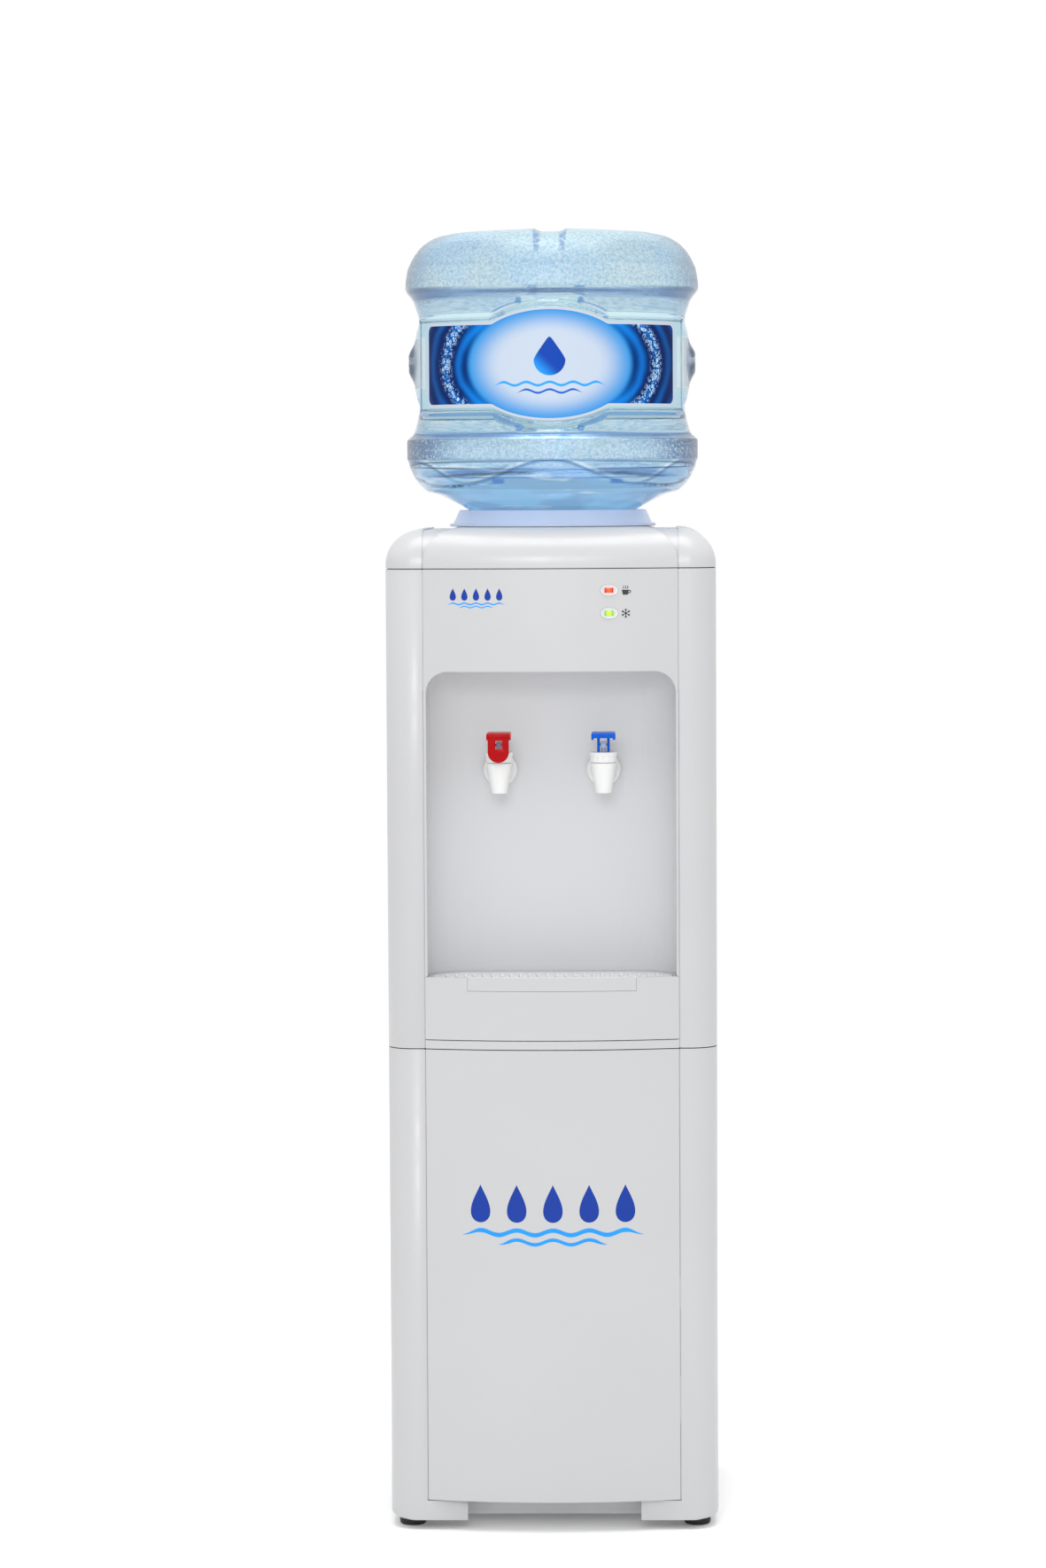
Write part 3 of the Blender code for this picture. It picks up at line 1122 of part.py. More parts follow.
def tap(name, side, colour):
    """One tap: body, cap, valve stem with its spring, lever and pin, and the nut behind the wall."""
    x = side * TAP_X
    top = NOZZLE_TIP_Z + NOZZLE_LENGTH
    body = turned(f"{name}_tap_body", (
        (NOZZLE_TOP_RADIUS, NOZZLE_LENGTH), (NOZZLE_TIP_RADIUS, 0), (NOZZLE_BORE, 0), (NOZZLE_BORE, VALVE_SEAT),
        (VALVE_RADIUS, VALVE_SEAT), (VALVE_RADIUS, NOZZLE_LENGTH),
    ), WHITE, True, SMALL_STEPS, (x, TAP_Y, NOZZLE_TIP_Z))
    shank_start = TAP_Y + NOZZLE_TOP_RADIUS - NOZZLE_WALL_SHARE * (NOZZLE_TOP_RADIUS - VALVE_RADIUS)
    shank_end = NICHE_WALL_BACK + SHANK_REACH
    join(
        body,
        rod(f"{name}_shank", SHANK_RADIUS, (x, shank_start, SHANK_Z), (x, shank_end, SHANK_Z)),
        rod(f"{name}_flange", TAP_FLANGE_RADIUS, (x, NICHE_BACK - GAP - TAP_FLANGE, SHANK_Z),
            (x, NICHE_BACK - GAP, SHANK_Z), steps=ROUND_STEPS),
    )
    thread = (SHANK_RADIUS + GAP) / cos(pi / SMALL_STEPS)
    turned(f"{name}_tap_nut", (
        (NUT_RADIUS, NUT_LENGTH), (NUT_RADIUS, 0), (thread, 0), (thread, NUT_LENGTH),
    ), BLACK, True, SMALL_STEPS, (x, NICHE_WALL_BACK + GAP, SHANK_Z), "Y")
    turned(f"{name}_tap_cap", (
        (TAP_CAP_RADIUS, TAP_CAP_HEIGHT), (TAP_CAP_RADIUS, TAP_CAP_HEIGHT - TAP_CAP_RIM),
        (NOZZLE_TOP_RADIUS, 0), (STEM_RADIUS + GAP * 2, 0), (STEM_RADIUS + GAP * 2, TAP_CAP_HEIGHT),
    ), WHITE, True, SMALL_STEPS, (x, TAP_Y, top + GAP))

    rest = VALVE_Z + GAP
    stem_axis = pivot(f"{name}_stem_axis", (x, TAP_Y, rest))
    stem = turned(f"{name}_tap_stem", (
        (0, PIN_Z), (STEM_RADIUS, PIN_Z), (STEM_RADIUS, rest + SEAL_THICKNESS),
        (SEAL_RADIUS, rest + SEAL_THICKNESS), (SEAL_RADIUS, rest), (0, rest),
    ), MILKY, False, SMALL_STEPS, (x, TAP_Y, 0))
    head_low = PIN_Z - STEM_HEAD_HEIGHT / 2
    join(stem, block(
        f"{name}_stem_head", (x - STEM_HEAD_WIDTH / 2, TAP_Y - STEM_HEAD_DEPTH / 2, head_low),
        (x + STEM_HEAD_WIDTH / 2, TAP_Y + STEM_HEAD_DEPTH / 2, head_low + STEM_HEAD_HEIGHT),
    ))
    pin_hole = (PIN_RADIUS + GAP) / cos(pi / SMALL_STEPS)
    hole_ends = (x - LEVER_WIDTH / 2, TAP_Y, PIN_Z), (x + LEVER_WIDTH / 2, TAP_Y, PIN_Z)
    cut(stem, rod(f"{name}_stem_pin_hole", pin_hole, *hole_ends))
    pin = rod(
        f"{name}_lever_pin", PIN_RADIUS,
        (x - LEG_SPREAD / 2, TAP_Y, PIN_Z), (x + LEG_SPREAD / 2, TAP_Y, PIN_Z), STEEL,
    )
    carry(stem_axis, stem, pin)

    spring_low = rest + SEAL_THICKNESS + SPRING_WIRE + GAP
    spring_rise = top + GAP - SPRING_WIRE - GAP - spring_low
    turns = [i / SPRING_STEPS for i in range(SPRING_TURNS * SPRING_STEPS + 1)]
    pipe(f"{name}_tap_spring", [
        (x + SPRING_RADIUS * cos(2 * pi * t), TAP_Y + SPRING_RADIUS * sin(2 * pi * t),
         spring_low + spring_rise * t / SPRING_TURNS) for t in turns
    ], SPRING_WIRE, STEEL, 1)

    lever_axis = pivot(f"{name}_lever_axis", (x, TAP_Y, PIN_Z), stem_axis)
    lever = lever_shape(name, x, colour)
    cut(lever, rod(f"{name}_lever_pin_hole", pin_hole, *hole_ends))
    carry(lever_axis, lever)
    return lever, lever_axis


def lever_shape(name, x, colour):
    """Paddle with turned-down edges on two legs that stand on the cap."""
    low = PIN_Z + LEVER_RISE
    half = LEVER_WIDTH / 2
    edge = LEVER_EDGE
    outline = [
        (x - half, low - edge), (x - half + edge, low - edge), (x - half + edge * 2, low),
        (x + half - edge * 2, low), (x + half - edge, low - edge), (x + half, low - edge),
        (x + half, low + LEVER_THICKNESS - edge), (x + half - edge, low + LEVER_THICKNESS),
        (x - half + edge, low + LEVER_THICKNESS), (x - half, low + LEVER_THICKNESS - edge),
    ]
    lever = prism(f"{name}_tap_lever", outline, TAP_Y - LEVER_REACH, TAP_Y + LEVER_TAIL, colour, "Y")
    for i, leg_side in enumerate((-1, 1)):
        outer = x + leg_side * LEG_SPREAD / 2
        inner = outer - leg_side * LEG_THICKNESS
        join(lever, block(
            f"{name}_leg_{i}", (min(outer, inner), TAP_Y - LEG_FRONT, TAP_CAP_TOP + GAP),
            (max(outer, inner), TAP_Y + LEG_TAIL, low + FUSE),
        ))
    return lever


def safety_flap(lever, lever_axis):
    """D-shaped flap that hangs in front of the hot lever on two trunnions."""
    x = -TAP_X
    half = LEVER_WIDTH / 2
    front = TAP_Y - LEVER_REACH
    lug_half = FLAP_PIN_RADIUS + GAP * 3 + LUG_THICKNESS / 2
    for i, side in enumerate((-1, 1)):
        outer = x + side * half
        inner = outer - side * LUG_THICKNESS
        join(lever, block(
            f"flap_lug_{i}", (min(outer, inner), front - LUG_REACH, FLAP_Z - lug_half),
            (max(outer, inner), front + FUSE * 2, FLAP_Z + lug_half),
        ))
    cut(lever, rod(
        "flap_pin_hole", (FLAP_PIN_RADIUS + GAP) / cos(pi / SMALL_STEPS),
        (x - LEVER_WIDTH, FLAP_Y, FLAP_Z), (x + LEVER_WIDTH, FLAP_Y, FLAP_Z),
    ))
    flap_half = FLAP_WIDTH / 2
    straight = FLAP_LENGTH - flap_half
    bottom = arc((x, FLAP_Z - straight), flap_half, 180, 360, FLAP_STEPS)
    outline = [(x - flap_half, FLAP_Z + FLAP_CROWN)] + bottom + [(x + flap_half, FLAP_Z + FLAP_CROWN)]
    flap = prism("hot_safety_flap", outline, FLAP_Y - FLAP_THICKNESS / 2, FLAP_Y + FLAP_THICKNESS / 2, RED, "Y")
    join(flap, rod(
        "flap_trunnion", FLAP_PIN_RADIUS, (x - half + GAP, FLAP_Y, FLAP_Z), (x + half - GAP, FLAP_Y, FLAP_Z)
    ))
    window_top = FLAP_Z - FLAP_WINDOW_DROP
    cut(flap, block(
        "flap_window", (x - FLAP_WINDOW_WIDTH / 2, FLAP_Y - OVERRUN, window_top - FLAP_WINDOW_HEIGHT),
        (x + FLAP_WINDOW_WIDTH / 2, FLAP_Y + OVERRUN, window_top),
    ))
    carry(pivot("hot_safety_flap_axis", (x, FLAP_Y, FLAP_Z), lever_axis), flap)


def feed_tubes():
    """Tubes from the tanks to the taps' shanks."""
    tube = FEED_TUBE_RADIUS
    start = NICHE_WALL_BACK + SHANK_REACH + GAP
    foam_edge = sqrt(FOAM_RADIUS ** 2 - (TAP_X - tube) ** 2)
    pipe("cold_feed_tube", [(TAP_X, start, SHANK_Z), (TAP_X, -foam_edge - GAP, SHANK_Z)], tube, MILKY, 1)
    drop = -max(SHELF_FRONT, foam_edge) - tube - FEED_TUBE_CLEARANCE
    angle = radians(FEED_TUBE_ANGLE)
    jacket_x = -HOT_JACKET_RADIUS * sin(angle)
    jacket_y = -HOT_JACKET_RADIUS * cos(angle) - tube - GAP
    low = SHELF_Z - tube * 5
    pipe("hot_feed_tube", [
        (-TAP_X, start, SHANK_Z), (-TAP_X, start + tube, SHANK_Z), (-TAP_X, drop, SHANK_Z - tube * 2),
        (-TAP_X, drop, low), (jacket_x, jacket_y, low - tube * 2),
    ], tube, MILKY, 1)


def offset_profile(points, distance):
    """The profile moved inwards by a wall, on the left of its run."""
    moved = []
    for i, (r, z) in enumerate(points):
        before = Vector(points[max(i - 1, 0)])
        after = Vector(points[min(i + 1, len(points) - 1)])
        here = Vector((r, z))
        ways = [way.normalized() for way in (here - before, after - here) if way.length > 0]
        normals = [Vector((way.y, -way.x)) for way in ways]
        middle = sum(normals, Vector((0, 0))).normalized()
        shift = middle * distance / max(middle.dot(normals[0]), 0.5)
        moved.append((max(r + shift.x, 0.0), z + shift.y))
    return moved


def bottle():
    """Inverted bottle with its cap and label."""
    body = [
        (share_r * BOTTLE_RADIUS, BOTTLE_SHOULDER_Z + share_z * BOTTLE_HEIGHT)
        for share_r, share_z in BOTTLE_OUTLINE_SHARES + BASE_DISH_SHARES
    ]
    outer = list(reversed(body)) + [(NECK_RADIUS, BOTTLE_SHOULDER_Z)]
    inner = offset_profile(outer, BOTTLE_WALL)
    inner[0] = (0, outer[0][1] - BOTTLE_WALL)
    inner[-1] = (NECK_RADIUS - NECK_WALL, BOTTLE_SHOULDER_Z)
    profile = outer + [(NECK_RADIUS, NECK_END), (NECK_RADIUS - NECK_WALL, NECK_END)] + list(reversed(inner))
    shell = turned("bottle", profile, BOTTLE_BLUE, False)
    for i, side in enumerate((-1, 1)):
        join(shell, rod(
            f"side_boss_{i}", BOSS_RADIUS, (side * BOSS_INNER, 0, BOSS_Z), (side * BOSS_REACH, 0, BOSS_Z)
        ))

    hug = (NECK_RADIUS + GAP) / cos(pi / ROUND_STEPS)
    cap_low = NECK_END - GAP - CAP_FLOOR
    hole = PROBE_RADIUS + GAP * 2
    cap = turned("bottle_cap", (
        (CAP_RADIUS, cap_low + CAP_HEIGHT), (CAP_RADIUS, cap_low), (hole, cap_low), (hole, cap_low + CAP_FLOOR),
        (hug, cap_low + CAP_FLOOR), (hug, cap_low + CAP_HEIGHT),
    ), CAP_BLUE)

    bm = bmesh.new()
    columns = []
    for i in range(LABEL_STEPS + 1):
        angle = radians(-90 + LABEL_HALF_ANGLE * (2 * i / LABEL_STEPS - 1))
        along = LABEL_RADIUS * (angle + pi / 2)
        inside = max(1 - (2 * along / LABEL_OVAL_WIDTH) ** 2, 0)
        half = max(LABEL_WING_HEIGHT / 2, LABEL_OVAL_HEIGHT / 2 * sqrt(inside))
        spot = (LABEL_RADIUS * cos(angle), LABEL_RADIUS * sin(angle))
        columns.append([bm.verts.new((*spot, LABEL_Z + way * half)) for way in (-1, 1)])
    for left, right in zip(columns, columns[1:]):
        bm.faces.new((left[0], right[0], right[1], left[1]))
    mesh = bpy.data.meshes.new("bottle_label")
    bm.to_mesh(mesh)
    bm.free()
    label = file_object(bpy.data.objects.new("bottle_label", mesh), LABEL)
    film = label.modifiers.new("Film", "SOLIDIFY")
    film.thickness = LABEL_THICKNESS
    film.offset = -1.0
    carry(pivot("bottle_lift_axis", (0, 0, BOTTLE_SHOULDER_Z)), shell, cap, label)


def main():
    cabinet()
    upper_front_panel()
    lamps()
    top_cover()
    seat_top = collar()
    foam_top = feed_seat(seat_top)
    tanks(foam_top)
    cooling_unit()
    rear_fittings()
    drain()
    tray()
    hot_lever, hot_axis = tap("hot", -1, RED)
    safety_flap(hot_lever, hot_axis)
    tap("cold", 1, BLUE)
    feed_tubes()
    bottle()


main()
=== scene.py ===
# %% [markdown]
# # A water dispenser, dressed for its photograph
# The solid model of the dispenser is already packed. This lesson loads it, keeps it as the measure of
# every piece, and models the fine surfaces over it: the bowed front, the niche, the tray, the taps and
# the bottle. Lengths are metres, +Z is up, and the front with the taps faces -Y.

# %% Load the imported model
from math import atan2, cos, pi, radians, sin, sqrt

import bmesh
import bpy
from mathutils import Matrix, Vector


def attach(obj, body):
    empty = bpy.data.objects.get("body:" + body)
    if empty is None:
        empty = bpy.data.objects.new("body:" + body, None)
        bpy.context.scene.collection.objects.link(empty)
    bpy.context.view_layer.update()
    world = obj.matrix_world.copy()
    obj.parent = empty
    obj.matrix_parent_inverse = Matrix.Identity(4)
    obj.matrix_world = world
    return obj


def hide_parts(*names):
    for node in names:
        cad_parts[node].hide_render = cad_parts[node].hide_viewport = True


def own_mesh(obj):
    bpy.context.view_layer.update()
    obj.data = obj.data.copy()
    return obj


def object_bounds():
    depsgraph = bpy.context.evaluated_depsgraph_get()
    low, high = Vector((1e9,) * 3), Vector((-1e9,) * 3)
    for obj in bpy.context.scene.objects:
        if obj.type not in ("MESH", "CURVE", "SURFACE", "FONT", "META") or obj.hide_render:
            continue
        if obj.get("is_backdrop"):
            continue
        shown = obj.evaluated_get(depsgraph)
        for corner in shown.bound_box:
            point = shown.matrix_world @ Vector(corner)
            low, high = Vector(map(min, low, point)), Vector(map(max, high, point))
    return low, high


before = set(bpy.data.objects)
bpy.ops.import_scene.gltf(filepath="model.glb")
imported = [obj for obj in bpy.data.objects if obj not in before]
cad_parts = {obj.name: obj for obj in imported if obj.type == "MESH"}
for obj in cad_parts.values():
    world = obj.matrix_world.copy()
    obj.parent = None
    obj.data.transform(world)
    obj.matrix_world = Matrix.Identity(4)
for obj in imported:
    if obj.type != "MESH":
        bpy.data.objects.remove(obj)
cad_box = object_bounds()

print("box:", [round(v, 4) for v in cad_box[0]], [round(v, 4) for v in cad_box[1]])

# %% [markdown]
# ## The camera
# The photograph was taken from far away with a long lens, a little below the bottle's foot and tilted
# down by a few degrees. The camera's three axes are worked out from its yaw, tilt and roll, and become
# the columns of its matrix. That keeps the numbers readable, where Euler angles would mix them.

# %% Camera
CAMERA_PLACE = Vector((0.084, -4.701, 0.991))
CAMERA_YAW, CAMERA_TILT, CAMERA_ROLL = radians(1.39), radians(3.594), radians(-0.30)
FOCAL_SHARE = 5500 / 1770      # focal length over the picture's long side

forward = Vector((-sin(CAMERA_YAW) * cos(CAMERA_TILT), cos(CAMERA_YAW) * cos(CAMERA_TILT), -sin(CAMERA_TILT)))
level = Vector((cos(CAMERA_YAW), sin(CAMERA_YAW), 0))
upward = level.cross(forward)
right = level * cos(CAMERA_ROLL) + upward * sin(CAMERA_ROLL)
top = upward * cos(CAMERA_ROLL) - level * sin(CAMERA_ROLL)
camera_data = bpy.data.cameras.new("photo_camera")
camera_data.sensor_fit = "AUTO"
camera_data.sensor_width = 36
camera_data.lens = 36 * FOCAL_SHARE
camera_data.clip_end = 50
camera = bpy.data.objects.new("photo_camera", camera_data)
bpy.context.scene.collection.objects.link(camera)
camera.matrix_world = Matrix((
    (right.x, top.x, -forward.x, CAMERA_PLACE.x),
    (right.y, top.y, -forward.y, CAMERA_PLACE.y),
    (right.z, top.z, -forward.z, CAMERA_PLACE.z),
    (0, 0, 0, 1),
))
bpy.context.scene.camera = camera
print("camera lens:", round(camera_data.lens, 1), "mm")

# %% [markdown]
# ## Helpers for modelling by operator
# Operators act on whatever is selected, and the loaded nodes are still selected. So every step starts
# by clearing the selection, and edges or faces are picked in code by where they lie.

# %% Selecting
TINY = 1e-5      # lengths that differ by less count as the same


def close_edit():
    bpy.ops.object.mode_set(mode="OBJECT")


def only(piece):
    """Select one object alone, in object mode."""
    if bpy.context.object and bpy.context.object.mode != "OBJECT":
        close_edit()
    bpy.ops.object.select_all(action="DESELECT")
    if piece:
        piece.select_set(True)
        bpy.context.view_layer.objects.active = piece


def edit(piece, kind="FACE"):
    """Open a piece in edit mode with nothing selected."""
    only(piece)
    bpy.ops.object.mode_set(mode="EDIT")
    bpy.ops.mesh.select_mode(type=kind)
    bpy.ops.mesh.select_all(action="DESELECT")


def pick(piece, kind, test):
    """Select the vertices, edges or faces that pass a test of their place."""
    bpy.ops.mesh.select_mode(type=kind)
    bpy.ops.mesh.select_all(action="DESELECT")
    bm = bmesh.from_edit_mesh(piece.data)
    bm.normal_update()
    found = 0
    for part in {"VERT": bm.verts, "EDGE": bm.edges, "FACE": bm.faces}[kind]:
        if test(part):
            part.select = True
            found += 1
    bm.select_flush_mode()
    bmesh.update_edit_mesh(piece.data)
    return found


def ends(edge):
    return [vert.co for vert in edge.verts]


def upright(edge):
    low, high = ends(edge)
    return abs(low.x - high.x) < TINY and abs(low.y - high.y) < TINY


def centre(face):
    return face.calc_center_median()


print("selection helpers ready")

# %% Cutting and rounding in edit mode
def cut_by(place, way, **settings):
    """Cut the whole open mesh by a plane through a place."""
    bpy.ops.mesh.select_all(action="SELECT")
    bpy.ops.mesh.bisect(plane_co=place, plane_no=way, **settings)


def round_edges(radius, segments):
    """Bevel the selected edges to a quarter round."""
    bpy.ops.mesh.bevel(offset=radius, segments=segments, profile=0.5, affect="EDGES")


print("edit mode helpers ready")

# %% Adding and finishing pieces
def add_block(name, low, high):
    """A cube primitive between two corners, with its place in its mesh."""
    only(None)
    middle = [(a + b) / 2 for a, b in zip(low, high)]
    size = [b - a for a, b in zip(low, high)]
    bpy.ops.mesh.primitive_cube_add(size=1, location=middle, scale=size)
    return settle(name)


def add_rod(name, radius, start, end, steps=48):
    """A cylinder primitive between two points, with its place in its mesh."""
    only(None)
    start, end = Vector(start), Vector(end)
    bpy.ops.mesh.primitive_cylinder_add(vertices=steps, radius=radius, depth=(end - start).length)
    rod = bpy.context.object
    turn = Vector((0, 0, 1)).rotation_difference(end - start).to_matrix().to_4x4()
    rod.matrix_world = Matrix.Translation((start + end) / 2) @ turn
    return settle(name)


def named(piece, name):
    piece.name = piece.data.name = name
    return piece


def discard(piece):
    bpy.data.objects.remove(piece, do_unlink=True)


def settle(name):
    """Name the active object and apply its place."""
    piece = named(bpy.context.object, name)
    bpy.ops.object.transform_apply(location=True, rotation=True, scale=True)
    return piece


def modify(piece, kind, **settings):
    """Add a modifier, set it and apply it."""
    only(piece)
    step = piece.modifiers.new(kind.title(), kind)
    for key, value in settings.items():
        setattr(step, key, value)
    bpy.ops.object.modifier_apply(modifier=step.name)
    return piece


def carve(piece, *tools, way="DIFFERENCE", overlaps=False):
    """Boolean with tools, which are then removed; overlaps says that the piece's own shells cross."""
    for tool in tools:
        modify(piece, "BOOLEAN", object=tool, operation=way, solver="EXACT", use_self=overlaps)
        discard(tool)
    return piece


def soften(piece, width, segments=2, angle=40):
    """Round the edges that are sharper than an angle."""
    modify(
        piece, "BEVEL", width=width, segments=segments, limit_method="ANGLE", angle_limit=radians(angle),
        use_clamp_overlap=True, harden_normals=False, miter_outer="MITER_ARC",
    )
    return piece


def smooth(piece, angle=35, weigh=False):
    """Smooth shading below an angle; weigh lets the broad faces rule it, for panels with fine rounds."""
    only(piece)
    bpy.ops.object.shade_smooth_by_angle(angle=radians(angle))
    if weigh:
        modify(piece, "WEIGHTED_NORMAL", weight=90, keep_sharp=True)
    return piece


def duplicate(piece, name, move=(0, 0, 0)):
    """A copy with its own mesh, moved by changing its mesh."""
    twin = piece.copy()
    twin.data = piece.data.copy()
    named(twin, name)
    bpy.context.scene.collection.objects.link(twin)
    twin.data.transform(Matrix.Translation(move))
    return twin


def mirror_copy(piece, name):
    """A copy mirrored in the middle plane, with its faces turned outwards again."""
    twin = duplicate(piece, name)
    twin.data.transform(Matrix.Diagonal((-1, 1, 1, 1)))
    edit(twin)
    bpy.ops.mesh.select_all(action="SELECT")
    bpy.ops.mesh.flip_normals()
    close_edit()
    return twin


def fuse(first, *others):
    """Join objects into the first one."""
    only(first)
    for other in others:
        other.select_set(True)
    bpy.ops.object.join()
    return first


def fit(piece, body, finish, slot, *nodes):
    """Give a piece its material and its body, and hide the solids that it stands for."""
    piece.data.materials.clear()
    piece.data.materials.append(finish)
    only(None)
    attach(piece, body)
    if nodes:
        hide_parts(*nodes)
    print(piece.name, len(piece.data.polygons), "faces, on", body)
    return piece


# %% [markdown]
# ## Turned shapes and bowed shapes
# Nozzles, caps, feet and the bottle are turned. Their section is drawn by extruding one vertex from
# corner to corner, as by hand, its corners are rounded with a vertex bevel, and a spin sweeps it.
#
# The front of the cabinet is bowed: the centre panels stand 15 mm ahead of the side strips in the
# middle. The Bend modifier would shorten the panels' width, so each is modelled flat, cut into upright
# slices, and its vertices are moved forward by the height of the arc.

# %% Turning
def draw_section(name, points, closed=False):
    """A wire in the XZ plane through points of (radius, height)."""
    only(None)
    bpy.ops.mesh.primitive_plane_add(size=0.01, location=(points[0][0], 0, points[0][1]))
    wire = settle(name)
    edit(wire, "VERT")
    bpy.ops.mesh.select_all(action="SELECT")
    bpy.ops.mesh.merge(type="CENTER")
    for before, after in zip(points, points[1:]):
        step = (after[0] - before[0], 0, after[1] - before[1])
        bpy.ops.mesh.extrude_region_move(TRANSFORM_OT_translate={"value": step})
    if closed:
        first, last = Vector((points[0][0], 0, points[0][1])), Vector((points[-1][0], 0, points[-1][1]))
        pick(wire, "VERT", lambda v: (v.co - first).length < 1e-6 or (v.co - last).length < 1e-6)
        bpy.ops.mesh.edge_face_add()
    return wire


def round_corners(wire, corners):
    """Bevel the section's corners: (radius, height, size) each."""
    for r, z, size in corners:
        spot = Vector((r, 0, z))
        pick(wire, "VERT", lambda v: (v.co - spot).length < TINY)
        bpy.ops.mesh.bevel(offset=size, segments=4, affect="VERTICES", profile=0.5)


def turn(name, points, corners=(), closed=False, steps=64, at=(0, 0, 0), axis="Z"):
    """A turned piece about an upright axis, or about one along Y."""
    wire = draw_section(name, points, closed)
    round_corners(wire, corners)
    bpy.ops.mesh.select_all(action="SELECT")
    bpy.ops.mesh.spin(steps=steps, angle=2 * pi, center=(0, 0, 0), axis=(0, 0, 1))
    bpy.ops.mesh.select_all(action="SELECT")
    bpy.ops.mesh.remove_doubles(threshold=TINY)
    bpy.ops.mesh.normals_make_consistent(inside=False)
    close_edit()
    if axis == "Y":
        wire.data.transform(Matrix.Rotation(-pi / 2, 4, "X"))
    wire.data.transform(Matrix.Translation(at))
    return wire


print("turning helpers ready")

# %% Bowing
HALF_WIDTH = 0.155
FRONT, REAR = -0.155, 0.155
SEAM = 0.0008
STRIP_EDGE, PANEL_HALF = 0.1199, 0.1191
BOW, SLICES = 0.015, 48
BOW_RADIUS = (0.1195 ** 2 + BOW ** 2) / (2 * BOW)


def arc_height(x):
    """How far the bowed front stands ahead of the strips' plane."""
    return sqrt(BOW_RADIUS ** 2 - x ** 2) - (BOW_RADIUS - BOW)


def slice_across(piece, half, count):
    """Cut a piece into upright slices along X."""
    edit(piece)
    for i in range(1, count):
        cut_by((half * (2 * i / count - 1), 0, 0), (1, 0, 0))
    close_edit()


def bow_forward(piece, whole_to, none_from):
    """Move vertices forward by the arc: wholly ahead of whole_to, fading to none at none_from."""
    for vert in piece.data.vertices:
        fade = (none_from - vert.co.y) / (none_from - whole_to)
        vert.co.y -= arc_height(vert.co.x) * min(max(fade, 0), 1)
    piece.data.update()


print("bow radius:", round(BOW_RADIUS, 4))

# %% [markdown]
# ## Finishes
# The cabinet is moulded and painted white, so nearly all that the eye reads is how light slides over
# it. Real mouldings aren't quite even: the tone drifts a little, the gloss is broken by fine orange
# peel, and hands leave duller patches. One shader group gives these to every plastic and painted
# finish, each with its own amounts. It reads Object coordinates, so a pattern stays put on its piece.
#
# The alternatives were image textures, which would need files, and flat colours, which look like
# computer drawings. A group with named inputs is easy to tune in one place.

# %% Node helpers
def new_group(name, inputs, outputs):
    """An empty shader node group with named sockets."""
    group = bpy.data.node_groups.new(name, "ShaderNodeTree")
    for title, kind, value in inputs:
        socket = group.interface.new_socket(name=title, in_out="INPUT", socket_type=kind)
        socket.default_value = value
    for title, kind in outputs:
        group.interface.new_socket(name=title, in_out="OUTPUT", socket_type=kind)
    return group, group.nodes.new("NodeGroupInput"), group.nodes.new("NodeGroupOutput")


def add_node(tree, kind, settings=(), **values):
    """A node with its settings and its unlinked inputs."""
    node = tree.nodes.new(kind)
    for key, value in dict(settings).items():
        setattr(node, key, value)
    for title, value in values.items():
        node.inputs[title.replace("_", " ")].default_value = value
    return node


def math(tree, operation, first, second=None, third=None):
    """A Math node; each operand is a number or an output socket."""
    node = add_node(tree, "ShaderNodeMath", {"operation": operation})
    for socket, value in zip(node.inputs, (first, second, third)):
        if value is None:
            continue
        if isinstance(value, (int, float)):
            socket.default_value = value
        else:
            tree.links.new(value, socket)
    return node.outputs["Value"]


def times(tree, first, second):
    return math(tree, "MULTIPLY", first, second)


def apart(tree, first, second):
    """How far two values are from each other."""
    return math(tree, "ABSOLUTE", math(tree, "SUBTRACT", first, second))


def away_from_both(tree, first, second):
    """The length of the slope between two distances at right angles."""
    squares = [math(tree, "POWER", side, 2.0) for side in (first, second)]
    return math(tree, "SQRT", math(tree, "ADD", *squares))


def blend_colours(tree, share, first, second):
    """A colour Mix node; share and colours are values or output sockets."""
    node = add_node(tree, "ShaderNodeMix", {"data_type": "RGBA"})
    for socket, value in ((node.inputs[0], share), (node.inputs[6], first), (node.inputs[7], second)):
        if isinstance(value, (int, float, tuple)):
            socket.default_value = (*value, 1) if isinstance(value, tuple) else value
        else:
            tree.links.new(value, socket)
    return node.outputs[2]


def remap(tree, value, low, high, to_low=0.0, to_high=1.0):
    """Carry a value from one range to another, with soft ends."""
    node = add_node(tree, "ShaderNodeMapRange", {"interpolation_type": "SMOOTHSTEP"})
    for title, number in (("From Min", low), ("From Max", high), ("To Min", to_low), ("To Max", to_high)):
        node.inputs[title].default_value = number
    tree.links.new(value, node.inputs["Value"])
    return node.outputs["Result"]


def wash(tree, under, mask, amount, colour):
    """Lay a colour over another one by a share of a mask."""
    return blend_colours(tree, times(tree, mask, amount), under, colour)


def zone(tree, value, low, full, fade, high):
    """A mask that rises from low to full and falls from fade to high."""
    return times(tree, remap(tree, value, low, full), remap(tree, value, high, fade))


print("node helpers ready")

# %% Places and patterns
def mapped(tree, where, **values):
    """A place that a Mapping node moves or stretches."""
    node = add_node(tree, "ShaderNodeMapping", **values)
    tree.links.new(where, node.inputs["Vector"])
    return node.outputs["Vector"]


def axes_of(tree, where):
    """The three numbers of a place, by the names X, Y and Z."""
    node = add_node(tree, "ShaderNodeSeparateXYZ")
    tree.links.new(where, node.inputs["Vector"])
    return node.outputs


def texture(tree, kind, where, settings=(), **values):
    """A pattern that reads a place."""
    node = add_node(tree, f"ShaderNodeTex{kind}", settings, **values)
    tree.links.new(where, node.inputs["Vector"])
    return node


print("pattern helpers ready")

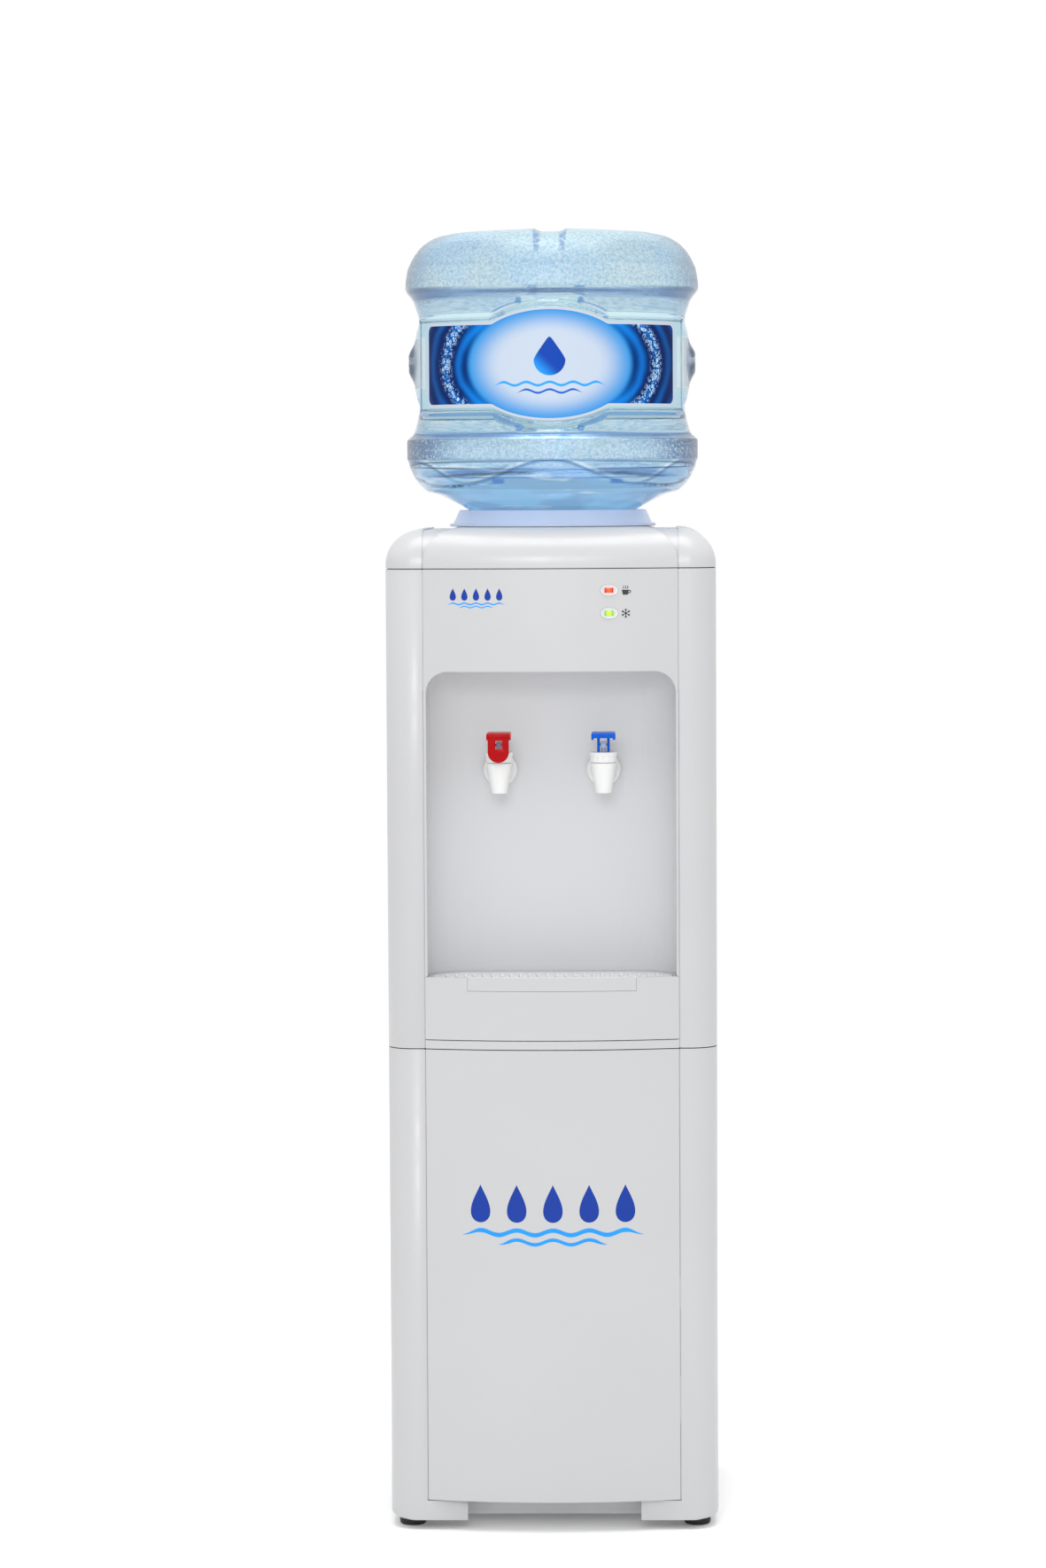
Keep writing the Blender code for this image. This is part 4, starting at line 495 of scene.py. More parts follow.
# %% The shared skin of a moulded or painted surface
def build_skin_group():
    group, given, made = new_group(
        "moulded_skin",
        [
            ("Colour", "NodeSocketColor", (0.7, 0.7, 0.7, 1)),
            ("Shade Colour", "NodeSocketColor", (0.6, 0.6, 0.62, 1)),
            ("Drift", "NodeSocketFloat", 0.3),
            ("Patch Size", "NodeSocketFloat", 9.0),
            ("Roughness", "NodeSocketFloat", 0.3),
            ("Wear", "NodeSocketFloat", 0.08),
            ("Grain Size", "NodeSocketFloat", 900.0),
        ],
        [("Colour", "NodeSocketColor"), ("Roughness", "NodeSocketFloat"), ("Height", "NodeSocketFloat")],
    )
    links = group.links
    place = add_node(group, "ShaderNodeTexCoord").outputs["Object"]
    patches = texture(group, "Noise", place, Detail=3.0, Roughness=0.55)
    links.new(given.outputs["Patch Size"], patches.inputs["Scale"])
    amount = times(group, remap(group, patches.outputs["Fac"], 0.3, 0.7), given.outputs["Drift"])
    colour = blend_colours(group, amount, given.outputs["Colour"], given.outputs["Shade Colour"])
    links.new(colour, made.inputs["Colour"])
    smears = texture(group, "Noise", place, Scale=38.0, Detail=4.0, Roughness=0.6)
    dull = math(group, "MULTIPLY_ADD", remap(group, smears.outputs["Fac"], 0.35, 0.75), given.outputs["Wear"],
                given.outputs["Roughness"])
    links.new(dull, made.inputs["Roughness"])
    grain = texture(group, "Noise", place, Detail=2.0, Roughness=0.5)
    links.new(given.outputs["Grain Size"], grain.inputs["Scale"])
    links.new(grain.outputs["Fac"], made.inputs["Height"])
    return group


SKIN = build_skin_group()
print("skin group:", len(SKIN.nodes), "nodes")

# %% Making a finish from the skin
def shader(name):
    """A material with a Principled shader wired to its output."""
    finish = bpy.data.materials.new(name)
    finish.use_nodes = True
    tree = finish.node_tree
    tree.nodes.clear()
    out = tree.nodes.new("ShaderNodeOutputMaterial")
    body = tree.nodes.new("ShaderNodeBsdfPrincipled")
    tree.links.new(body.outputs["BSDF"], out.inputs["Surface"])
    return finish, tree, body


def bump(tree, body, height, strength=0.1, distance=0.0002):
    node = add_node(tree, "ShaderNodeBump", Strength=strength, Distance=distance)
    tree.links.new(height, node.inputs["Height"])
    tree.links.new(node.outputs["Normal"], body.inputs["Normal"])


def skinned(name, colour, shade, drift, patch, rough, wear, grain, grain_depth, metallic=0.0, shine=0.5):
    """A finish on the shared skin with its own amounts."""
    finish, tree, body = shader(name)
    skin = tree.nodes.new("ShaderNodeGroup")
    skin.node_tree = SKIN
    skin.inputs["Colour"].default_value = (*colour, 1)
    skin.inputs["Shade Colour"].default_value = (*shade, 1)
    for title, value in (
        ("Drift", drift), ("Patch Size", patch), ("Roughness", rough), ("Wear", wear), ("Grain Size", grain)
    ):
        skin.inputs[title].default_value = value
    tree.links.new(skin.outputs["Colour"], body.inputs["Base Color"])
    tree.links.new(skin.outputs["Roughness"], body.inputs["Roughness"])
    bump(tree, body, skin.outputs["Height"], grain_depth)
    body.inputs["Metallic"].default_value = metallic
    body.inputs["Specular IOR Level"].default_value = shine
    return finish


# In each: colour, shade; drift, patch size, roughness, wear, grain size and grain depth.
CABINET_WHITE = skinned("cabinet_white", (0.472, 0.474, 0.481), (0.456, 0.459, 0.467),
                        0.5, 7, 0.28, 0.10, 700, 0.06)
# The niche's white is the cabinet's made lighter: painted light against the shade inside the niche.
NICHE_PAINTED_LIGHT = skinned("niche_white_painted_light", (0.550, 0.555, 0.569), (0.534, 0.540, 0.555),
                      0.5, 9, 0.34, 0.08, 700, 0.05, shine=0.35)
# The grid's white is a lighter copy of the cabinet's: painted light on its top and slots.
GRID_PAINTED_LIGHT = skinned("grid_white_painted_light", (0.74, 0.745, 0.755), (0.70, 0.705, 0.72), 0.5, 30, 0.20, 0.08, 900, 0.05)
BASE_GREY = skinned("base_blue_grey", (0.60, 0.61, 0.62), (0.54, 0.55, 0.565), 0.6, 14, 0.45, 0.15, 500, 0.15)
FOOT_BLACK = skinned("foot_rubber", (0.012, 0.013, 0.012), (0.03, 0.032, 0.028),
                     0.5, 60, 0.62, 0.2, 1500, 0.3)
COLLAR_BLUE = skinned("collar_lavender", (0.60, 0.65, 0.77), (0.56, 0.61, 0.74),
                      0.5, 12, 0.30, 0.08, 800, 0.05)
TAP_WHITE = skinned("tap_white", (0.69, 0.70, 0.69), (0.64, 0.65, 0.64), 0.4, 60, 0.30, 0.10, 1500, 0.08)
HOT_RED = skinned("hot_red", (0.50, 0.0008, 0.004), (0.43, 0.0006, 0.004),
                  0.5, 70, 0.24, 0.10, 1500, 0.06, shine=0.12)
# The flap's red is the lever's red made darker: painted shade on a face tilted away from the light.
FLAP_PAINTED_SHADE = skinned("flap_red_painted_shade", (0.36, 0.0005, 0.0025), (0.30, 0.0004, 0.0025),
                   0.5, 70, 0.26, 0.10, 1500, 0.06, shine=0.12)
COLD_BLUE = skinned("cold_blue", (0.0015, 0.085, 0.52), (0.001, 0.07, 0.42),
                    0.5, 70, 0.22, 0.10, 1500, 0.06, shine=0.12)
MILKY = skinned("milky_plastic", (0.62, 0.68, 0.80), (0.52, 0.60, 0.75), 0.5, 80, 0.35, 0.1, 1500, 0.06)
CAP_BLUE = skinned("cap_blue", (0.02, 0.10, 0.42), (0.015, 0.08, 0.36), 0.5, 60, 0.32, 0.1, 1500, 0.08)
SWITCH_BLACK = skinned("switch_black", (0.018, 0.018, 0.02), (0.03, 0.03, 0.032),
                       0.5, 60, 0.38, 0.12, 1800, 0.2)
ZINC = skinned("zinc_sheet", (0.55, 0.56, 0.57), (0.38, 0.40, 0.42),
               0.7, 26, 0.34, 0.22, 300, 0.12, metallic=0.85)
STEEL = skinned("stainless", (0.62, 0.62, 0.61), (0.5, 0.5, 0.49),
                0.5, 20, 0.25, 0.15, 500, 0.08, metallic=1.0)
PAINT_BLACK = skinned("black_paint", (0.012, 0.012, 0.013), (0.03, 0.03, 0.032),
                      0.5, 40, 0.30, 0.18, 600, 0.2)
COPPER = skinned("copper", (0.72, 0.34, 0.19), (0.42, 0.19, 0.11),
                 0.6, 40, 0.30, 0.2, 600, 0.08, metallic=1.0)
FOAM = skinned("tank_foam", (0.78, 0.78, 0.75), (0.66, 0.65, 0.60), 0.7, 60, 0.85, 0.1, 260, 0.5)
CIRCUIT = skinned("circuit_green", (0.015, 0.13, 0.045), (0.01, 0.09, 0.03), 0.5, 90, 0.35, 0.1, 1200, 0.1)
print("finishes so far:", len(bpy.data.materials))

# %% [markdown]
# ## Side panels
# Each flank is one sheet that starts as the front strip, turns the front corner on a 26 mm radius,
# runs back and hooks round the rear corner. It is made from a block: the two upright edges are
# bevelled, the faces that aren't there are deleted, and Solidify gives the sheet its thickness.
# The lower pair has the toe at the front and a bottom corner that is drawn in, so its block is cut
# across near the bottom and those rings are pulled inwards.

# %% Side panels
WALL = 0.0025
FRONT_CORNER, REAR_CORNER = 0.026, 0.008
BODY_LOW, TOE_TOP = 0.009, 0.0285
LID_SEAM = 0.9067
SEAM_LOW, SEAM_HIGH = 0.4562, 0.4570
REAR_RETURN = 0.139
TOE_INNER = 0.0819


def side_block(name, low, high):
    """The right flank's block with its two upright corners rounded."""
    block = add_block(name, (STRIP_EDGE, FRONT, low), (HALF_WIDTH, REAR, high))
    edit(block, "EDGE")
    for y, radius, segments in ((FRONT, FRONT_CORNER, 12), (REAR, REAR_CORNER, 6)):
        pick(block, "EDGE", lambda e: all(
            abs(p.x - HALF_WIDTH) < TINY and abs(p.y - y) < TINY for p in ends(e)
        ))
        round_edges(radius, segments)
    cut_by((REAR_RETURN, 0, 0), (1, 0, 0))
    return block


def open_sheet(block):
    """Leave only the strip, the flank and the rear hook, as a sheet with a thickness."""
    def gone(face):
        spot, side = centre(face), face.normal
        return abs(side.z) > 0.9 or side.x < -0.9 or (side.y > 0.9 and spot.x < REAR_RETURN)

    pick(block, "FACE", gone)
    bpy.ops.mesh.delete(type="FACE")
    close_edit()


upper_side = side_block("right_side_upper", SEAM_HIGH, LID_SEAM - SEAM / 2)
open_sheet(upper_side)
modify(upper_side, "SOLIDIFY", thickness=WALL, offset=-1, use_even_offset=True)
soften(upper_side, 0.0005, 2)
smooth(upper_side, 30, weigh=True)
print("upper side:", len(upper_side.data.polygons), "faces")

# %% Lower side panels with their toes
DRAW_IN = 0.0065                        # how far the bottom corner is drawn in
DRAW_FROM, DRAW_OVER = 0.129, 0.02      # where along X that starts, and how soon it is whole

lower_side = side_block("right_side_lower", BODY_LOW, SEAM_LOW)
for share in (0.06, 0.15, 0.3, 0.5, 0.75, 1.0):
    cut_by((0, 0, BODY_LOW + DRAW_IN * share), (0, 0, 1))
cut_by((0, 0, TOE_TOP - SEAM), (0, 0, 1))
open_sheet(lower_side)
edit(lower_side, "EDGE")
pick(lower_side, "EDGE", lambda e: all(
    abs(p.x - STRIP_EDGE) < TINY and p.z < TOE_TOP - SEAM + TINY for p in ends(e)
))
bpy.ops.mesh.extrude_region_move(TRANSFORM_OT_translate={"value": (TOE_INNER - STRIP_EDGE, 0, 0)})
close_edit()
for vert in lower_side.data.vertices:
    rise = min((vert.co.z - BODY_LOW) / DRAW_IN, 1)
    reach = min(max((vert.co.x - DRAW_FROM) / DRAW_OVER, 0), 1)
    vert.co.x -= DRAW_IN * (1 - sqrt(max(1 - (1 - rise) ** 2, 0))) * reach ** 2 * (3 - 2 * reach)
modify(lower_side, "SOLIDIFY", thickness=WALL, offset=-1, use_even_offset=True)
soften(lower_side, 0.0005, 2)
smooth(lower_side, 30, weigh=True)
print("lower side:", len(lower_side.data.polygons), "faces")

# %% The left pair, mirrored
left_upper = mirror_copy(upper_side, "left_side_upper")
left_lower = mirror_copy(lower_side, "left_side_lower")
for sheet, node in (
    (upper_side, "right_side_panel_upper"), (left_upper, "left_side_panel_upper"),
    (lower_side, "right_side_panel_lower"), (left_lower, "left_side_panel_lower"),
):
    fit(sheet, "cabinet", CABINET_WHITE, "white_plastic", node)

# %% [markdown]
# ## Lower front panel
# A plain bowed panel with short returns. It is a block without its back, cut into upright slices so
# that the bow is smooth, moved forward by the arc, and then given its wall. The slices come before the
# wall, so the inner face follows the outer one.

# %% Lower front panel
RETURN = 0.014

lower_front = add_block("lower_front", (-PANEL_HALF, FRONT, TOE_TOP), (PANEL_HALF, FRONT + RETURN, SEAM_LOW))
edit(lower_front)
pick(lower_front, "FACE", lambda f: f.normal.y > 0.9)
bpy.ops.mesh.delete(type="FACE")
slice_across(lower_front, PANEL_HALF, SLICES)
bow_forward(lower_front, FRONT, FRONT + RETURN)
modify(lower_front, "SOLIDIFY", thickness=WALL, offset=-1, use_even_offset=True)
soften(lower_front, 0.0007, 3)
smooth(lower_front, 30, weigh=True)
fit(lower_front, "cabinet", CABINET_WHITE, "white_plastic", "lower_front_panel")

# %% [markdown]
# ## Upper front panel and its niche
# The fascia, the niche and the sill are one moulding. From the block, the middle of the front is
# extruded inwards, which makes the niche at one stroke. Its two rear uprights are bevelled on a wide
# radius, then the whole top loop on a smaller one, and the rim gets a fine round. A boolean with a
# ready-made niche shape would do too, but leaves long thin triangles that catch the light on a
# glossy wall.

# %% Upper front panel
NICHE_HALF, NICHE_BACK, PANEL_BACK = 0.1166, -0.100, -0.0975
NICHE_CORNER, CEILING_ROUND, RIM_ROUND, MOULD_WALL = 0.038, 0.020, 0.0014, 0.0024
SILL_TOP, NICHE_TOP = 0.4650, 0.8104
TRAY_TOP = 0.5242
TAP_X, SHANK_Z = 0.049, 0.7160

upper_front = add_block(
    "upper_front", (-PANEL_HALF, FRONT, SEAM_HIGH), (PANEL_HALF, PANEL_BACK, LID_SEAM - SEAM / 2)
)
edit(upper_front)
for spot, side in (
    ((-NICHE_HALF, 0, 0), (1, 0, 0)), ((NICHE_HALF, 0, 0), (1, 0, 0)),
    ((0, 0, SILL_TOP), (0, 0, 1)), ((0, 0, NICHE_TOP), (0, 0, 1)),
):
    cut_by(spot, side)


def is_mouth(face):
    spot = centre(face)
    return face.normal.y < -0.9 and abs(spot.x) < NICHE_HALF and SILL_TOP < spot.z < NICHE_TOP


pick(upper_front, "FACE", is_mouth)
bpy.ops.mesh.extrude_region_move(TRANSFORM_OT_translate={"value": (0, NICHE_BACK - FRONT, 0)})
pick(upper_front, "EDGE", lambda e: upright(e) and all(
    abs(abs(p.x) - NICHE_HALF) < TINY and abs(p.y - NICHE_BACK) < TINY for p in ends(e)
))
round_edges(NICHE_CORNER, 16)


def on_ceiling(edge):
    if not all(abs(p.z - NICHE_TOP) < TINY and abs(p.x) < NICHE_HALF + TINY for p in ends(edge)):
        return False
    ahead = all(abs(p.y - FRONT) < TINY for p in ends(edge))
    return not ahead and any(abs(f.normal.z) > 0.9 for f in edge.link_faces) and any(
        abs(f.normal.z) < 0.1 for f in edge.link_faces
    )


print("ceiling edges:", pick(
    upper_front, "EDGE", lambda e: on_ceiling(e) and max(p.y for p in ends(e)) < PANEL_BACK - 0.0001
))
round_edges(CEILING_ROUND, 12)


def on_rim(edge):
    inside = all(
        abs(p.y - FRONT) < TINY and abs(p.x) < NICHE_HALF + TINY and SILL_TOP - TINY < p.z < NICHE_TOP + TINY
        for p in ends(edge)
    )
    flat = sum(f.normal.y < -0.9 for f in edge.link_faces)
    return inside and flat == 1


print("rim edges:", pick(upper_front, "EDGE", on_rim))
round_edges(RIM_ROUND, 4)


def is_outer(face):
    spot = centre(face)
    outer_side = abs(face.normal.x) > 0.9 and abs(spot.x) > PANEL_HALF - TINY
    rear = face.normal.y > 0.9
    ends_off = abs(face.normal.z) > 0.9 and (spot.z > LID_SEAM - 0.001 or spot.z < SEAM_HIGH + TINY)
    return outer_side or rear or ends_off


pick(upper_front, "FACE", is_outer)
bpy.ops.mesh.delete(type="FACE")
slice_across(upper_front, PANEL_HALF, SLICES)
bow_forward(upper_front, FRONT + 0.0015, FRONT + 0.030)
modify(upper_front, "SOLIDIFY", thickness=MOULD_WALL, offset=-1, use_even_offset=True)
print("upper front:", len(upper_front.data.polygons), "faces")

# %% Recess for the tray's front, tap holes and lamp dishes
LAMP_X, HEATING_Z, COOLING_Z = 0.055, 0.8863, 0.8649
TAP_HOLE, DISH_HALF, DISH_TALL = 0.0063, 0.0081, 0.0051


def lamp_place(z):
    """A lamp's frame on the bowed face: its place and its turn about Z."""
    across = Matrix.Rotation(LAMP_X / BOW_RADIUS, 4, "Z")
    return Matrix.Translation((LAMP_X, FRONT - arc_height(LAMP_X), z)) @ across


cutters = [add_block("tray_recess", (-0.2, -0.22, SILL_TOP), (0.2, -0.1509, TRAY_TOP + 0.0003))]
for side in (-1, 1):
    x = side * TAP_X
    cutters.append(add_rod("tap_hole", TAP_HOLE, (x, -0.12, SHANK_Z), (x, -0.08, SHANK_Z)))
for z in (HEATING_Z, COOLING_Z):
    dish = add_rod("dish_cutter", 1, (0, -0.01, 0), (0, 0.01, 0), 64)
    dish.data.transform(Matrix.Diagonal((DISH_HALF, 1, DISH_TALL, 1)))
    dish.data.transform(lamp_place(z))
    cutters.append(dish)
carve(upper_front, fuse(*cutters), overlaps=True)
soften(upper_front, 0.0004, 2, 50)
smooth(upper_front, 30, weigh=True)
fit(upper_front, "cabinet", CABINET_WHITE, "white_plastic", "upper_front_panel")

# %% [markdown]
# ## The niche's painted light
# The niche is moulded with the front, but its white is lighter and a shade cooler: painted light that
# makes up for the shade inside the niche. It is the same piece, so it gets a second material slot, and
# the faces that lie behind the rim are moved into it.

# %% Niche faces
upper_front.data.materials.append(NICHE_PAINTED_LIGHT)
for face in upper_front.data.polygons:
    spot = face.center
    if spot.y > FRONT + 0.0012 and SILL_TOP - 0.001 < spot.z < NICHE_TOP + 0.001:
        face.material_index = 1
print("niche faces:", sum(face.material_index for face in upper_front.data.polygons))

# %% [markdown]
# ## Top cover
# The cover has two rounded flanks and a centre that stands 1.5 mm proud and is bowed like the front.
# The flanks come from one block: its uprights are bevelled, then its top face is extruded again and
# again, each time a little higher and smaller, along a quarter round. One big bevel can't do this,
# because the round is wider than the corners are. The centre is a bevelled block, sliced and bowed.
# A thin core closes the two seams from below.

# %% Flanks of the cover
LID_LOW, LID_SIDE_TOP, LID_TOP = 0.9071, 0.9431, 0.9446
LID_ROUND = 0.033
COLLAR_HOLE = 0.0879


def dome(name, shrink):
    """The cover's rounded block, smaller all round by shrink."""
    half, fillet = HALF_WIDTH - shrink, LID_ROUND - shrink
    straight = LID_SIDE_TOP - shrink - fillet
    block = add_block(name, (-half, -half, LID_LOW), (half, half, straight))
    edit(block, "EDGE")
    for y, radius, segments in ((-half, FRONT_CORNER - shrink, 12), (half, REAR_CORNER - shrink, 6)):
        pick(block, "EDGE", lambda e: upright(e) and all(
            abs(abs(p.x) - half) < TINY and abs(p.y - y) < TINY for p in ends(e)
        ))
        round_edges(radius, segments)
    pick(block, "FACE", lambda f: f.normal.z > 0.9)
    reach, height = half, 0
    for i in range(1, 17):
        angle = pi / 2 * i / 16
        new_reach, new_height = half - fillet * (1 - cos(angle)), fillet * sin(angle)
        bpy.ops.mesh.extrude_region_move(TRANSFORM_OT_translate={"value": (0, 0, new_height - height)})
        share = new_reach / reach
        bpy.ops.transform.resize(value=(share, share, 1), center_override=(0, 0, 0))
        reach, height = new_reach, new_height
    close_edit()
    return block


lid_right = dome("lid_right", 0)
edit(lid_right)
cut_by((STRIP_EDGE, 0, 0), (1, 0, 0), clear_inner=True, use_fill=True)
close_edit()
soften(lid_right, 0.0007, 3, 50)
lid_left = mirror_copy(lid_right, "lid_left")
lid_core = dome("lid_core", 0.0012)
print("cover flanks:", len(lid_right.data.polygons), "faces each")

# %% Bowed centre of the cover
lid_centre = add_block("lid_centre", (-PANEL_HALF, FRONT, LID_LOW), (PANEL_HALF, REAR, LID_TOP))
edit(lid_centre, "EDGE")
pick(lid_centre, "EDGE", lambda e: all(
    abs(p.z - LID_TOP) < TINY and abs(abs(p.y) - REAR) < TINY for p in ends(e)
))
round_edges(LID_ROUND, 20)
slice_across(lid_centre, PANEL_HALF, SLICES)
bow_forward(lid_centre, FRONT, FRONT + 0.12)
soften(lid_centre, 0.0007, 3, 50)
top_cover = named(fuse(lid_centre, lid_right, lid_left, lid_core), "cover")
carve(top_cover, add_rod("collar_hole", COLLAR_HOLE, (0, 0, 0.88), (0, 0, 0.97), 96), overlaps=True)
smooth(top_cover, 30, weigh=True)
fit(top_cover, "cabinet", CABINET_WHITE, "white_plastic", "top_cover")

# %% [markdown]
# ## Lamps
# Each lamp is a pale oval dish with a small window that shows a glowing bar: red above for heating,
# green below for cooling. The dish is a turned piece squeezed to an oval, and the window is a bevelled
# block. The glow is in the material: a mask along the window makes its middle warmer and brighter.

# %% Lamp dishes and windows
def lamp_dish(name, z):
    dish = turn(name, [
        (0.00795, 0.0006), (0.00795, -0.0006), (0.0074, -0.0010), (0.0066, -0.0008), (0.0056, 0.0006),
        (0.0050, 0.0009), (0.0, 0.0009), (0.0, 0.0022), (0.00795, 0.0022),
    ], closed=True, steps=48, axis="Y")
    dish.data.transform(Matrix.Diagonal((1, 1, 0.625, 1)))
    window = add_block("window", (-0.0041, -0.01, -0.00225), (0.0041, 0.01, 0.00225))
    carve(dish, window)
    dish.data.transform(lamp_place(z))
    return smooth(dish, 40)


def lamp_window(name, z):
    window = add_block(name, (-0.0040, 0.0003, -0.00215), (0.0040, 0.0070, 0.00215))
    soften(window, 0.0004, 3)
    window.data.transform(lamp_place(z))
    return smooth(window)


def glow(name, edge, core):
    """A lens that is brighter and warmer in the middle of its length."""
    finish, tree, body = shader(name)
    place = add_node(tree, "ShaderNodeTexCoord").outputs["Object"]
    away = apart(tree, axes_of(tree, place)["X"], LAMP_X)
    share = remap(tree, away, 0.0008, 0.0036, 1.0, 0.0)
    colour = blend_colours(tree, share, edge, core)
    tree.links.new(colour, body.inputs["Base Color"])
    tree.links.new(colour, body.inputs["Emission Color"])
    body.inputs["Emission Strength"].default_value = 0.55
    body.inputs["Roughness"].default_value = 0.2
    ribs = texture(tree, "Wave", place, {"wave_type": "BANDS", "bands_direction": "X"}, Scale=600.0)
    bump(tree, body, ribs.outputs["Fac"], 0.15)
    return finish


BEZEL_WHITE = skinned("bezel_white", (0.66, 0.66, 0.66), (0.60, 0.60, 0.61), 0.4, 90, 0.25, 0.1, 1500, 0.06)
for label, z, edge, core in (
    ("heating", HEATING_Z, (0.42, 0.003, 0.0), (0.90, 0.07, 0.01)),
    ("cooling", COOLING_Z, (0.12, 0.42, 0.01), (0.42, 0.78, 0.04)),
):
    fit(lamp_dish(f"{label}_dish", z), "cabinet", BEZEL_WHITE, "white_plastic")
    slot = "red_lens" if label == "heating" else "green_lens"
    light = glow(f"{label}_glow", edge, core)
    fit(lamp_window(f"{label}_window", z), "cabinet", light, slot, f"{label}_lens")

# %% [markdown]
# ## Drip tray
# The tray is a drawer: a full-width bowed front with a narrower basin behind it, whose rear corners
# follow the niche. Two hollows are cut from the top, a shallow one that leaves the ledge for the grid
# and a deep one for the water. An inset would be shorter to write, but the front's two short wings are
# narrower than the rim on both sides of them, so its corners would cross.

# %% Drip tray
TRAY_HALF, TRAY_REAR, TRAY_LOW = 0.1160, -0.1006, 0.4656
RIM, LEDGE = 0.0024, 0.0020
GRID_TOP, GRID_THICK = 0.5236, 0.0030
LIP_HALF, LIP_LOW = 0.079, 0.5119
TRAY_CORNER, BOW_WHOLE, BOW_NONE = 0.0374, -0.149, -0.118


def round_rear(piece, half, rear, radius):
    """Round the two rear uprights of a block in edit mode."""
    pick(piece, "EDGE", lambda e: upright(e) and all(
        abs(abs(p.x) - half) < TINY and abs(p.y - rear) < TINY for p in ends(e)
    ))
    round_edges(radius, 14)


def hollow(wall, low):
    """A cutter that leaves a wall all round the tray and a floor at a height."""
    half, rear = TRAY_HALF - wall, TRAY_REAR - wall
    block = add_block("hollow", (-half, FRONT + wall, low), (half, rear, 0.54))
    edit(block, "EDGE")
    round_rear(block, half, rear, TRAY_CORNER - wall)
    close_edit()
    return block


tray = add_block("tray", (-PANEL_HALF, FRONT, TRAY_LOW), (PANEL_HALF, TRAY_REAR, TRAY_TOP))
carve(
    tray,
    add_block("left_notch", (-0.13, -0.1515, 0.45), (-TRAY_HALF, -0.09, 0.54)),
    add_block("right_notch", (TRAY_HALF, -0.1515, 0.45), (0.13, -0.09, 0.54)),
)
edit(tray, "EDGE")
round_rear(tray, TRAY_HALF, TRAY_REAR, TRAY_CORNER)
close_edit()
carve(
    tray,
    hollow(RIM + 0.0004, GRID_TOP - GRID_THICK - 0.0003),
    hollow(RIM + 0.0004 + LEDGE, TRAY_LOW + RIM),
    add_block("lip_notch", (-LIP_HALF - 0.0002, -0.2, LIP_LOW - 0.0003), (LIP_HALF + 0.0002, -0.1508, 0.54)),
)
slice_across(tray, PANEL_HALF, SLICES)
bow_forward(tray, BOW_WHOLE, BOW_NONE)
soften(tray, 0.0005, 2, 50)
smooth(tray, 30, weigh=True)
fit(tray, "drip_tray", CABINET_WHITE, "white_plastic", "drip_tray")

# %% [markdown]
# ## Grid
# A thin plate lies in the rim and hooks over the front with a wide lip. The slots are one rounded
# cutter, copied along the plate and cut in a single boolean. The cutter's rear end slopes, so water
# that runs along a bar finds its way down, and a low eye sees a pale ramp there and not a dark hole.
# Three small half-round grips stand on the front edge, where a finger lifts the grid out.

# %% Grid
GRID_REAR, GRID_CORNER = -0.1033, 0.0346
SLOTS, SLOT_PITCH, SLOT_HALF, SLOT_FRONT, SLOT_REAR = 24, 0.0086, 0.0017, -0.1510, -0.1090
GRIP_APART = 0.052

plate_half = TRAY_HALF - RIM - 0.0007
grid = add_block(
    "grid", (-plate_half, FRONT + RIM + 0.0006, GRID_TOP - GRID_THICK), (plate_half, GRID_REAR, GRID_TOP)
)
edit(grid, "EDGE")
round_rear(grid, plate_half, GRID_REAR, GRID_CORNER)
close_edit()
lip = add_block("lip", (-LIP_HALF, FRONT, LIP_LOW), (LIP_HALF, FRONT + 0.0033, TRAY_TOP))
carve(grid, lip, way="UNION")
slice_across(grid, plate_half, SLICES)
bow_forward(grid, BOW_WHOLE, BOW_NONE)

slots = []
for i in range(SLOTS):
    x = (i - (SLOTS - 1) / 2) * SLOT_PITCH
    slots.append(add_block("slot", (x - SLOT_HALF, SLOT_FRONT, 0.51), (x + SLOT_HALF, SLOT_REAR, 0.53)))
cutter = fuse(*slots)
edit(cutter, "VERT")
pick(cutter, "VERT", lambda v: v.co.z < 0.52 and v.co.y > -0.12)
bpy.ops.transform.translate(value=(0, -0.034, 0))
pick(cutter, "EDGE", lambda e: (
    abs(ends(e)[0].x - ends(e)[1].x) < TINY and abs(ends(e)[0].z - ends(e)[1].z) > 0.01
))
round_edges(0.0015, 3)
close_edit()
carve(grid, cutter)
for x in (-GRIP_APART, 0, GRIP_APART):
    fuse(grid, turn("grip", [
        (0.0, 0.0), (0.0024, 0.0), (0.0030, 0.0003), (0.0030, 0.0020), (0.0025, 0.0026), (0.0, 0.0026),
    ], steps=24, axis="Y", at=(x, FRONT - arc_height(x) + 0.0010, TRAY_TOP - 0.0024)))
soften(grid, 0.0004, 2, 50)
smooth(grid, 30, weigh=True)
fit(grid, "drip_grid", CABINET_WHITE, "white_plastic", "drip_grid")
# All but the front faces take the lighter white: painted light on the grid's top and slots.
grid.data.materials.append(GRID_PAINTED_LIGHT)
for face in grid.data.polygons:
    face.material_index = 0 if face.normal.y < -0.7 else 1

# %% [markdown]
# ## Taps
# Each tap is a tapered nozzle on a shank, a screwed cap with a wide rim and a notched skirt, a stem
# that is pulled up, and a lever that does the pulling. The hot one also has a red guard flap hung on
# the lever's front edge. Turned parts come from sections, levers from bevelled blocks, and each is
# modelled once at X = 0 and copied to its side.

# %% Tap bodies and caps
TAP_Y, NOZZLE_LOW, CAP_LOW = -0.138, 0.6958, 0.7245

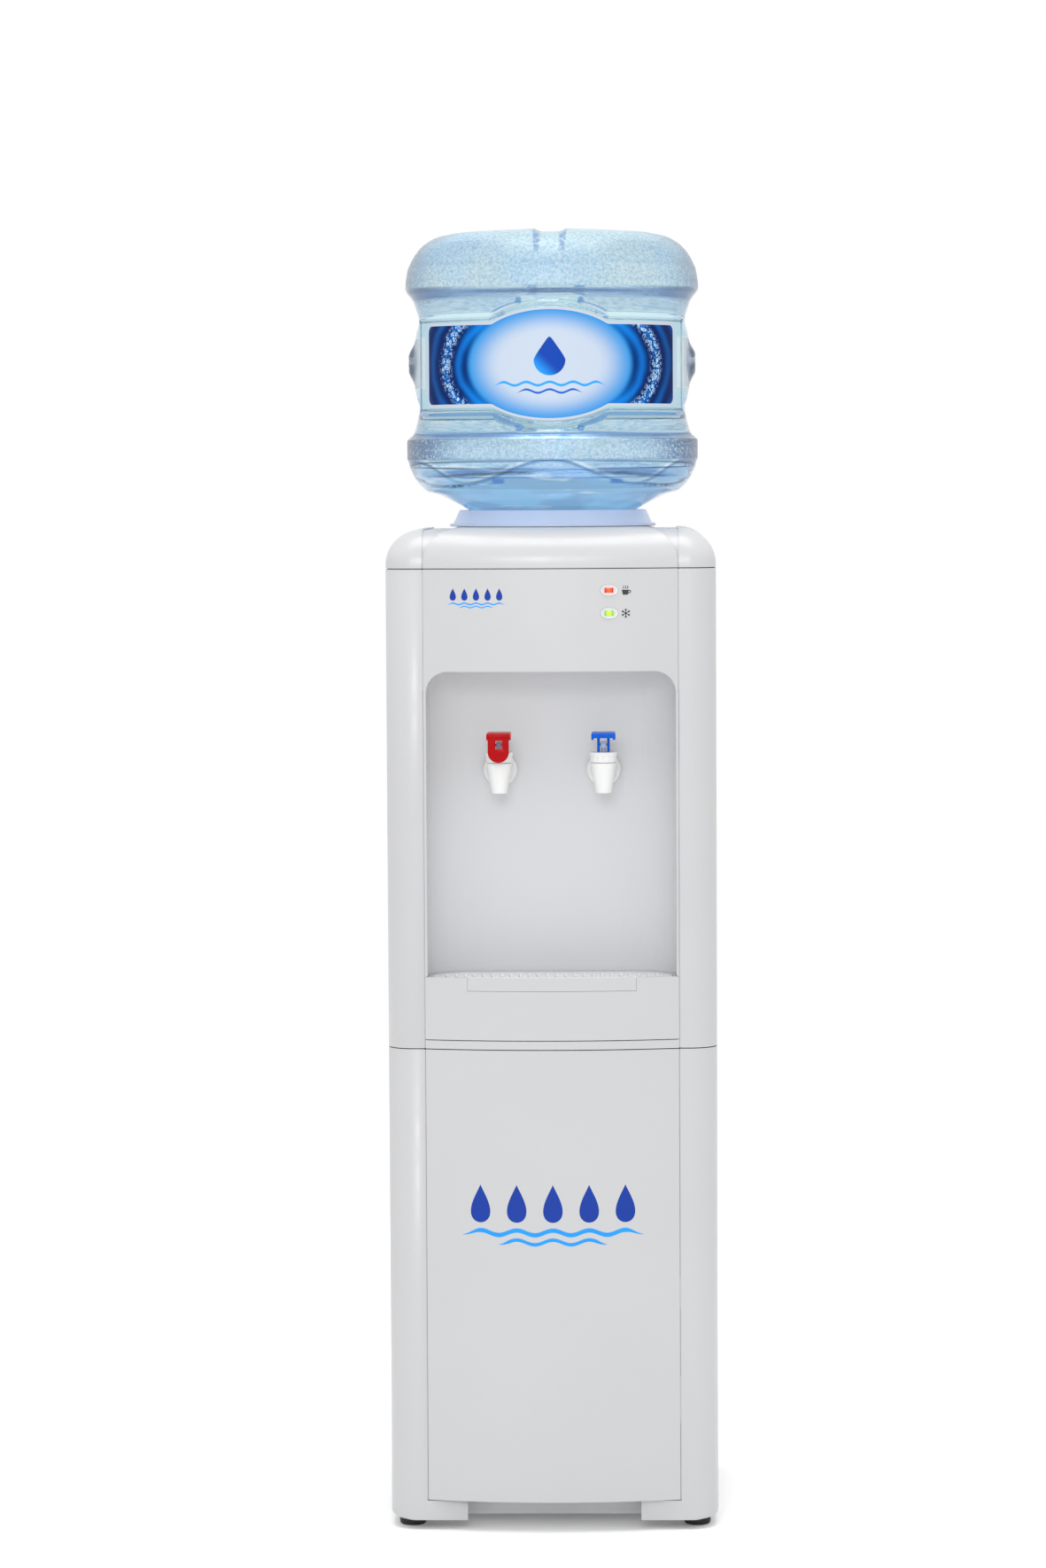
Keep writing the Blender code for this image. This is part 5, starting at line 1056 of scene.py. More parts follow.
nozzle = turn("tap_body", [
    (0.0123, 0.0284), (0.0120, 0.0262), (0.00775, 0.0012), (0.00735, 0.0), (0.0060, 0.0), (0.0052, 0.0012),
    (0.0052, 0.0152), (0.0095, 0.0152), (0.0095, 0.0284),
], closed=True, steps=64, at=(0, TAP_Y, NOZZLE_LOW))
shank = add_rod("shank", 0.0060, (0, -0.1265, SHANK_Z), (0, -0.0871, SHANK_Z))
flange = turn("flange", [
    (0.0, 0.0), (0.0150, 0.0), (0.0160, -0.0006), (0.0160, -0.0022), (0.0152, -0.0030), (0.0128, -0.0030),
    (0.0124, -0.0026), (0.0, -0.0026),
], steps=64, axis="Y", at=(0, -0.1003, SHANK_Z))
carve(nozzle, shank, flange, way="UNION")
soften(nozzle, 0.0003, 2, 50)
smooth(nozzle, 35)

tap_cap = turn("tap_cap", [
    (0.0026, 0.0100), (0.0122, 0.0100), (0.0130, 0.0094), (0.0130, 0.0068), (0.0126, 0.0064),
    (0.0123, 0.0002), (0.0026, 0.0),
], closed=True, steps=64, at=(0, TAP_Y, CAP_LOW))
NOTCHES = 14
notches = []
for i in range(NOTCHES):
    angle = 2 * pi * (i + 0.5) / NOTCHES
    notch = add_block("notch", (0.0121, -0.0007, -0.001), (0.014, 0.0007, 0.0062))
    notch.data.transform(Matrix.Translation((0, TAP_Y, CAP_LOW)) @ Matrix.Rotation(angle, 4, "Z"))
    notches.append(notch)
carve(tap_cap, fuse(*notches))
smooth(tap_cap, 35)
print("tap body and cap:", len(nozzle.data.polygons), len(tap_cap.data.polygons), "faces")

# %% Stem, pin and lever
PIN_Z, PIN_RADIUS, PIN_HOLE, LEG_OUTER = 0.7411, 0.0011, 0.0014, 0.0059
PADDLE_LOW, PADDLE_TOP, LEVER_HALF, FLANGE_X = 0.7483, 0.7533, 0.01125, 0.0088
HINGE_Y, HINGE_Z, FLAP_HALF = -0.1651, 0.7508, 0.0099

stem = turn("tap_stem", [
    (0.0, 0.7113), (0.0080, 0.7113), (0.0085, 0.7118), (0.0085, 0.7139), (0.0081, 0.7143), (0.0026, 0.7143),
    (0.0020, 0.7149), (0.0020, 0.7385), (0.0, 0.7385),
], steps=40, at=(0, TAP_Y, 0))
head = add_block("head", (-0.0026, TAP_Y - 0.003, PIN_Z - 0.003), (0.0026, TAP_Y + 0.003, PIN_Z + 0.003))
carve(stem, head, way="UNION")
carve(stem, add_rod("pin_hole", PIN_HOLE, (-0.01, TAP_Y, PIN_Z), (0.01, TAP_Y, PIN_Z), 24))
soften(stem, 0.0003, 2, 50)
smooth(stem, 35)

pin = add_rod("lever_pin", PIN_RADIUS, (-LEG_OUTER, TAP_Y, PIN_Z), (LEG_OUTER, TAP_Y, PIN_Z), 24)
soften(pin, 0.0003, 2, 60)
smooth(pin, 40)

lever = add_block("tap_lever", (-LEVER_HALF, -0.1630, PADDLE_LOW), (LEVER_HALF, -0.1320, PADDLE_TOP))
edit(lever)
for x in (-FLANGE_X, FLANGE_X):
    cut_by((x, 0, 0), (1, 0, 0))
pick(lever, "FACE", lambda f: f.normal.z < -0.9 and abs(centre(f).x) > FLANGE_X)
bpy.ops.mesh.extrude_region_move(TRANSFORM_OT_translate={"value": (0, 0, -0.0016)})
pick(lever, "EDGE", lambda e: all(
    p.z > PADDLE_TOP - TINY and abs(abs(p.x) - LEVER_HALF) < TINY for p in ends(e)
))
round_edges(0.0016, 4)
close_edit()
for side in (-1, 1):
    x_low, x_high = sorted((side * LEG_OUTER, side * 0.0034))
    leg = add_block("leg", (x_low, TAP_Y - 0.0070, 0.7348), (x_high, TAP_Y + 0.0035, 0.7489))
    carve(lever, leg, way="UNION")
carve(lever, add_rod("pin_hole", PIN_HOLE, (-0.02, TAP_Y, PIN_Z), (0.02, TAP_Y, PIN_Z), 24))

hot_lever = duplicate(lever, "hot_lever")
for side in (-1, 1):
    x_low, x_high = sorted((side * LEVER_HALF, side * 0.01015))
    lug = add_block("lug", (x_low, -0.1672, 0.7490), (x_high, -0.1618, 0.7526))
    carve(hot_lever, lug, way="UNION")
carve(hot_lever, add_rod("trunnion_hole", 0.0012, (-0.02, HINGE_Y, HINGE_Z), (0.02, HINGE_Y, HINGE_Z), 24))
for piece in (lever, hot_lever):
    soften(piece, 0.0005, 3, 50)
    smooth(piece, 35)
print("levers:", len(lever.data.polygons), len(hot_lever.data.polygons), "faces")

# %% Guard flap
flap = add_block("guard_flap", (-FLAP_HALF, -0.1657, 0.7258), (FLAP_HALF, -0.1642, HINGE_Z))
edit(flap, "EDGE")
pick(flap, "EDGE", lambda e: all(p.z < 0.7259 for p in ends(e)) and abs(ends(e)[0].x - ends(e)[1].x) < TINY)
round_edges(0.0098, 14)
close_edit()
window = add_block("window", (-0.0036, -0.17, 0.7388), (0.0036, -0.16, 0.7462))
carve(flap, window)
barrel = add_rod("barrel", 0.0018, (-FLAP_HALF, HINGE_Y, HINGE_Z), (FLAP_HALF, HINGE_Y, HINGE_Z), 32)
carve(flap, barrel, way="UNION")
trunnion = add_rod("trunnion", 0.0009, (-0.01095, HINGE_Y, HINGE_Z), (0.01095, HINGE_Y, HINGE_Z), 24)
carve(flap, trunnion, way="UNION")
soften(flap, 0.0004, 3, 50)
smooth(flap, 35)
print("flap:", len(flap.data.polygons), "faces")

# %% Placing both taps
for side, label in ((-1, "hot"), (1, "cold")):
    colour, slot = (HOT_RED, "hot_red") if label == "hot" else (COLD_BLUE, "cold_blue")
    move = (side * TAP_X, 0, 0)
    fit(duplicate(nozzle, f"{label}_tap", move), "cabinet", TAP_WHITE, "white_plastic", f"{label}_tap_body")
    fit(duplicate(tap_cap, f"{label}_cap", move), "cabinet", TAP_WHITE, "white_plastic", f"{label}_tap_cap")
    twin = duplicate(stem, f"{label}_stem_piece", move)
    fit(twin, f"{label}_stem", MILKY, "milky_plastic", f"{label}_tap_stem")
    fit(duplicate(pin, f"{label}_pin", move), f"{label}_stem", STEEL, "stainless", f"{label}_lever_pin")
    source = hot_lever if label == "hot" else lever
    fit(duplicate(source, f"{label}_lever_piece", move), f"{label}_lever", colour, slot, f"{label}_tap_lever")
# The flap takes the darker red: painted shade.
fit(duplicate(flap, "hot_flap_piece", (-TAP_X, 0, 0)), "hot_flap", FLAP_PAINTED_SHADE, "hot_red", "hot_safety_flap")
for piece in (nozzle, tap_cap, stem, pin, lever, hot_lever, flap):
    discard(piece)

# %% [markdown]
# ## Return springs
# Inside each tap a coil spring, held between the cap and the stem's collar, closes the valve. The
# Screw modifier makes it: it turns the wire's round section about the tap's axis and lifts it at the
# same time, turn upon turn. When the lever is pressed the stem rises and the coil shortens against the
# cap.

# %% Return springs
SPRING_RADIUS, WIRE_RADIUS, SPRING_TURNS = 0.0060, 0.0005, 3
SPRING_LOW, SPRING_TOP, STEM_TRAVEL = 0.7151, 0.7237, 0.00306

only(None)
bpy.ops.mesh.primitive_circle_add(
    vertices=12, radius=WIRE_RADIUS, location=(SPRING_RADIUS, 0, SPRING_LOW), rotation=(pi / 2, 0, 0))
spring = settle("return_spring")
modify(
    spring, "SCREW", axis="Z", angle=2 * pi, screw_offset=(SPRING_TOP - SPRING_LOW) / SPRING_TURNS,
    iterations=SPRING_TURNS, steps=32, render_steps=32,
)
edit(spring)
bpy.ops.mesh.select_all(action="SELECT")
bpy.ops.mesh.fill_holes(sides=0)
bpy.ops.mesh.normals_make_consistent(inside=False)
close_edit()
smooth(spring, 60)

for side, label in ((-1, "hot"), (1, "cold")):
    coil = duplicate(spring, f"{label}_spring_piece", (side * TAP_X, TAP_Y, 0))
    fit(coil, "cabinet", STEEL, "stainless", f"{label}_tap_spring")
    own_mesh(coil)
discard(spring)

# %% [markdown]
# ## Feet
# Four short rubber feet, turned with a rounded edge and a shallow hollow under each.

# %% Feet
FOOT_X, FOOT_Y = 0.135, 0.1245

foot = turn("foot", [
    (0.0, 0.0012), (0.0080, 0.0012), (0.0088, 0.0), (0.0110, 0.0), (0.0122, 0.0012), (0.0127, 0.0040),
    (0.0127, 0.0080), (0.0122, 0.0087), (0.0, 0.0087),
], steps=64)
smooth(foot, 40)
for label, x, y in (
    ("front_left", -1, -1), ("front_right", 1, -1), ("rear_left", -1, 1), ("rear_right", 1, 1)
):
    rubber = duplicate(foot, f"rubber_{label}", (x * FOOT_X, y * FOOT_Y, 0))
    fit(rubber, "cabinet", FOOT_BLACK, "black_rubber", f"foot_{label}")
discard(foot)

# %% [markdown]
# ## Collar
# The lavender collar carries the bottle. Its brim, cone and lip are turned as one closed section; its
# dish keeps a hair's breadth under the bottle's shoulder, so the solid model's own numbers are used.

# %% Collar
collar = turn("collar", [
    (0.0897, 0.9604), (0.0953, 0.9482), (0.0960, 0.9475), (0.0984, 0.9475), (0.0990, 0.9469),
    (0.0990, 0.9454), (0.0985, 0.9449), (0.0876, 0.9449), (0.0876, 0.9326), (0.0851, 0.9326),
    (0.0851, 0.9544), (0.0740, 0.9544), (0.0400, 0.9372), (0.0400, 0.9400), (0.0740, 0.9572),
    (0.0865, 0.9577), (0.0872, 0.9583), (0.0872, 0.9604),
], closed=True, steps=128)
modify(collar, "BEVEL", width=0.0005, segments=2, limit_method="ANGLE", angle_limit=radians(30))
smooth(collar, 35)
fit(collar, "cabinet", COLLAR_BLUE, "collar_plastic", "bottle_collar")

# %% [markdown]
# ## Bottle
# The bottle stands on its head: its frosted base is on top, and two waist grooves frame the raised
# panel that carries the label. Its side view is drawn as a section and spun. What isn't round is
# pressed into the spun wall by moving its rows in and out, the way a mould's inserts do: the panel's
# edge, the bridge between the grooves, the round grip pads at the sides and the channel across the
# base. Booleans on so thin a wall would leave creases that clear plastic shows at once.
#
# The bottle is full, and clear plastic with water inside looks like one body of water. So the piece is
# one closed body with water's bend of light.

# %% The bottle's side view
BOTTLE_SIDE = [
    (0.0620, 1.2267), (0.0963, 1.2242), (0.1089, 1.2217), (0.1153, 1.2191), (0.1231, 1.2140),
    (0.1281, 1.2089), (0.1319, 1.2038), (0.1347, 1.1987), (0.1381, 1.1912), (0.1395, 1.1843),
    (0.1406, 1.1760), (0.1404, 1.1712), (0.1390, 1.1680), (0.1356, 1.1640), (0.1332, 1.1607),
    (0.1303, 1.1522), (0.1281, 1.1450), (0.1278, 1.1394), (0.1302, 1.1310), (0.1316, 1.1225),
    (0.1320, 1.1000), (0.1319, 1.0770), (0.1300, 1.0673), (0.1274, 1.0600), (0.1278, 1.0546),
    (0.1296, 1.0460), (0.1314, 1.0393), (0.1330, 1.0342), (0.1344, 1.0316), (0.1383, 1.0290),
    (0.1398, 1.0268), (0.1398, 1.0095), (0.1385, 1.0062), (0.1372, 1.0010), (0.1348, 0.9959),
    (0.1322, 0.9907), (0.1285, 0.9857), (0.1235, 0.9806), (0.1197, 0.9780), (0.1092, 0.9755),
    (0.0842, 0.9627), (0.0560, 0.9484), (0.0290, 0.9348), (0.0275, 0.9334), (0.0275, 0.8740),
]
LABEL_Z, LABEL_RADIUS = 1.0975, 0.1326
ROW_LOW, ROW_HIGH, ROW_STEP = 0.978, 1.2240, 0.0016      # rows of faces up the wall


def side_radius(z):
    """The radius of the bottle's side view at a height."""
    for (r_high, z_high), (r_low, z_low) in zip(BOTTLE_SIDE, BOTTLE_SIDE[1:]):
        if z_high >= z >= z_low:
            return r_low + (r_high - r_low) * (z - z_low) / (z_high - z_low)
    return BOTTLE_SIDE[0][0]


section = [(0.0, 1.2182), (0.0200, 1.2196), (0.0394, 1.2232), (0.0500, 1.2257), BOTTLE_SIDE[0]]
even_rows = {round(ROW_LOW + ROW_STEP * i, 5) for i in range(int((ROW_HIGH - ROW_LOW) / ROW_STEP) + 1)}
heights = sorted({round(p[1], 5) for p in BOTTLE_SIDE if p[1] > 0.976} | even_rows, reverse=True)
last = BOTTLE_SIDE[0][1]
for z in heights:
    if last - z > 0.0007:
        last = z
        section.append((side_radius(z), z))
section += [*BOTTLE_SIDE[-6:], (0.0, 0.8740)]
bottle = turn("bottle_piece", section, steps=300)
print("bottle:", len(section), "rows,", len(bottle.data.polygons), "faces")

# %% Pressing the mould's details into the wall
def ease(value, low, high):
    """A share from 0 to 1 between two values, with soft ends."""
    share = min(max((value - low) / (high - low), 0), 1)
    return share * share * (3 - 2 * share)


OVAL_HALF, OVAL_TALL, WING_TALL = 0.0834, 0.053, 0.0393
PAD_Z, CHANNEL_DEPTH = 1.101, 0.0026


def label_half(along):
    """Half the label's height at a distance along the wall from its middle."""
    oval = OVAL_TALL * sqrt(max(1 - (along / OVAL_HALF) ** 2, 0))
    return max(WING_TALL, oval)


def press(angle, z, r):
    """The wall's radius at an angle from the front (or back) and a height."""
    along = 0.133 * abs(angle)
    if 1.030 < z < 1.170:
        # Bridge: the grooves end at slanted walls beside the middle.
        slant = 0.026 + 0.10 * abs(z - LABEL_Z - (0.048 if z > LABEL_Z else -0.048))
        bridge = 1 - ease(along, slant, slant + 0.0045)
        r += max(0.1336 - r, 0) * bridge
        # Panel: a plateau round the label with a narrow sloping edge and a fine bead at its rim.
        over = abs(z - LABEL_Z) - label_half(along) - 0.0062
        over = max(over, along - 0.1640)
        plateau = 1 - ease(over, -0.0002, 0.0034)
        r += (0.1330 - r) * plateau
        r += 0.0012 * (1 - ease(abs(over + 0.0016), 0.0, 0.0018))
    return r


def grip(angle, z, r):
    """The round pads at the sides, with a plain ribbed grip."""
    across = 0.132 * abs(abs(angle) - pi / 2)
    away = sqrt(across ** 2 + (z - PAD_Z) ** 2)
    pad = 1 - ease(away, 0.0070, 0.0225)
    ribs = 0.00018 * sin((z + across * 0.35) * 2 * pi / 0.0078) * (1 - ease(away, 0.0085, 0.0120))
    return r + (0.1378 - r) * pad + ribs


def channel(x):
    """How much of the channel across the base lies at a distance from its middle."""
    return 1 - ease(abs(x), 0.0095, 0.0150)


for vert in bottle.data.vertices:
    x, y, z = vert.co
    r = sqrt(x * x + y * y)
    if z > 0.976 and r > 0.06:
        front_angle = atan2(x, -y)
        nearest = front_angle if abs(front_angle) <= pi / 2 else pi - abs(front_angle)
        new_r = press(nearest, z, r)
        if abs(z - PAD_Z) < 0.023:
            new_r = grip(front_angle, z, new_r)
        depth = channel(x) * ease(z, 1.1930, 1.2210)
        new_r -= CHANNEL_DEPTH * depth * (1 - ease(z, 1.2235, 1.2262))
        vert.co.x, vert.co.y = x * new_r / r, y * new_r / r
    if z > 1.2175:
        vert.co.z -= CHANNEL_DEPTH * channel(x) * ease(z, 1.2175, 1.2235)
bottle.data.update()
print("bottle reach:", [round(v, 4) for v in bottle.dimensions])

# %% The wall's slopes, kept for its painted refraction and highlights
relief = bottle.data.attributes.new("relief", "FLOAT_COLOR", "POINT")
for vert, face_way in zip(bottle.data.vertices, bottle.data.vertex_normals):
    x, y, z = vert.co
    r = max(sqrt(x * x + y * y), 1e-6)
    across = abs(face_way.vector.x * y - face_way.vector.y * x) / r
    up = face_way.vector.z
    on_pad = abs(z - PAD_Z) < 0.024 and abs(x) > 0.12
    plain = 0.25 if on_pad else 1
    relief.data[vert.index].color = (max(up, 0), max(-up, 0) * plain, across * plain, float(on_pad))
smooth(bottle, 60)
print("slopes kept for", len(relief.data), "points")

# %% [markdown]
# ## Clear and frosted plastic
# The wall is clear below and frosted on its base and on one band. The mask reads the height on the
# piece and drives roughness, bump and a fine painted sparkle of glints and dark specks. The tint
# deepens towards the rim of each curve, where the eye looks along the wall, which Layer Weight gives
# without a camera: painted refraction of the darker room. The frosted band's sides and the waist
# groove get painted shade.
#
# In an all-white studio a clear body hardly shows its relief, because it bends white into white. So
# the mesh carries the slopes of its own wall as an attribute, and painted refraction and highlights
# follow them. The soft pictures that the shoulder bends into view are painted reflections, laid on the
# same way, by height and width.

# %% Painted refraction and highlights of the relief
def paint_relief_light(tree, marks, facing, height, ledge, tint):
    """Painted refraction and highlights: dark blue on slopes that face down, light on those that face up."""
    slopes = add_node(tree, "ShaderNodeSeparateColor")
    tree.links.new(marks.outputs["Color"], slopes.inputs["Color"])
    frontal = times(tree, remap(tree, facing, 0.10, 0.50, 0.65, 0.0), remap(tree, height, 1.160, 1.163))
    under = times(tree, remap(tree, slopes.outputs["Green"], 0.10, 0.60, 0.0, 0.85),
                  math(tree, "SUBTRACT", 1.0, frontal))
    dark = math(tree, "MAXIMUM", under, remap(tree, slopes.outputs["Blue"], 0.03, 0.16, 0.0, 0.95))
    # Painted shade on the narrow ledge by the frosted band.
    dark = math(tree, "MAXIMUM", dark, times(tree, ledge, 0.85))
    tint = blend_colours(tree, dark, tint, (0.035, 0.15, 0.46))
    light = times(tree, remap(tree, slopes.outputs["Red"], 0.12, 0.55), remap(tree, height, 1.195, 1.170))
    light = times(tree, light, remap(tree, height, 1.034, 1.046))
    tint = wash(tree, tint, light, 0.6, (0.93, 0.98, 0.99))
    # Painted light: the grip pads are washed to near white.
    return wash(tree, tint, marks.outputs["Alpha"], 0.85, (0.97, 0.99, 1.0))


print("relief tint ready")

# %% Painted reflections in the shoulder
ARCH_Z, ARCH_RISE, ARCH_LOW_AT = 0.9940, 0.0108, 0.080


def paint_shoulder_reflections(tree, place, axes, clouds, tint):
    """Painted reflections on the shoulder below the band: the room, the far wall and the neck's water."""
    height = axes["Z"]
    # Painted reflection: streaks of the room, long and flat.
    flat = mapped(tree, place, Scale=(9, 9, 75))
    streaks = texture(tree, "Noise", flat, Scale=1.0, Detail=2.0, Distortion=0.7).outputs["Fac"]
    shoulder = zone(tree, height, 0.960, 0.972, 1.003, 1.008)
    dark = times(tree, remap(tree, streaks, 0.54, 0.64), shoulder)
    tint = wash(tree, tint, dark, 0.8, (0.09, 0.24, 0.52))
    light = times(tree, remap(tree, streaks, 0.44, 0.36), shoulder)
    tint = wash(tree, tint, light, 0.75, (0.90, 0.97, 0.99))
    # Painted refraction of the far wall's edge as an arch: high in the middle, low at both quarters, high at
    # the sides.
    beside = math(tree, "ABSOLUTE", axes["X"])
    outer = math(tree, "MAXIMUM", math(tree, "SUBTRACT", beside, ARCH_LOW_AT), 0.0)
    turned = times(tree, math(tree, "MULTIPLY_ADD", outer, 0.5, beside), pi / ARCH_LOW_AT)
    level = math(tree, "MULTIPLY_ADD", clouds, 0.006, ARCH_Z)
    arch = math(tree, "MULTIPLY_ADD", math(tree, "COSINE", turned), ARCH_RISE, level)
    off = math(tree, "SUBTRACT", height, arch)
    clear = zone(tree, height, 0.976, 0.980, 1.0076, 1.0086)
    within = times(tree, remap(tree, off, 0.0, -0.0030), clear)
    tint = wash(tree, tint, within, 0.45, (0.26, 0.52, 0.92))
    line = times(tree, remap(tree, math(tree, "ABSOLUTE", off), 0.0022, 0.0008), clear)
    tint = wash(tree, tint, line, 0.9, (0.04, 0.15, 0.38))
    above = times(tree, remap(tree, apart(tree, off, 0.0030), 0.0020, 0.0008), clear)
    tint = wash(tree, tint, above, 0.6, (0.92, 0.97, 0.97))
    # Painted refraction: broad patches of deeper blue from the water in the neck.
    broad = mapped(tree, place, Scale=(17, 17, 38))
    pools = texture(tree, "Noise", broad, Scale=1.0, Detail=1.0, Distortion=0.5).outputs["Fac"]
    neck = times(tree, remap(tree, pools, 0.46, 0.60), remap(tree, height, 1.003, 0.990))
    return wash(tree, tint, neck, 0.5, (0.16, 0.46, 0.95))


print("arch from", round(ARCH_Z - ARCH_RISE, 4), "to", round(ARCH_Z + ARCH_RISE, 4))

# %% Bottle plastic
def bottle_finish():
    finish, tree, body = shader("clear_bottle")
    place = add_node(tree, "ShaderNodeTexCoord").outputs["Object"]
    axes = axes_of(tree, place)
    height = axes["Z"]
    band = zone(tree, height, 1.0078, 1.0092, 1.0276, 1.0290)
    frost = math(tree, "MAXIMUM", remap(tree, height, 1.1690, 1.1725), band)
    grain = texture(tree, "Noise", place, Scale=520.0, Detail=2.0).outputs["Fac"]
    ripple = texture(tree, "Noise", place, Scale=26.0, Detail=1.0).outputs["Fac"]
    bump(tree, body, math(tree, "MULTIPLY_ADD", ripple, 0.5, times(tree, grain, frost)), 0.5, 0.0009)
    marks = add_node(tree, "ShaderNodeAttribute", {"attribute_name": "relief"})
    ledge = zone(tree, height, 1.0285, 1.0300, 1.0325, 1.0345)
    dull = math(tree, "MAXIMUM", frost, ledge)
    dull = math(tree, "MAXIMUM", dull, times(tree, marks.outputs["Alpha"], 1.3))
    tree.links.new(math(tree, "MULTIPLY_ADD", dull, 0.20, 0.02), body.inputs["Roughness"])
    # Tint: sea green where the eye looks through, bluer at the rim of each curve as painted refraction.
    facing = add_node(tree, "ShaderNodeLayerWeight", Blend=0.45).outputs["Facing"]
    tint = blend_colours(tree, remap(tree, facing, 0.15, 1.0), (0.50, 0.72, 0.78), (0.25, 0.45, 0.62))
    clouds = texture(tree, "Noise", place, Scale=11.0, Detail=1.0).outputs["Fac"]
    cloudy = blend_colours(tree, remap(tree, clouds, 0.40, 0.60), (0.52, 0.66, 0.70), (0.33, 0.60, 0.92))
    tint = wash(tree, tint, frost, 0.55, cloudy)
    tint = blend_colours(tree, remap(tree, height, 1.030, 0.985, 0.0, 0.55), tint, (0.36, 0.62, 0.90))
    # Painted shade: the frosted band turns deep blue towards its sides.
    tint = wash(tree, tint, times(tree, remap(tree, facing, 0.12, 0.48), band), 0.92, (0.010, 0.055, 0.20))
    # Painted shade in the waist groove.
    waist = zone(tree, height, 1.0300, 1.0360, 1.0520, 1.0570)
    tint = wash(tree, tint, waist, 0.6, (0.22, 0.38, 0.48))
    tint = paint_relief_light(tree, marks, facing, height, ledge, tint)
    tint = paint_shoulder_reflections(tree, place, axes, clouds, tint)
    # Painted glints and dark specks for the sparkle of the frosted skin.
    speck = texture(tree, "Noise", place, Scale=360.0, Detail=2.0).outputs["Fac"]
    tint = wash(tree, tint, times(tree, remap(tree, speck, 0.50, 0.60), frost), 0.5, (0.92, 0.97, 1.0))
    tint = wash(tree, tint, times(tree, remap(tree, speck, 0.46, 0.34), frost), 0.5, (0.15, 0.32, 0.58))
    tree.links.new(tint, body.inputs["Base Color"])
    body.inputs["IOR"].default_value = 1.36
    body.inputs["Transmission Weight"].default_value = 1.0
    return finish


fit(bottle, "bottle", bottle_finish(), "bottle_plastic", "bottle")

# %% [markdown]
# ## Label
# The label is a printed film that follows the wall: two wings and an oval middle. A grid is wrapped
# round the bottle in code, and gets two UV maps. One runs along and up the film for the print, the
# other carries the distance to its edge, so that the pale border keeps its width round the oval. The
# last columns at each end crowd together and shorten, which rounds the film's corners.
# The print is generic: blue swirling water with bubbles, a pale middle, one drop and two ripples.

# %% Label film
LABEL_ANGLE, LABEL_COLUMNS = radians(61.3), 126
LABEL_ROWS = (-1.0, -0.955, -0.6, -0.2, 0.2, 0.6, 0.955, 1.0)
LABEL_REACH, LABEL_CORNER, CORNER_COLUMNS = LABEL_RADIUS * LABEL_ANGLE, 0.0085, 10
PRINT_SPAN, EDGE_SPAN = 0.3, 5      # metres of film to a whole of the print's map; shares to a metre


def label_column(share):
    """Where a column lies along the film, for a share from -1 to 1, and what its corner takes off."""
    steps = (1 - abs(share)) * LABEL_COLUMNS / 2
    if steps < CORNER_COLUMNS:
        swing = pi / 2 * steps / CORNER_COLUMNS
        along, cut = LABEL_REACH - LABEL_CORNER * (1 - cos(swing)), LABEL_CORNER * (1 - sin(swing))
    else:
        along, cut = (LABEL_REACH - LABEL_CORNER) * abs(share) / (1 - 2 * CORNER_COLUMNS / LABEL_COLUMNS), 0
    return (along if share > 0 else -along), cut


only(None)
bpy.ops.mesh.primitive_grid_add(x_subdivisions=LABEL_COLUMNS, y_subdivisions=len(LABEL_ROWS) - 1, size=2)
label = settle("label_film")
rows = sorted({round(v.co.y, 5) for v in label.data.vertices})
flat = []
for vert in label.data.vertices:
    along, cut = label_column(vert.co.x)
    half = label_half(along)
    up = LABEL_ROWS[rows.index(round(vert.co.y, 5))] * (half - cut)
    flat.append((along, up, half))
    angle = along / LABEL_RADIUS
    vert.co = (LABEL_RADIUS * sin(angle), -LABEL_RADIUS * cos(angle), LABEL_Z + up)
print_map = label.data.uv_layers.new(name="print")
edge_map = label.data.uv_layers.new(name="edge")
for loop in label.data.loops:
    along, up, half = flat[loop.vertex_index]
    print_map.data[loop.index].uv = (0.5 + along / PRINT_SPAN, 0.5 + up / PRINT_SPAN)
    edge_map.data[loop.index].uv = (half * EDGE_SPAN, (LABEL_REACH - abs(along)) * EDGE_SPAN)
edit(label)
bpy.ops.mesh.select_all(action="SELECT")
bpy.ops.mesh.normals_make_consistent(inside=False)
close_edit()
if label.data.polygons[0].normal.y > 0:
    label.data.flip_normals()
modify(label, "SOLIDIFY", thickness=0.0005, offset=1)
smooth(label, 60)
print("label:", len(label.data.polygons), "faces")

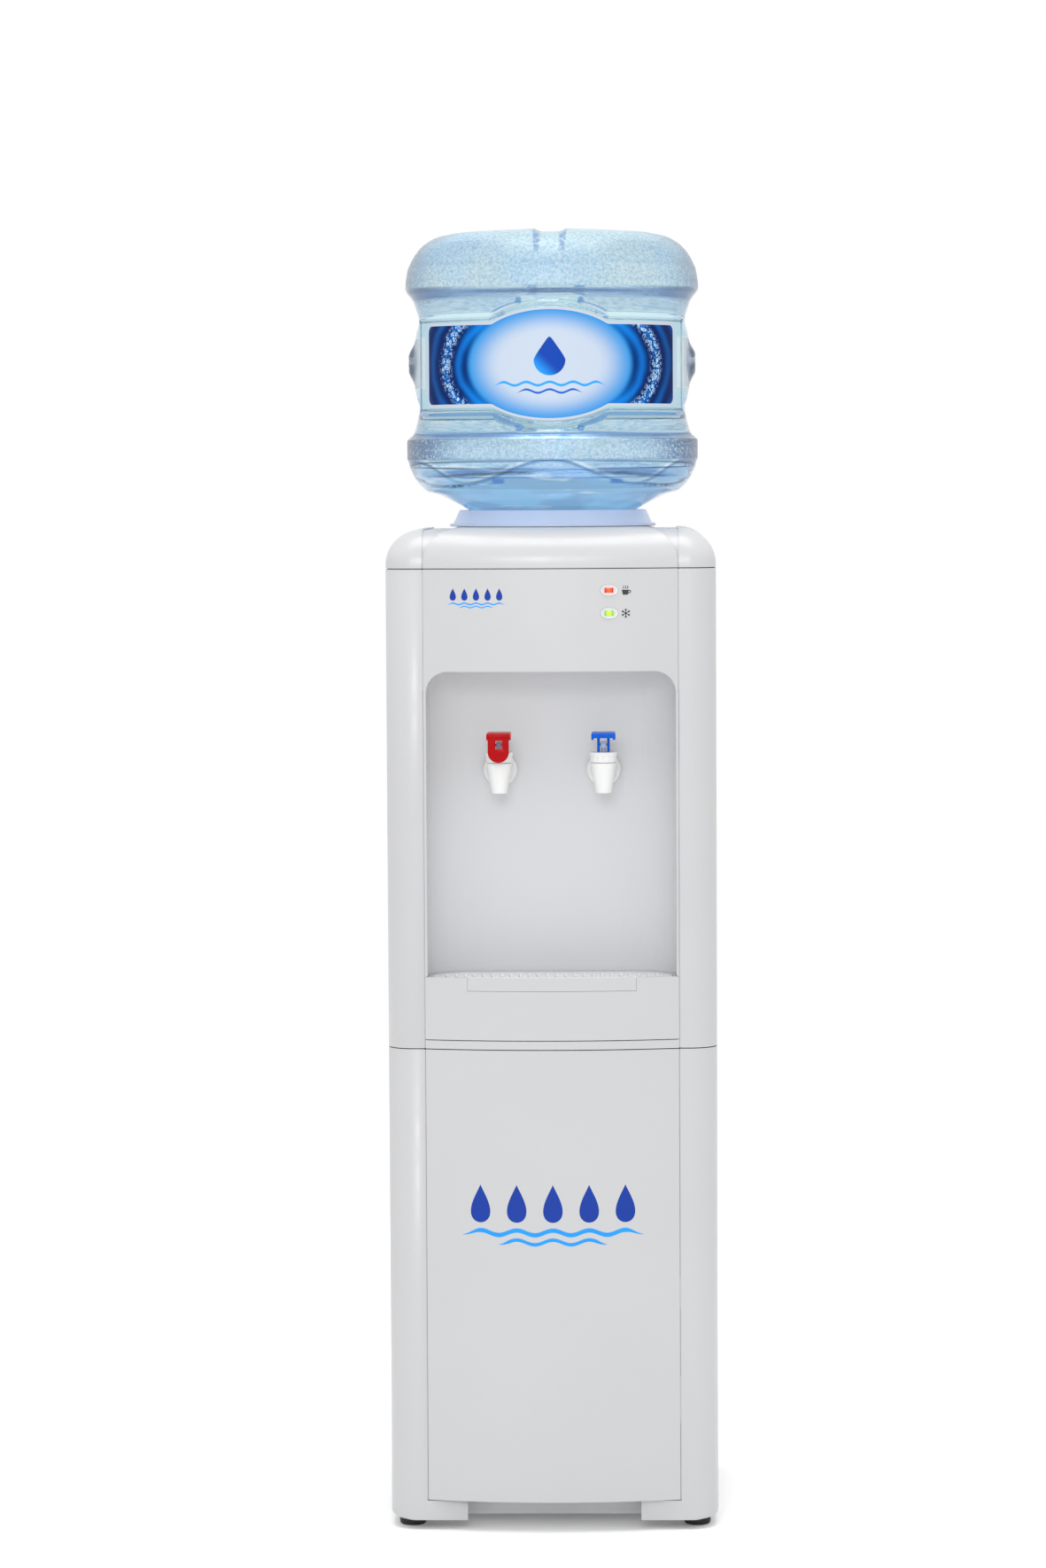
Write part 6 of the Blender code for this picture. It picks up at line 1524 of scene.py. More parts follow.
# %% Print of the label's wings
def swirling_water(tree, spot, along, up):
    """Bands that follow an ellipse, broken by noise, and a pale stream of bubbles in each wing."""
    side = math(tree, "ABSOLUTE", along)
    stretch = math(tree, "SQRT", math(tree, "ADD", math(tree, "POWER", along, 2.0),
                                      times(tree, math(tree, "POWER", up, 2.0), 3.2)))
    warp = texture(tree, "Noise", spot, Scale=22.0, Detail=3.0).outputs["Fac"]
    ring = math(tree, "MULTIPLY_ADD", warp, 0.012, stretch)
    swirl = math(tree, "MULTIPLY_ADD", math(tree, "SINE", times(tree, ring, 330.0)), 0.5, 0.5)
    sheet = blend_colours(tree, math(tree, "POWER", swirl, 1.6), (0.0005, 0.018, 0.125), (0.004, 0.15, 0.56))
    sheet = wash(tree, sheet, remap(tree, side, 0.060, 0.146), 0.75, (0.0003, 0.009, 0.07))
    sheet = wash(tree, sheet, remap(tree, side, 0.092, 0.062), 0.55, (0.006, 0.20, 0.66))
    near = remap(tree, apart(tree, ring, 0.118), 0.011, 0.001)
    bubbles = texture(tree, "Voronoi", spot, {"feature": "F1"}, Scale=260.0).outputs["Distance"]
    shells = remap(tree, apart(tree, bubbles, 0.34), 0.14, 0.02)
    foam = texture(tree, "Noise", spot, Scale=420.0, Detail=3.0).outputs["Fac"]
    spray = times(tree, near, math(tree, "MAXIMUM", shells, remap(tree, foam, 0.55, 0.66)))
    return wash(tree, sheet, spray, 0.85, (0.55, 0.78, 0.95))


print("print of the wings ready")

# %% Print of the label's middle
DROP_POINT, DROP_TALL = -26.0, -14.0      # how fast the drop's upper half narrows and lengthens
CREST_PITCH, CREST = 0.022, 0.0016


def drop_and_ripples(tree, along, up, sheet):
    """An oval that pales towards its heart, with a drop over two even ripples."""
    oval = away_from_both(tree, math(tree, "DIVIDE", along, OVAL_HALF), math(tree, "DIVIDE", up, OVAL_TALL))
    sky = blend_colours(tree, remap(tree, oval, 0.55, 1.0), (0.45, 0.52, 0.62), (0.035, 0.25, 0.60))
    colour = blend_colours(tree, remap(tree, oval, 1.02, 0.93), sheet, sky)
    # The drop is a circle whose upper half is drawn to a point.
    drop_up = math(tree, "SUBTRACT", up, 0.004)
    lift = math(tree, "MAXIMUM", drop_up, 0.0)
    narrow = math(tree, "MULTIPLY_ADD", lift, DROP_POINT, 1.0)
    wide = math(tree, "DIVIDE", along, math(tree, "MAXIMUM", narrow, 0.05))
    tall = times(tree, drop_up, math(tree, "MULTIPLY_ADD", lift, DROP_TALL, 1.0))
    drop = remap(tree, away_from_both(tree, wide, tall), 0.0152, 0.0146)
    shine = remap(tree, math(tree, "ADD", along, up), 0.004, -0.020)
    blue = blend_colours(tree, shine, (0.006, 0.05, 0.34), (0.02, 0.28, 0.80))
    colour = blend_colours(tree, drop, colour, blue)
    # The ripples have even crests and tapering ends.
    side = math(tree, "ABSOLUTE", along)
    for level, reach, width, tone in (
        (-0.0185, 0.055, 0.0012, (0.03, 0.30, 0.80)), (-0.0255, 0.033, 0.0010, (0.01, 0.10, 0.48)),
    ):
        wave = math(tree, "COSINE", times(tree, along, 2 * pi / CREST_PITCH))
        curve = math(tree, "MULTIPLY_ADD", wave, CREST, level)
        taper = times(tree, remap(tree, side, reach, reach - 0.012), width)
        gap = math(tree, "SUBTRACT", apart(tree, up, curve), taper)
        ripple = times(tree, remap(tree, gap, 0.0003, -0.0003), remap(tree, side, reach, reach - 0.003))
        colour = blend_colours(tree, ripple, colour, tone)
    return colour


print("ripples on the label:", CREST_PITCH, "from crest to crest")

# %% Label finish
def label_finish():
    finish, tree, body = shader("label_print")
    flat_map = add_node(tree, "ShaderNodeUVMap", {"uv_map": "print"}).outputs["UV"]
    rim_map = add_node(tree, "ShaderNodeUVMap", {"uv_map": "edge"}).outputs["UV"]
    middle, span = -PRINT_SPAN / 2, PRINT_SPAN
    spot = mapped(tree, flat_map, Location=(middle, middle, 0), Scale=(span, span, 1))
    axes, edges = axes_of(tree, spot), axes_of(tree, rim_map)
    along, up = axes["X"], axes["Y"]
    colour = drop_and_ripples(tree, along, up, swirling_water(tree, spot, along, up))
    # A border of even width, also round the corners.
    half = math(tree, "DIVIDE", edges["X"], EDGE_SPAN)
    top_gap = math(tree, "SUBTRACT", half, math(tree, "ABSOLUTE", up))
    end_gap = math(tree, "DIVIDE", edges["Y"], EDGE_SPAN)
    near_top = math(tree, "MAXIMUM", math(tree, "SUBTRACT", LABEL_CORNER, top_gap), 0.0)
    near_end = math(tree, "MAXIMUM", math(tree, "SUBTRACT", LABEL_CORNER, end_gap), 0.0)
    to_rim = math(tree, "SUBTRACT", LABEL_CORNER, away_from_both(tree, near_top, near_end))
    colour = blend_colours(tree, remap(tree, to_rim, 0.0024, 0.0021), colour, (0.46, 0.50, 0.58))
    tree.links.new(colour, body.inputs["Base Color"])
    body.inputs["Specular IOR Level"].default_value = 0.05
    weave = texture(tree, "Noise", spot, Scale=900.0, Detail=1.0).outputs["Fac"]
    tree.links.new(math(tree, "MULTIPLY_ADD", weave, 0.08, 0.30), body.inputs["Roughness"])
    bump(tree, body, weave, 0.04)
    return finish


fit(label, "bottle", label_finish(), "label_film", "bottle_label")

# %% [markdown]
# ## Cap under the bottle
# Hidden in the seat until the bottle is lifted: a snap cap with a plain skirt and the hole for the
# feed probe.

# %% Bottle cap
cap = turn("snap_cap", [
    (0.0282, 0.8933), (0.0293, 0.8933), (0.0298, 0.8925), (0.0298, 0.8722), (0.0290, 0.8713),
    (0.0096, 0.8713), (0.0096, 0.8733), (0.0282, 0.8733),
], closed=True, steps=96)
smooth(cap, 35)
fit(cap, "bottle", CAP_BLUE, "cap_plastic", "bottle_cap")

# %% [markdown]
# ## Strips behind the seams
# The front panels meet the side strips at a gap of less than a millimetre. On the real cabinet a white
# lip of the side panel stands just behind it, so the seam looks thin and pale, not like a slot into
# the dark. Four narrow strips are that lip.

# %% Seam strips
strips = []
for low, high in ((TOE_TOP, SEAM_LOW), (SEAM_HIGH, LID_SEAM - SEAM / 2)):
    strip = add_block(
        "strip", (PANEL_HALF + 0.00015, -0.1546, low + 0.0004), (STRIP_EDGE + 0.0004, -0.1470, high - 0.0004)
    )
    soften(strip, 0.0001, 2)
    strips += [strip, mirror_copy(strip, "strip")]
fit(smooth(named(fuse(*strips), "seam_strips")), "cabinet", CABINET_WHITE, "white_plastic")

# %% [markdown]
# ## Signs beside the lamps
# Two small dark signs are printed beside the lamps: a steaming cup for heating and a snowflake for
# cooling. Each is drawn flat with thin blocks, round its own middle, and laid on the bowed face.

# %% Signs
INK = skinned("sign_ink", (0.012, 0.013, 0.016), (0.03, 0.031, 0.035), 0.5, 300, 0.42, 0.1, 2500, 0.05)
SIGN_X, SIGN_THICK = 0.0705, 0.00012


def stroke(start, end, width):
    """A thin flat bar between two points of the sign's plane."""
    start, end = Vector((start[0], 0, start[1])), Vector((end[0], 0, end[1]))
    along = (end - start).normalized()
    bar = add_block("stroke", (-width / 2, -SIGN_THICK, 0), (width / 2, 0.0002, (end - start).length))
    turn_by = atan2(along.x, along.z)
    bar.data.transform(Matrix.Translation(start) @ Matrix.Rotation(turn_by, 4, "Y"))
    return bar


def lay_sign(name, z, bars):
    """Join a sign's bars and lay them on the bowed fascia."""
    sign = named(fuse(*bars), name)
    across = Matrix.Rotation(SIGN_X / BOW_RADIUS, 4, "Z")
    sign.data.transform(Matrix.Translation((SIGN_X, FRONT - arc_height(SIGN_X), z)) @ across)
    return fit(sign, "cabinet", INK, "black_plastic")


def reach_to(start, way, length):
    """The end of a stroke that starts at a point and runs in a direction."""
    return start[0] + length * sin(way), start[1] + length * cos(way)


flake = []
for i in range(6):
    way = pi / 3 * i
    flake.append(stroke((0, 0), reach_to((0, 0), way, 0.0043), 0.0007))
    fork = reach_to((0, 0), way, 0.0026)
    flake += [stroke(fork, reach_to(fork, way + bend, 0.0015), 0.0006) for bend in (-0.75, 0.75)]
lay_sign("cooling_sign", COOLING_Z, flake)

bowl = add_block("bowl", (-0.0038, -SIGN_THICK, -0.0042), (0.0030, 0.0002, 0.0004))
edit(bowl, "VERT")
pick(bowl, "VERT", lambda v: v.co.z < 0)
bpy.ops.transform.resize(value=(0.66, 1, 1), center_override=(-0.0004, 0, 0))
close_edit()
cup = [bowl] + [stroke(start, end, 0.0007) for start, end in (
    ((0.0026, -0.0002), (0.0046, -0.0004)), ((0.0046, -0.0002), (0.0042, -0.0022)),
    ((0.0044, -0.0020), (0.0022, -0.0028)),
)]
for x in (-0.0024, -0.0004, 0.0016):
    cup += [stroke(start, end, 0.0006) for start, end in (
        ((x, 0.0012), (x + 0.0006, 0.0022)), ((x + 0.0006, 0.0020), (x, 0.0032)),
        ((x, 0.0030), (x + 0.0006, 0.0042)),
    )]
lay_sign("heating_sign", HEATING_Z, cup)

# %% [markdown]
# ## Prints on the front
# The fascia and the lower panel carry a plain print: a row of water drops over two lines of ripples. A
# print is a film thinner than a hair, so each shape is a grid patch whose points are placed by a rule,
# laid on the bowed face and given a thickness. A grid follows the bow, where one big face would cut
# into it. Every drop stands over a crest, because drops and ripples share one pitch.

# %% Prints
PRINT_PROUD = 0.00002
DROP_PITCH = 0.034
PRINT_NAVY = skinned("print_navy", (0.001, 0.030, 0.27), (0.001, 0.036, 0.31),
                     0.5, 40, 0.32, 0.08, 1200, 0.03, shine=0.25)
PRINT_SKY = skinned("print_sky", (0.010, 0.26, 0.78), (0.012, 0.30, 0.82),
                    0.5, 40, 0.32, 0.08, 1200, 0.03, shine=0.25)


def patch(name, columns, rows, rule):
    """A patch whose points (u, v) from -1 to 1 are placed at (x, z) by a rule, on the bowed front."""
    only(None)
    bpy.ops.mesh.primitive_grid_add(x_subdivisions=columns, y_subdivisions=rows, size=2)
    film = settle(name)
    for vert in film.data.vertices:
        x, z = rule(vert.co.x, vert.co.y)
        vert.co = (x, FRONT - arc_height(x) - PRINT_PROUD, z)
    if film.data.polygons[0].normal.y > 0:
        film.data.flip_normals()
    return modify(film, "SOLIDIFY", thickness=0.0001, offset=-1)


def drop(x, z, wide, tall):
    """A drop: its half width at each height is that of a pear drawn to a point."""
    def rule(u, v):
        turn_by = pi * (1 - v) / 2
        return x + u * wide / 2 * 1.17 * sin(turn_by) * sin(turn_by / 2) ** 1.4, z + tall / 2 * cos(turn_by)
    return patch("drop", 10, 26, rule)


def ripple(x, z, size, crests, tall, thick):
    """A line of even crests, one to each drop's pitch, with its two ends drawn to points."""
    def rule(u, v):
        swing = tall * cos(u * crests * pi) * size
        taper = min(1, 5 * (1 - abs(u)) + 0.05)
        return x + u * crests * DROP_PITCH / 2 * size, z + swing + v * thick / 2 * taper * size
    return patch("ripple", 24 * crests, 2, rule)


for place, x, z, size in (("fascia", -0.0690, 0.8830, 0.32), ("lower", 0.0, 0.3120, 1.0)):
    row = [drop(x + i * DROP_PITCH * size, z, 0.022 * size, 0.036 * size) for i in (-2, -1, 0, 1, 2)]
    drops = named(fuse(*row), f"{place}_drops")
    long_line = ripple(x, z - 0.0275 * size, size, 5, 0.0022, 0.0042)
    short_line = ripple(x, z - 0.0365 * size, size, 3, 0.0022, 0.0034)
    ripples = named(fuse(long_line, short_line), f"{place}_ripples")
    fit(smooth(drops), "cabinet", PRINT_NAVY, "cap_plastic")
    fit(smooth(ripples), "cabinet", PRINT_SKY, "cap_plastic")

# %% [markdown]
# ## Back sheet
# The back is a galvanised sheet held by the hooks of the side panels. A press has pushed a field out
# of it, which stiffens it, and slots in that field let the tanks' warmth out. Holes are left for the
# switches, the drain and the lead's gland. The field is extruded from the sheet's own face, and its
# rim is drawn in so that its walls slope as pressed steel does.

# %% Back sheet
BACK_NEAR, BACK_FAR = 0.1507, 0.1522
SWITCH_X, SWITCH_Z = -0.095, 0.800
FITTING_X, DRAIN_Z, GLAND_Z = 0.118, 0.505, 0.225
FIELD_HALF, FIELD_LOW, FIELD_HIGH, FIELD_PROUD = 0.124, 0.670, 0.768, 0.0018
VENTS, VENT_PITCH, VENT_HALF = 17, 0.0135, 0.0022


def through(name, x, z, half, tall):
    """A cutter through the back sheet."""
    return add_block(name, (x - half, 0.14, z - tall), (x + half, 0.16, z + tall))


back_sheet = add_block("back_sheet", (-0.147, BACK_NEAR, 0.190), (0.147, BACK_FAR, LID_SEAM - SEAM / 2))
edit(back_sheet)
for spot, way in (
    ((-FIELD_HALF, 0, 0), (1, 0, 0)), ((FIELD_HALF, 0, 0), (1, 0, 0)),
    ((0, 0, FIELD_LOW), (0, 0, 1)), ((0, 0, FIELD_HIGH), (0, 0, 1)),
):
    cut_by(spot, way)
pick(back_sheet, "FACE", lambda f: (
    f.normal.y > 0.9 and abs(centre(f).x) < FIELD_HALF and FIELD_LOW < centre(f).z < FIELD_HIGH
))
bpy.ops.mesh.extrude_region_move(TRANSFORM_OT_translate={"value": (0, FIELD_PROUD, 0)})
bpy.ops.transform.resize(value=(0.985, 1, 0.96), center_override=(0, BACK_FAR + FIELD_PROUD, 0.719))
close_edit()
holes = [through("switch_hole", SWITCH_X, SWITCH_Z, 0.0233, 0.0133)]
for z, radius in ((DRAIN_Z, 0.0068), (GLAND_Z, 0.0088)):
    holes.append(add_rod("hole", radius, (FITTING_X, 0.14, z), (FITTING_X, 0.16, z), 48))
for i in range(VENTS):
    x = (i - (VENTS - 1) / 2) * VENT_PITCH
    vent = add_block("vent", (x - VENT_HALF, 0.14, 0.684), (x + VENT_HALF, 0.16, 0.754))
    edit(vent, "EDGE")
    pick(vent, "EDGE", lambda e: abs(ends(e)[0].y - ends(e)[1].y) > 0.01)
    round_edges(0.0021, 4)
    close_edit()
    holes.append(vent)
carve(back_sheet, fuse(*holes))
soften(back_sheet, 0.0004, 2, 25)
smooth(back_sheet, 30, weigh=True)
print("back sheet:", len(holes), "openings")

# %% Zinc with its spangle
def zinc_finish():
    """Galvanised sheet: crystals a few millimetres wide, each with its own grey, gloss and tilt."""
    finish, tree, body = shader("galvanised_back")
    skin = tree.nodes.new("ShaderNodeGroup")
    skin.node_tree = SKIN
    for title, value in (
        ("Colour", (0.52, 0.53, 0.54, 1)), ("Shade Colour", (0.40, 0.41, 0.43, 1)), ("Drift", 0.6),
        ("Patch Size", 7.0), ("Roughness", 0.36), ("Wear", 0.15), ("Grain Size", 500.0),
    ):
        skin.inputs[title].default_value = value
    place = add_node(tree, "ShaderNodeTexCoord").outputs["Object"]
    crystals = texture(tree, "Voronoi", place, {"feature": "F1"}, Scale=95.0)
    shade = add_node(tree, "ShaderNodeSeparateColor")
    tree.links.new(crystals.outputs["Color"], shade.inputs["Color"])
    tone = remap(tree, shade.outputs["Red"], 0.0, 1.0, 0.0, 0.45)
    colour = blend_colours(tree, tone, skin.outputs["Colour"], (0.68, 0.69, 0.70))
    tree.links.new(colour, body.inputs["Base Color"])
    dull = math(tree, "MULTIPLY_ADD", shade.outputs["Green"], 0.14, skin.outputs["Roughness"])
    tree.links.new(dull, body.inputs["Roughness"])
    bump(tree, body, math(tree, "MULTIPLY_ADD", shade.outputs["Blue"], 0.4, skin.outputs["Height"]), 0.06)
    body.inputs["Metallic"].default_value = 0.85
    return finish


GALVANISED = zinc_finish()
fit(back_sheet, "cabinet", GALVANISED, "zinc_steel", "back_panel")

# %% [markdown]
# ## Screws
# Pan-head screws hold the back sheet through the hooks. One head is turned, its cross is cut, and the
# copies go up both sides.

# %% Screws
screw = turn("back_screws", [
    (0.0, 0.0), (0.0034, 0.0), (0.0034, 0.0006), (0.0030, 0.0014), (0.0019, 0.0019), (0.0, 0.0021),
], steps=24, axis="Y")
carve(screw, add_block("slot", (-0.0019, 0.0011, -0.00035), (0.0019, 0.003, 0.00035)),
      add_block("slot", (-0.00035, 0.0011, -0.0019), (0.00035, 0.003, 0.0019)))
heads = [
    duplicate(screw, "head", (side * 0.1434, 0.1548, z))
    for side in (-1, 1) for z in (0.060, 0.205, 0.330, 0.440, 0.475, 0.620, 0.765, 0.890)
]
discard(screw)
fit(smooth(named(fuse(*heads), "back_screws"), 35), "cabinet", STEEL, "stainless")

# %% [markdown]
# ## Condenser
# The black serpentine on the back gives off the heat. Its tube is a wire of straight runs joined by half
# circles, so the points come from a rule. The wire is turned into a curve, which lends it a round
# section, and back into a mesh. Two pressed straps carry the tube, and their feet stand them off the
# back sheet.

# %% Condenser tube
RUNS, RUN_PITCH, RUN_LOW = 12, 0.038, 0.215
TUBE_MIDDLE, HALF_RUN, TUBE_Y, TUBE_RADIUS = -0.020, 0.088, 0.1656, 0.0025

route = [(TUBE_MIDDLE - HALF_RUN, RUN_LOW)]
for run in range(RUNS - 1):
    side = 1 if run % 2 == 0 else -1
    for i in range(17):
        angle = radians(180 * i / 16 - 90)
        route.append((TUBE_MIDDLE + side * (HALF_RUN + RUN_PITCH / 2 * cos(angle)),
                      RUN_LOW + RUN_PITCH * (run + 0.5) + RUN_PITCH / 2 * sin(angle)))
route.append((TUBE_MIDDLE - HALF_RUN, route[-1][1]))
tube = draw_section("condenser_piece", route)
only(tube)
bpy.ops.object.convert(target="CURVE")
tube = bpy.context.object
tube.data.bevel_depth, tube.data.bevel_resolution, tube.data.use_fill_caps = TUBE_RADIUS, 4, True
bpy.ops.object.convert(target="MESH")
tube = bpy.context.object
tube.data.transform(Matrix.Translation((0, TUBE_Y, 0)))
edit(tube)
bpy.ops.mesh.select_all(action="SELECT")
bpy.ops.mesh.remove_doubles(threshold=1e-6)
bpy.ops.mesh.normals_make_consistent(inside=False)
close_edit()
print("tube", len(route), "points,", len(tube.data.polygons), "faces")

# %% Condenser straps
STRAP_SPREAD, STRAP_HALF, FOOT_HALF = 0.075, 0.0070, 0.0056
STRAP_NEAR, STRAP_FAR, FOOT_NEAR = 0.1675, 0.1700, 0.1525
FOOT_FAR = STRAP_NEAR + 0.0006
STRAP_LOW, STRAP_HIGH = RUN_LOW - RUN_PITCH / 2, RUN_LOW + RUN_PITCH * (RUNS - 0.5)

straps = []
for x in (TUBE_MIDDLE - STRAP_SPREAD, TUBE_MIDDLE + STRAP_SPREAD):
    low, high = (x - STRAP_HALF, STRAP_NEAR, STRAP_LOW), (x + STRAP_HALF, STRAP_FAR, STRAP_HIGH)
    strap = add_block("strap", low, high)
    edit(strap, "EDGE")
    pick(strap, "EDGE", lambda e: abs(ends(e)[0].y - ends(e)[1].y) > 0.001)
    round_edges(0.0040, 6)
    pick(strap, "FACE", lambda f: f.normal.y > 0.9)
    bpy.ops.mesh.inset(thickness=0.0030, depth=0)
    bpy.ops.mesh.inset(thickness=0.0010, depth=-0.0009)
    close_edit()
    for z in (STRAP_LOW + STRAP_HALF, STRAP_HIGH - STRAP_HALF):
        low, high = (x - FOOT_HALF, FOOT_NEAR, z - FOOT_HALF), (x + FOOT_HALF, FOOT_FAR, z + FOOT_HALF)
        foot = add_block("foot", low, high)
        carve(strap, foot, way="UNION")
    straps.append(soften(strap, 0.0004, 2, 50))
condenser = fuse(tube, *straps)
fit(smooth(condenser, 35), "cabinet", PAINT_BLACK, "black_paint", "condenser")

# %% [markdown]
# ## Condenser wires
# Fine upright wires, spot-welded to both sides of the tube, carry its heat outwards. A wire is modelled
# once, its ends rounded, and copied across, leaving out the two straps.

# %% Condenser wires
WIRES, WIRE_PITCH, FIRST_WIRE, WIRE_LOW, WIRE_HIGH = 35, 0.0054, -0.1118, 0.206, 0.643
STRAP_ROOM = 0.0080

wire = add_rod("wire", 0.0006, (0, 0, WIRE_LOW), (0, 0, WIRE_HIGH), 6)
edit(wire, "EDGE")
pick(wire, "EDGE", lambda e: abs(ends(e)[0].z - ends(e)[1].z) < TINY)
round_edges(0.0002, 1)
close_edit()
wires = []
for i in range(WIRES):
    x = FIRST_WIRE + i * WIRE_PITCH
    if abs(abs(x - TUBE_MIDDLE) - STRAP_SPREAD) > STRAP_ROOM:
        wires += [duplicate(wire, "wire", (x, y, 0)) for y in (0.1622, 0.1680)]
discard(wire)
fit(smooth(named(fuse(*wires), "condenser_wires"), 50), "cabinet", PAINT_BLACK, "black_paint")

# %% [markdown]
# ## Compressor
# A black welded can stands on a pressed plate with rubber grommets, and a moulded cover hides its
# terminals. The can is turned, with its weld flange, and the cover is hollowed by the can's own round
# so that it sits tight.

# %% Compressor
CAN_Y, CAN_LOW = 0.074, 0.0250
PLATE_LOW, PLATE_TOP = 0.0221, 0.0251

can_side = (
    (0.0, 0.1415), (0.0261, 0.1391), (0.0452, 0.1306), (0.0551, 0.1164), (0.0580, 0.0994),
    (0.0580, 0.0816), (0.0612, 0.0816), (0.0615, 0.0811), (0.0615, 0.0786), (0.0612, 0.0781),
    (0.0580, 0.0781), (0.0580, 0.0227), (0.0510, 0.0085), (0.0406, 0.0), (0.0, 0.0),
)
can_rounds = (
    (0.0261, 0.1391, 0.008), (0.0452, 0.1306, 0.006), (0.0551, 0.1164, 0.005),
    (0.0580, 0.0994, 0.006), (0.0580, 0.0227, 0.006), (0.0510, 0.0085, 0.005),
)
can = turn(
    "compressor_can", [(r, CAN_LOW + z) for r, z in can_side],
    corners=[(r, CAN_LOW + z, size) for r, z, size in can_rounds], steps=96, at=(0, CAN_Y, 0),
)
plate = add_block("plate", (-0.075, CAN_Y - 0.052, PLATE_LOW), (0.075, CAN_Y + 0.052, PLATE_TOP))
edit(plate, "EDGE")
pick(plate, "EDGE", upright)
round_edges(0.014, 8)
close_edit()
soften(plate, 0.0006, 2, 60)
compressor = smooth(named(fuse(can, plate), "compressor_unit"), 35)
fit(compressor, "cabinet", PAINT_BLACK, "black_paint", "compressor")

grommet = turn("grommet", [
    (0.0, 0.0111), (0.0096, 0.0111), (0.0100, 0.0118), (0.0100, 0.0150), (0.0084, 0.0158), (0.0084, 0.0170),
    (0.0100, 0.0178), (0.0100, 0.0214), (0.0096, 0.0220), (0.0, 0.0220),
], steps=32)
grommets = [
    duplicate(grommet, "grommet", (x * 0.0632, CAN_Y + y * 0.0402, 0)) for x in (-1, 1) for y in (-1, 1)
]
discard(grommet)
fit(smooth(named(fuse(*grommets), "compressor_grommets"), 40), "cabinet", FOOT_BLACK, "black_rubber")

# %% Terminal cover
cover = add_block("terminal_cover", (-0.023, CAN_Y + 0.040, 0.056), (0.023, 0.1440, 0.094))
edit(cover, "EDGE")
pick(cover, "EDGE", lambda e: all(p.y > 0.1439 for p in ends(e)) or (
    abs(ends(e)[0].y - ends(e)[1].y) > 0.01))
round_edges(0.0040, 5)
close_edit()
carve(cover, add_rod("can_round", 0.0582, (0, CAN_Y, 0.03), (0, CAN_Y, 0.13), 96))
fit(smooth(cover, 40), "cabinet", SWITCH_BLACK, "black_plastic")

# %% [markdown]
# ## Switches, gland and drain
# The two rocker switches at the back turn heating and cooling on. A rocker is a block that is cut
# across in rings, dished along its crest and drawn in behind. The gland keeps the lead from chafing,
# and the drain cap is unscrewed to empty the hot tank, so its rim is fluted for the fingers.

# %% Switches
ROCKER_APART, ROCKER_HALF, ROCKER_TALL = 0.01125, 0.009, 0.011


def switch_block(name, x, half, near, far, tall):
    """A block round the switches' middle height."""
    return add_block(name, (x - half, near, SWITCH_Z - tall), (x + half, far, SWITCH_Z + tall))


bezel = switch_block("switch_bezel", SWITCH_X, 0.025, 0.1525, 0.1545, 0.015)
carve(bezel, switch_block("case", SWITCH_X, 0.023, 0.1325, 0.1535, 0.013), way="UNION")
for side in (-1, 1):
    carve(bezel, switch_block("space", SWITCH_X + side * ROCKER_APART, 0.0096, 0.134, 0.16, 0.0116))
soften(bezel, 0.0006, 3, 50)
fit(smooth(bezel, 35), "cabinet", SWITCH_BLACK, "black_plastic", "switch_frame")

# %% Rockers
SWITCH_RED = skinned("switch_red", (0.42, 0.008, 0.006), (0.33, 0.006, 0.006), 0.4, 90, 0.28, 0.1, 1800, 0.1)
SWITCH_GREEN = skinned("switch_green", (0.02, 0.30, 0.06), (0.015, 0.24, 0.05), 0.4, 90, 0.28, 0.1, 1800, 0.1)
for side, label, finish, slot in (
    (-1, "hot", SWITCH_RED, "hot_red"), (1, "cold", SWITCH_GREEN, "green_lens"),
):
    rocker = add_block(
        f"{label}_rocker_piece", (-ROCKER_HALF, -0.004, -ROCKER_TALL), (ROCKER_HALF, 0.003, ROCKER_TALL)
    )
    edit(rocker)
    for i in range(1, 10):
        cut_by((0, 0, ROCKER_TALL * (i / 5 - 1)), (0, 0, 1))
    close_edit()
    for vert in rocker.data.vertices:
        share = abs(vert.co.z) / ROCKER_TALL
        if vert.co.y > 0:
            vert.co.y = 0.0015 + 0.0015 * share ** 2
        else:
            vert.co.y = -0.010 + 0.006 * share
            vert.co.z *= 0.82
    soften(rocker, 0.0004, 3, 50)
    place = Matrix.Translation((SWITCH_X + side * ROCKER_APART, 0.1535, SWITCH_Z))
    rocker.data.transform(place @ Matrix.Rotation(radians(8), 4, "X"))
    fit(smooth(rocker, 35), f"{label}_rocker", finish, slot, f"{label}_rocker")

# %% Gland and drain cap
gland = turn("lead_gland", [
    (0.0038, -0.0045), (0.0085, -0.0045), (0.0085, 0.0), (0.0120, 0.0), (0.0120, 0.0030),
    (0.0087, 0.0030), (0.0084, 0.0046), (0.0074, 0.0052), (0.0074, 0.0064), (0.0080, 0.0070),
    (0.0078, 0.0086), (0.0069, 0.0092), (0.0069, 0.0104), (0.0074, 0.0110), (0.0065, 0.0150),
    (0.0038, 0.0150),
], corners=[
    (0.0120, 0.0030, 0.0008), (0.0120, 0.0, 0.0004), (0.0065, 0.0150, 0.0006),
], closed=True, steps=48, axis="Y", at=(FITTING_X, 0.1525, GLAND_Z))
fit(smooth(gland, 40), "cabinet", FOOT_BLACK, "black_rubber", "cord_gland")

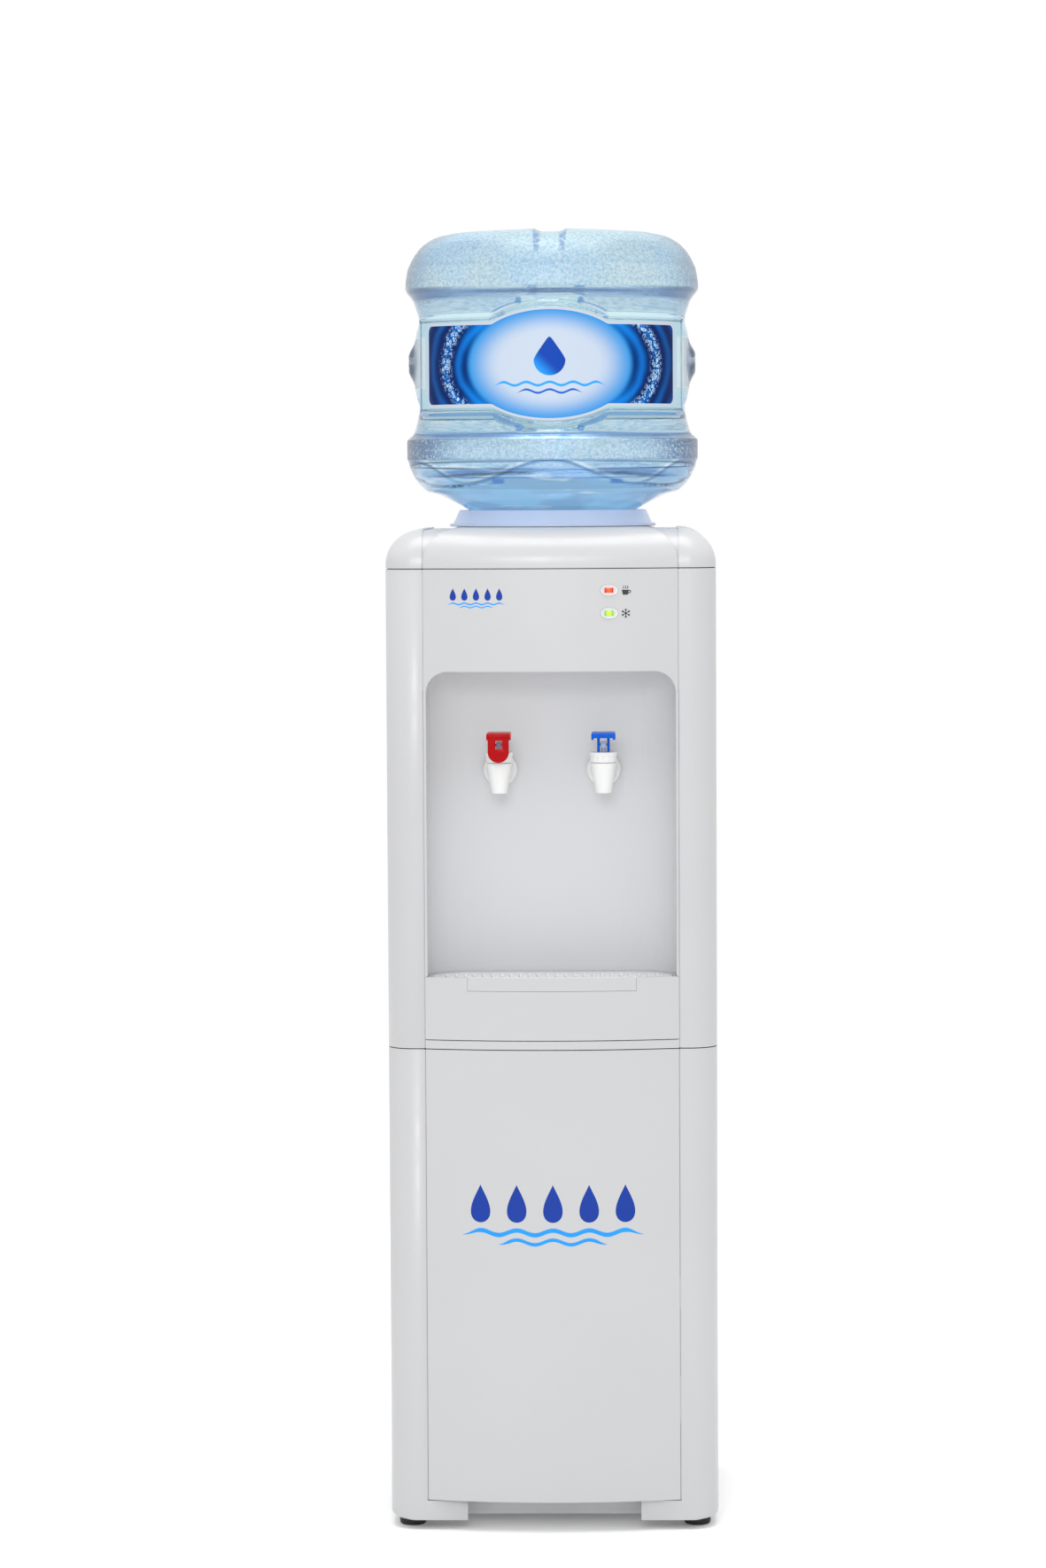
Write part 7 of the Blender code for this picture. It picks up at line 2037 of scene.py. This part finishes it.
drain_cap = turn("drain_cap_piece", [
    (0.0, 0.0117), (0.0084, 0.0117), (0.0100, 0.0104), (0.0100, 0.0), (0.0069, 0.0),
    (0.0069, 0.0094), (0.0, 0.0094),
], corners=[
    (0.0084, 0.0117, 0.0006), (0.0100, 0.0104, 0.0006), (0.0100, 0.0, 0.0004),
], steps=72, axis="Y", at=(FITTING_X, 0.1553, DRAIN_Z))
FLUTES, FLUTE_RING = 18, 0.0105
flutes = []
for i in range(FLUTES):
    angle = 2 * pi * i / FLUTES
    x, z = FITTING_X + FLUTE_RING * cos(angle), DRAIN_Z + FLUTE_RING * sin(angle)
    flutes.append(add_rod("flute", 0.0011, (x, 0.1565, z), (x, 0.18, z), 12))
carve(drain_cap, fuse(*flutes))
fit(smooth(drain_cap, 35), "drain_cap", SWITCH_BLACK, "black_plastic", "drain_cap")

# %% [markdown]
# ## Solids that stay as they are
# Tanks, coil, pipes and the base plate have their right shape in the solid model already. Their
# objects aren't touched: only what their material slots hold is changed, to finishes with the tone,
# gloss and grain of the real thing. Foam has cells, and copper has bright and dull patches.

# %% Dressing the solids
def dress(finish, *names):
    for name in names:
        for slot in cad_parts[name].material_slots:
            slot.material = finish
    print(finish.name, "on", len(names), "solids")


dress(BASE_GREY, "base_plate")
dress(ZINC, "tank_shelf", "heater_band")
dress(STEEL, "cold_tank", "hot_tank")
dress(COPPER, "evaporator_coil", "filter_drier", "discharge_line", "suction_line")
dress(FOAM, "tank_insulation", "hot_tank_jacket")
dress(MILKY, "feed_seat", "drain_pipe", "hot_feed_tube", "cold_feed_tube")
dress(SWITCH_BLACK, "thermostat", "hot_tap_nut", "cold_tap_nut")
dress(CIRCUIT, "indicator_board")

# %% [markdown]
# ## Light and floor
# A catalogue photograph: an even white surround, one large soft box overhead that bleaches the top of
# the cover, and a gentle one from the front left. Contact shadows are all that shows the floor, so it
# is a broad pale plane with a faint tone drift of its own.

# %% Floor
only(None)
bpy.ops.mesh.primitive_plane_add(size=14, location=(0, 1.0, 0))
floor = settle("studio_floor")
floor_finish = skinned("floor_pale", (0.93, 0.93, 0.93), (0.92, 0.92, 0.922),
                       0.4, 1.2, 0.7, 0.05, 60, 0.02, shine=0.2)
floor_shader = floor_finish.node_tree.nodes["Principled BSDF"]
floor_shader.inputs["Emission Color"].default_value = (1, 1, 1, 1)
floor_shader.inputs["Emission Strength"].default_value = 0.09
floor.data.materials.append(floor_finish)
floor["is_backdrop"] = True
print("floor:", [round(v, 1) for v in floor.dimensions])

# %% Light
world = bpy.data.worlds.new("studio_surround")
world.use_nodes = True
surround = world.node_tree.nodes["Background"]
surround.inputs["Color"].default_value = (1.0, 1.0, 1.0, 1)
surround.inputs["Strength"].default_value = 1.0
bpy.context.scene.world = world


def soft_box(name, place, aim, width, height, power):
    """An area light aimed at a point."""
    box = bpy.data.lights.new(name, "AREA")
    box.shape = "RECTANGLE"
    box.size, box.size_y, box.energy = width, height, power
    lamp = bpy.data.objects.new(name, box)
    bpy.context.scene.collection.objects.link(lamp)
    place, aim = Vector(place), Vector(aim)
    turned = (aim - place).to_track_quat("-Z", "Y").to_matrix().to_4x4()
    lamp.matrix_world = Matrix.Translation(place) @ turned
    return lamp


soft_box("overhead_box", (0.0, -0.20, 2.9), (0, 0, 0.9), 1.6, 1.6, 36)
soft_box("front_box", (-0.12, -2.9, 1.6), (0, 0, 0.75), 0.95, 0.75, 20)
bpy.context.scene.view_settings.view_transform = "Standard"
bpy.context.scene.view_settings.look = "None"
print("lights:", len(bpy.data.lights))

# %% Sizes and finish
visual_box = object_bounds()
for label, box in (("solid", cad_box), ("visual", visual_box)):
    print(label, [round(v, 4) for v in box[0]], [round(v, 4) for v in box[1]])
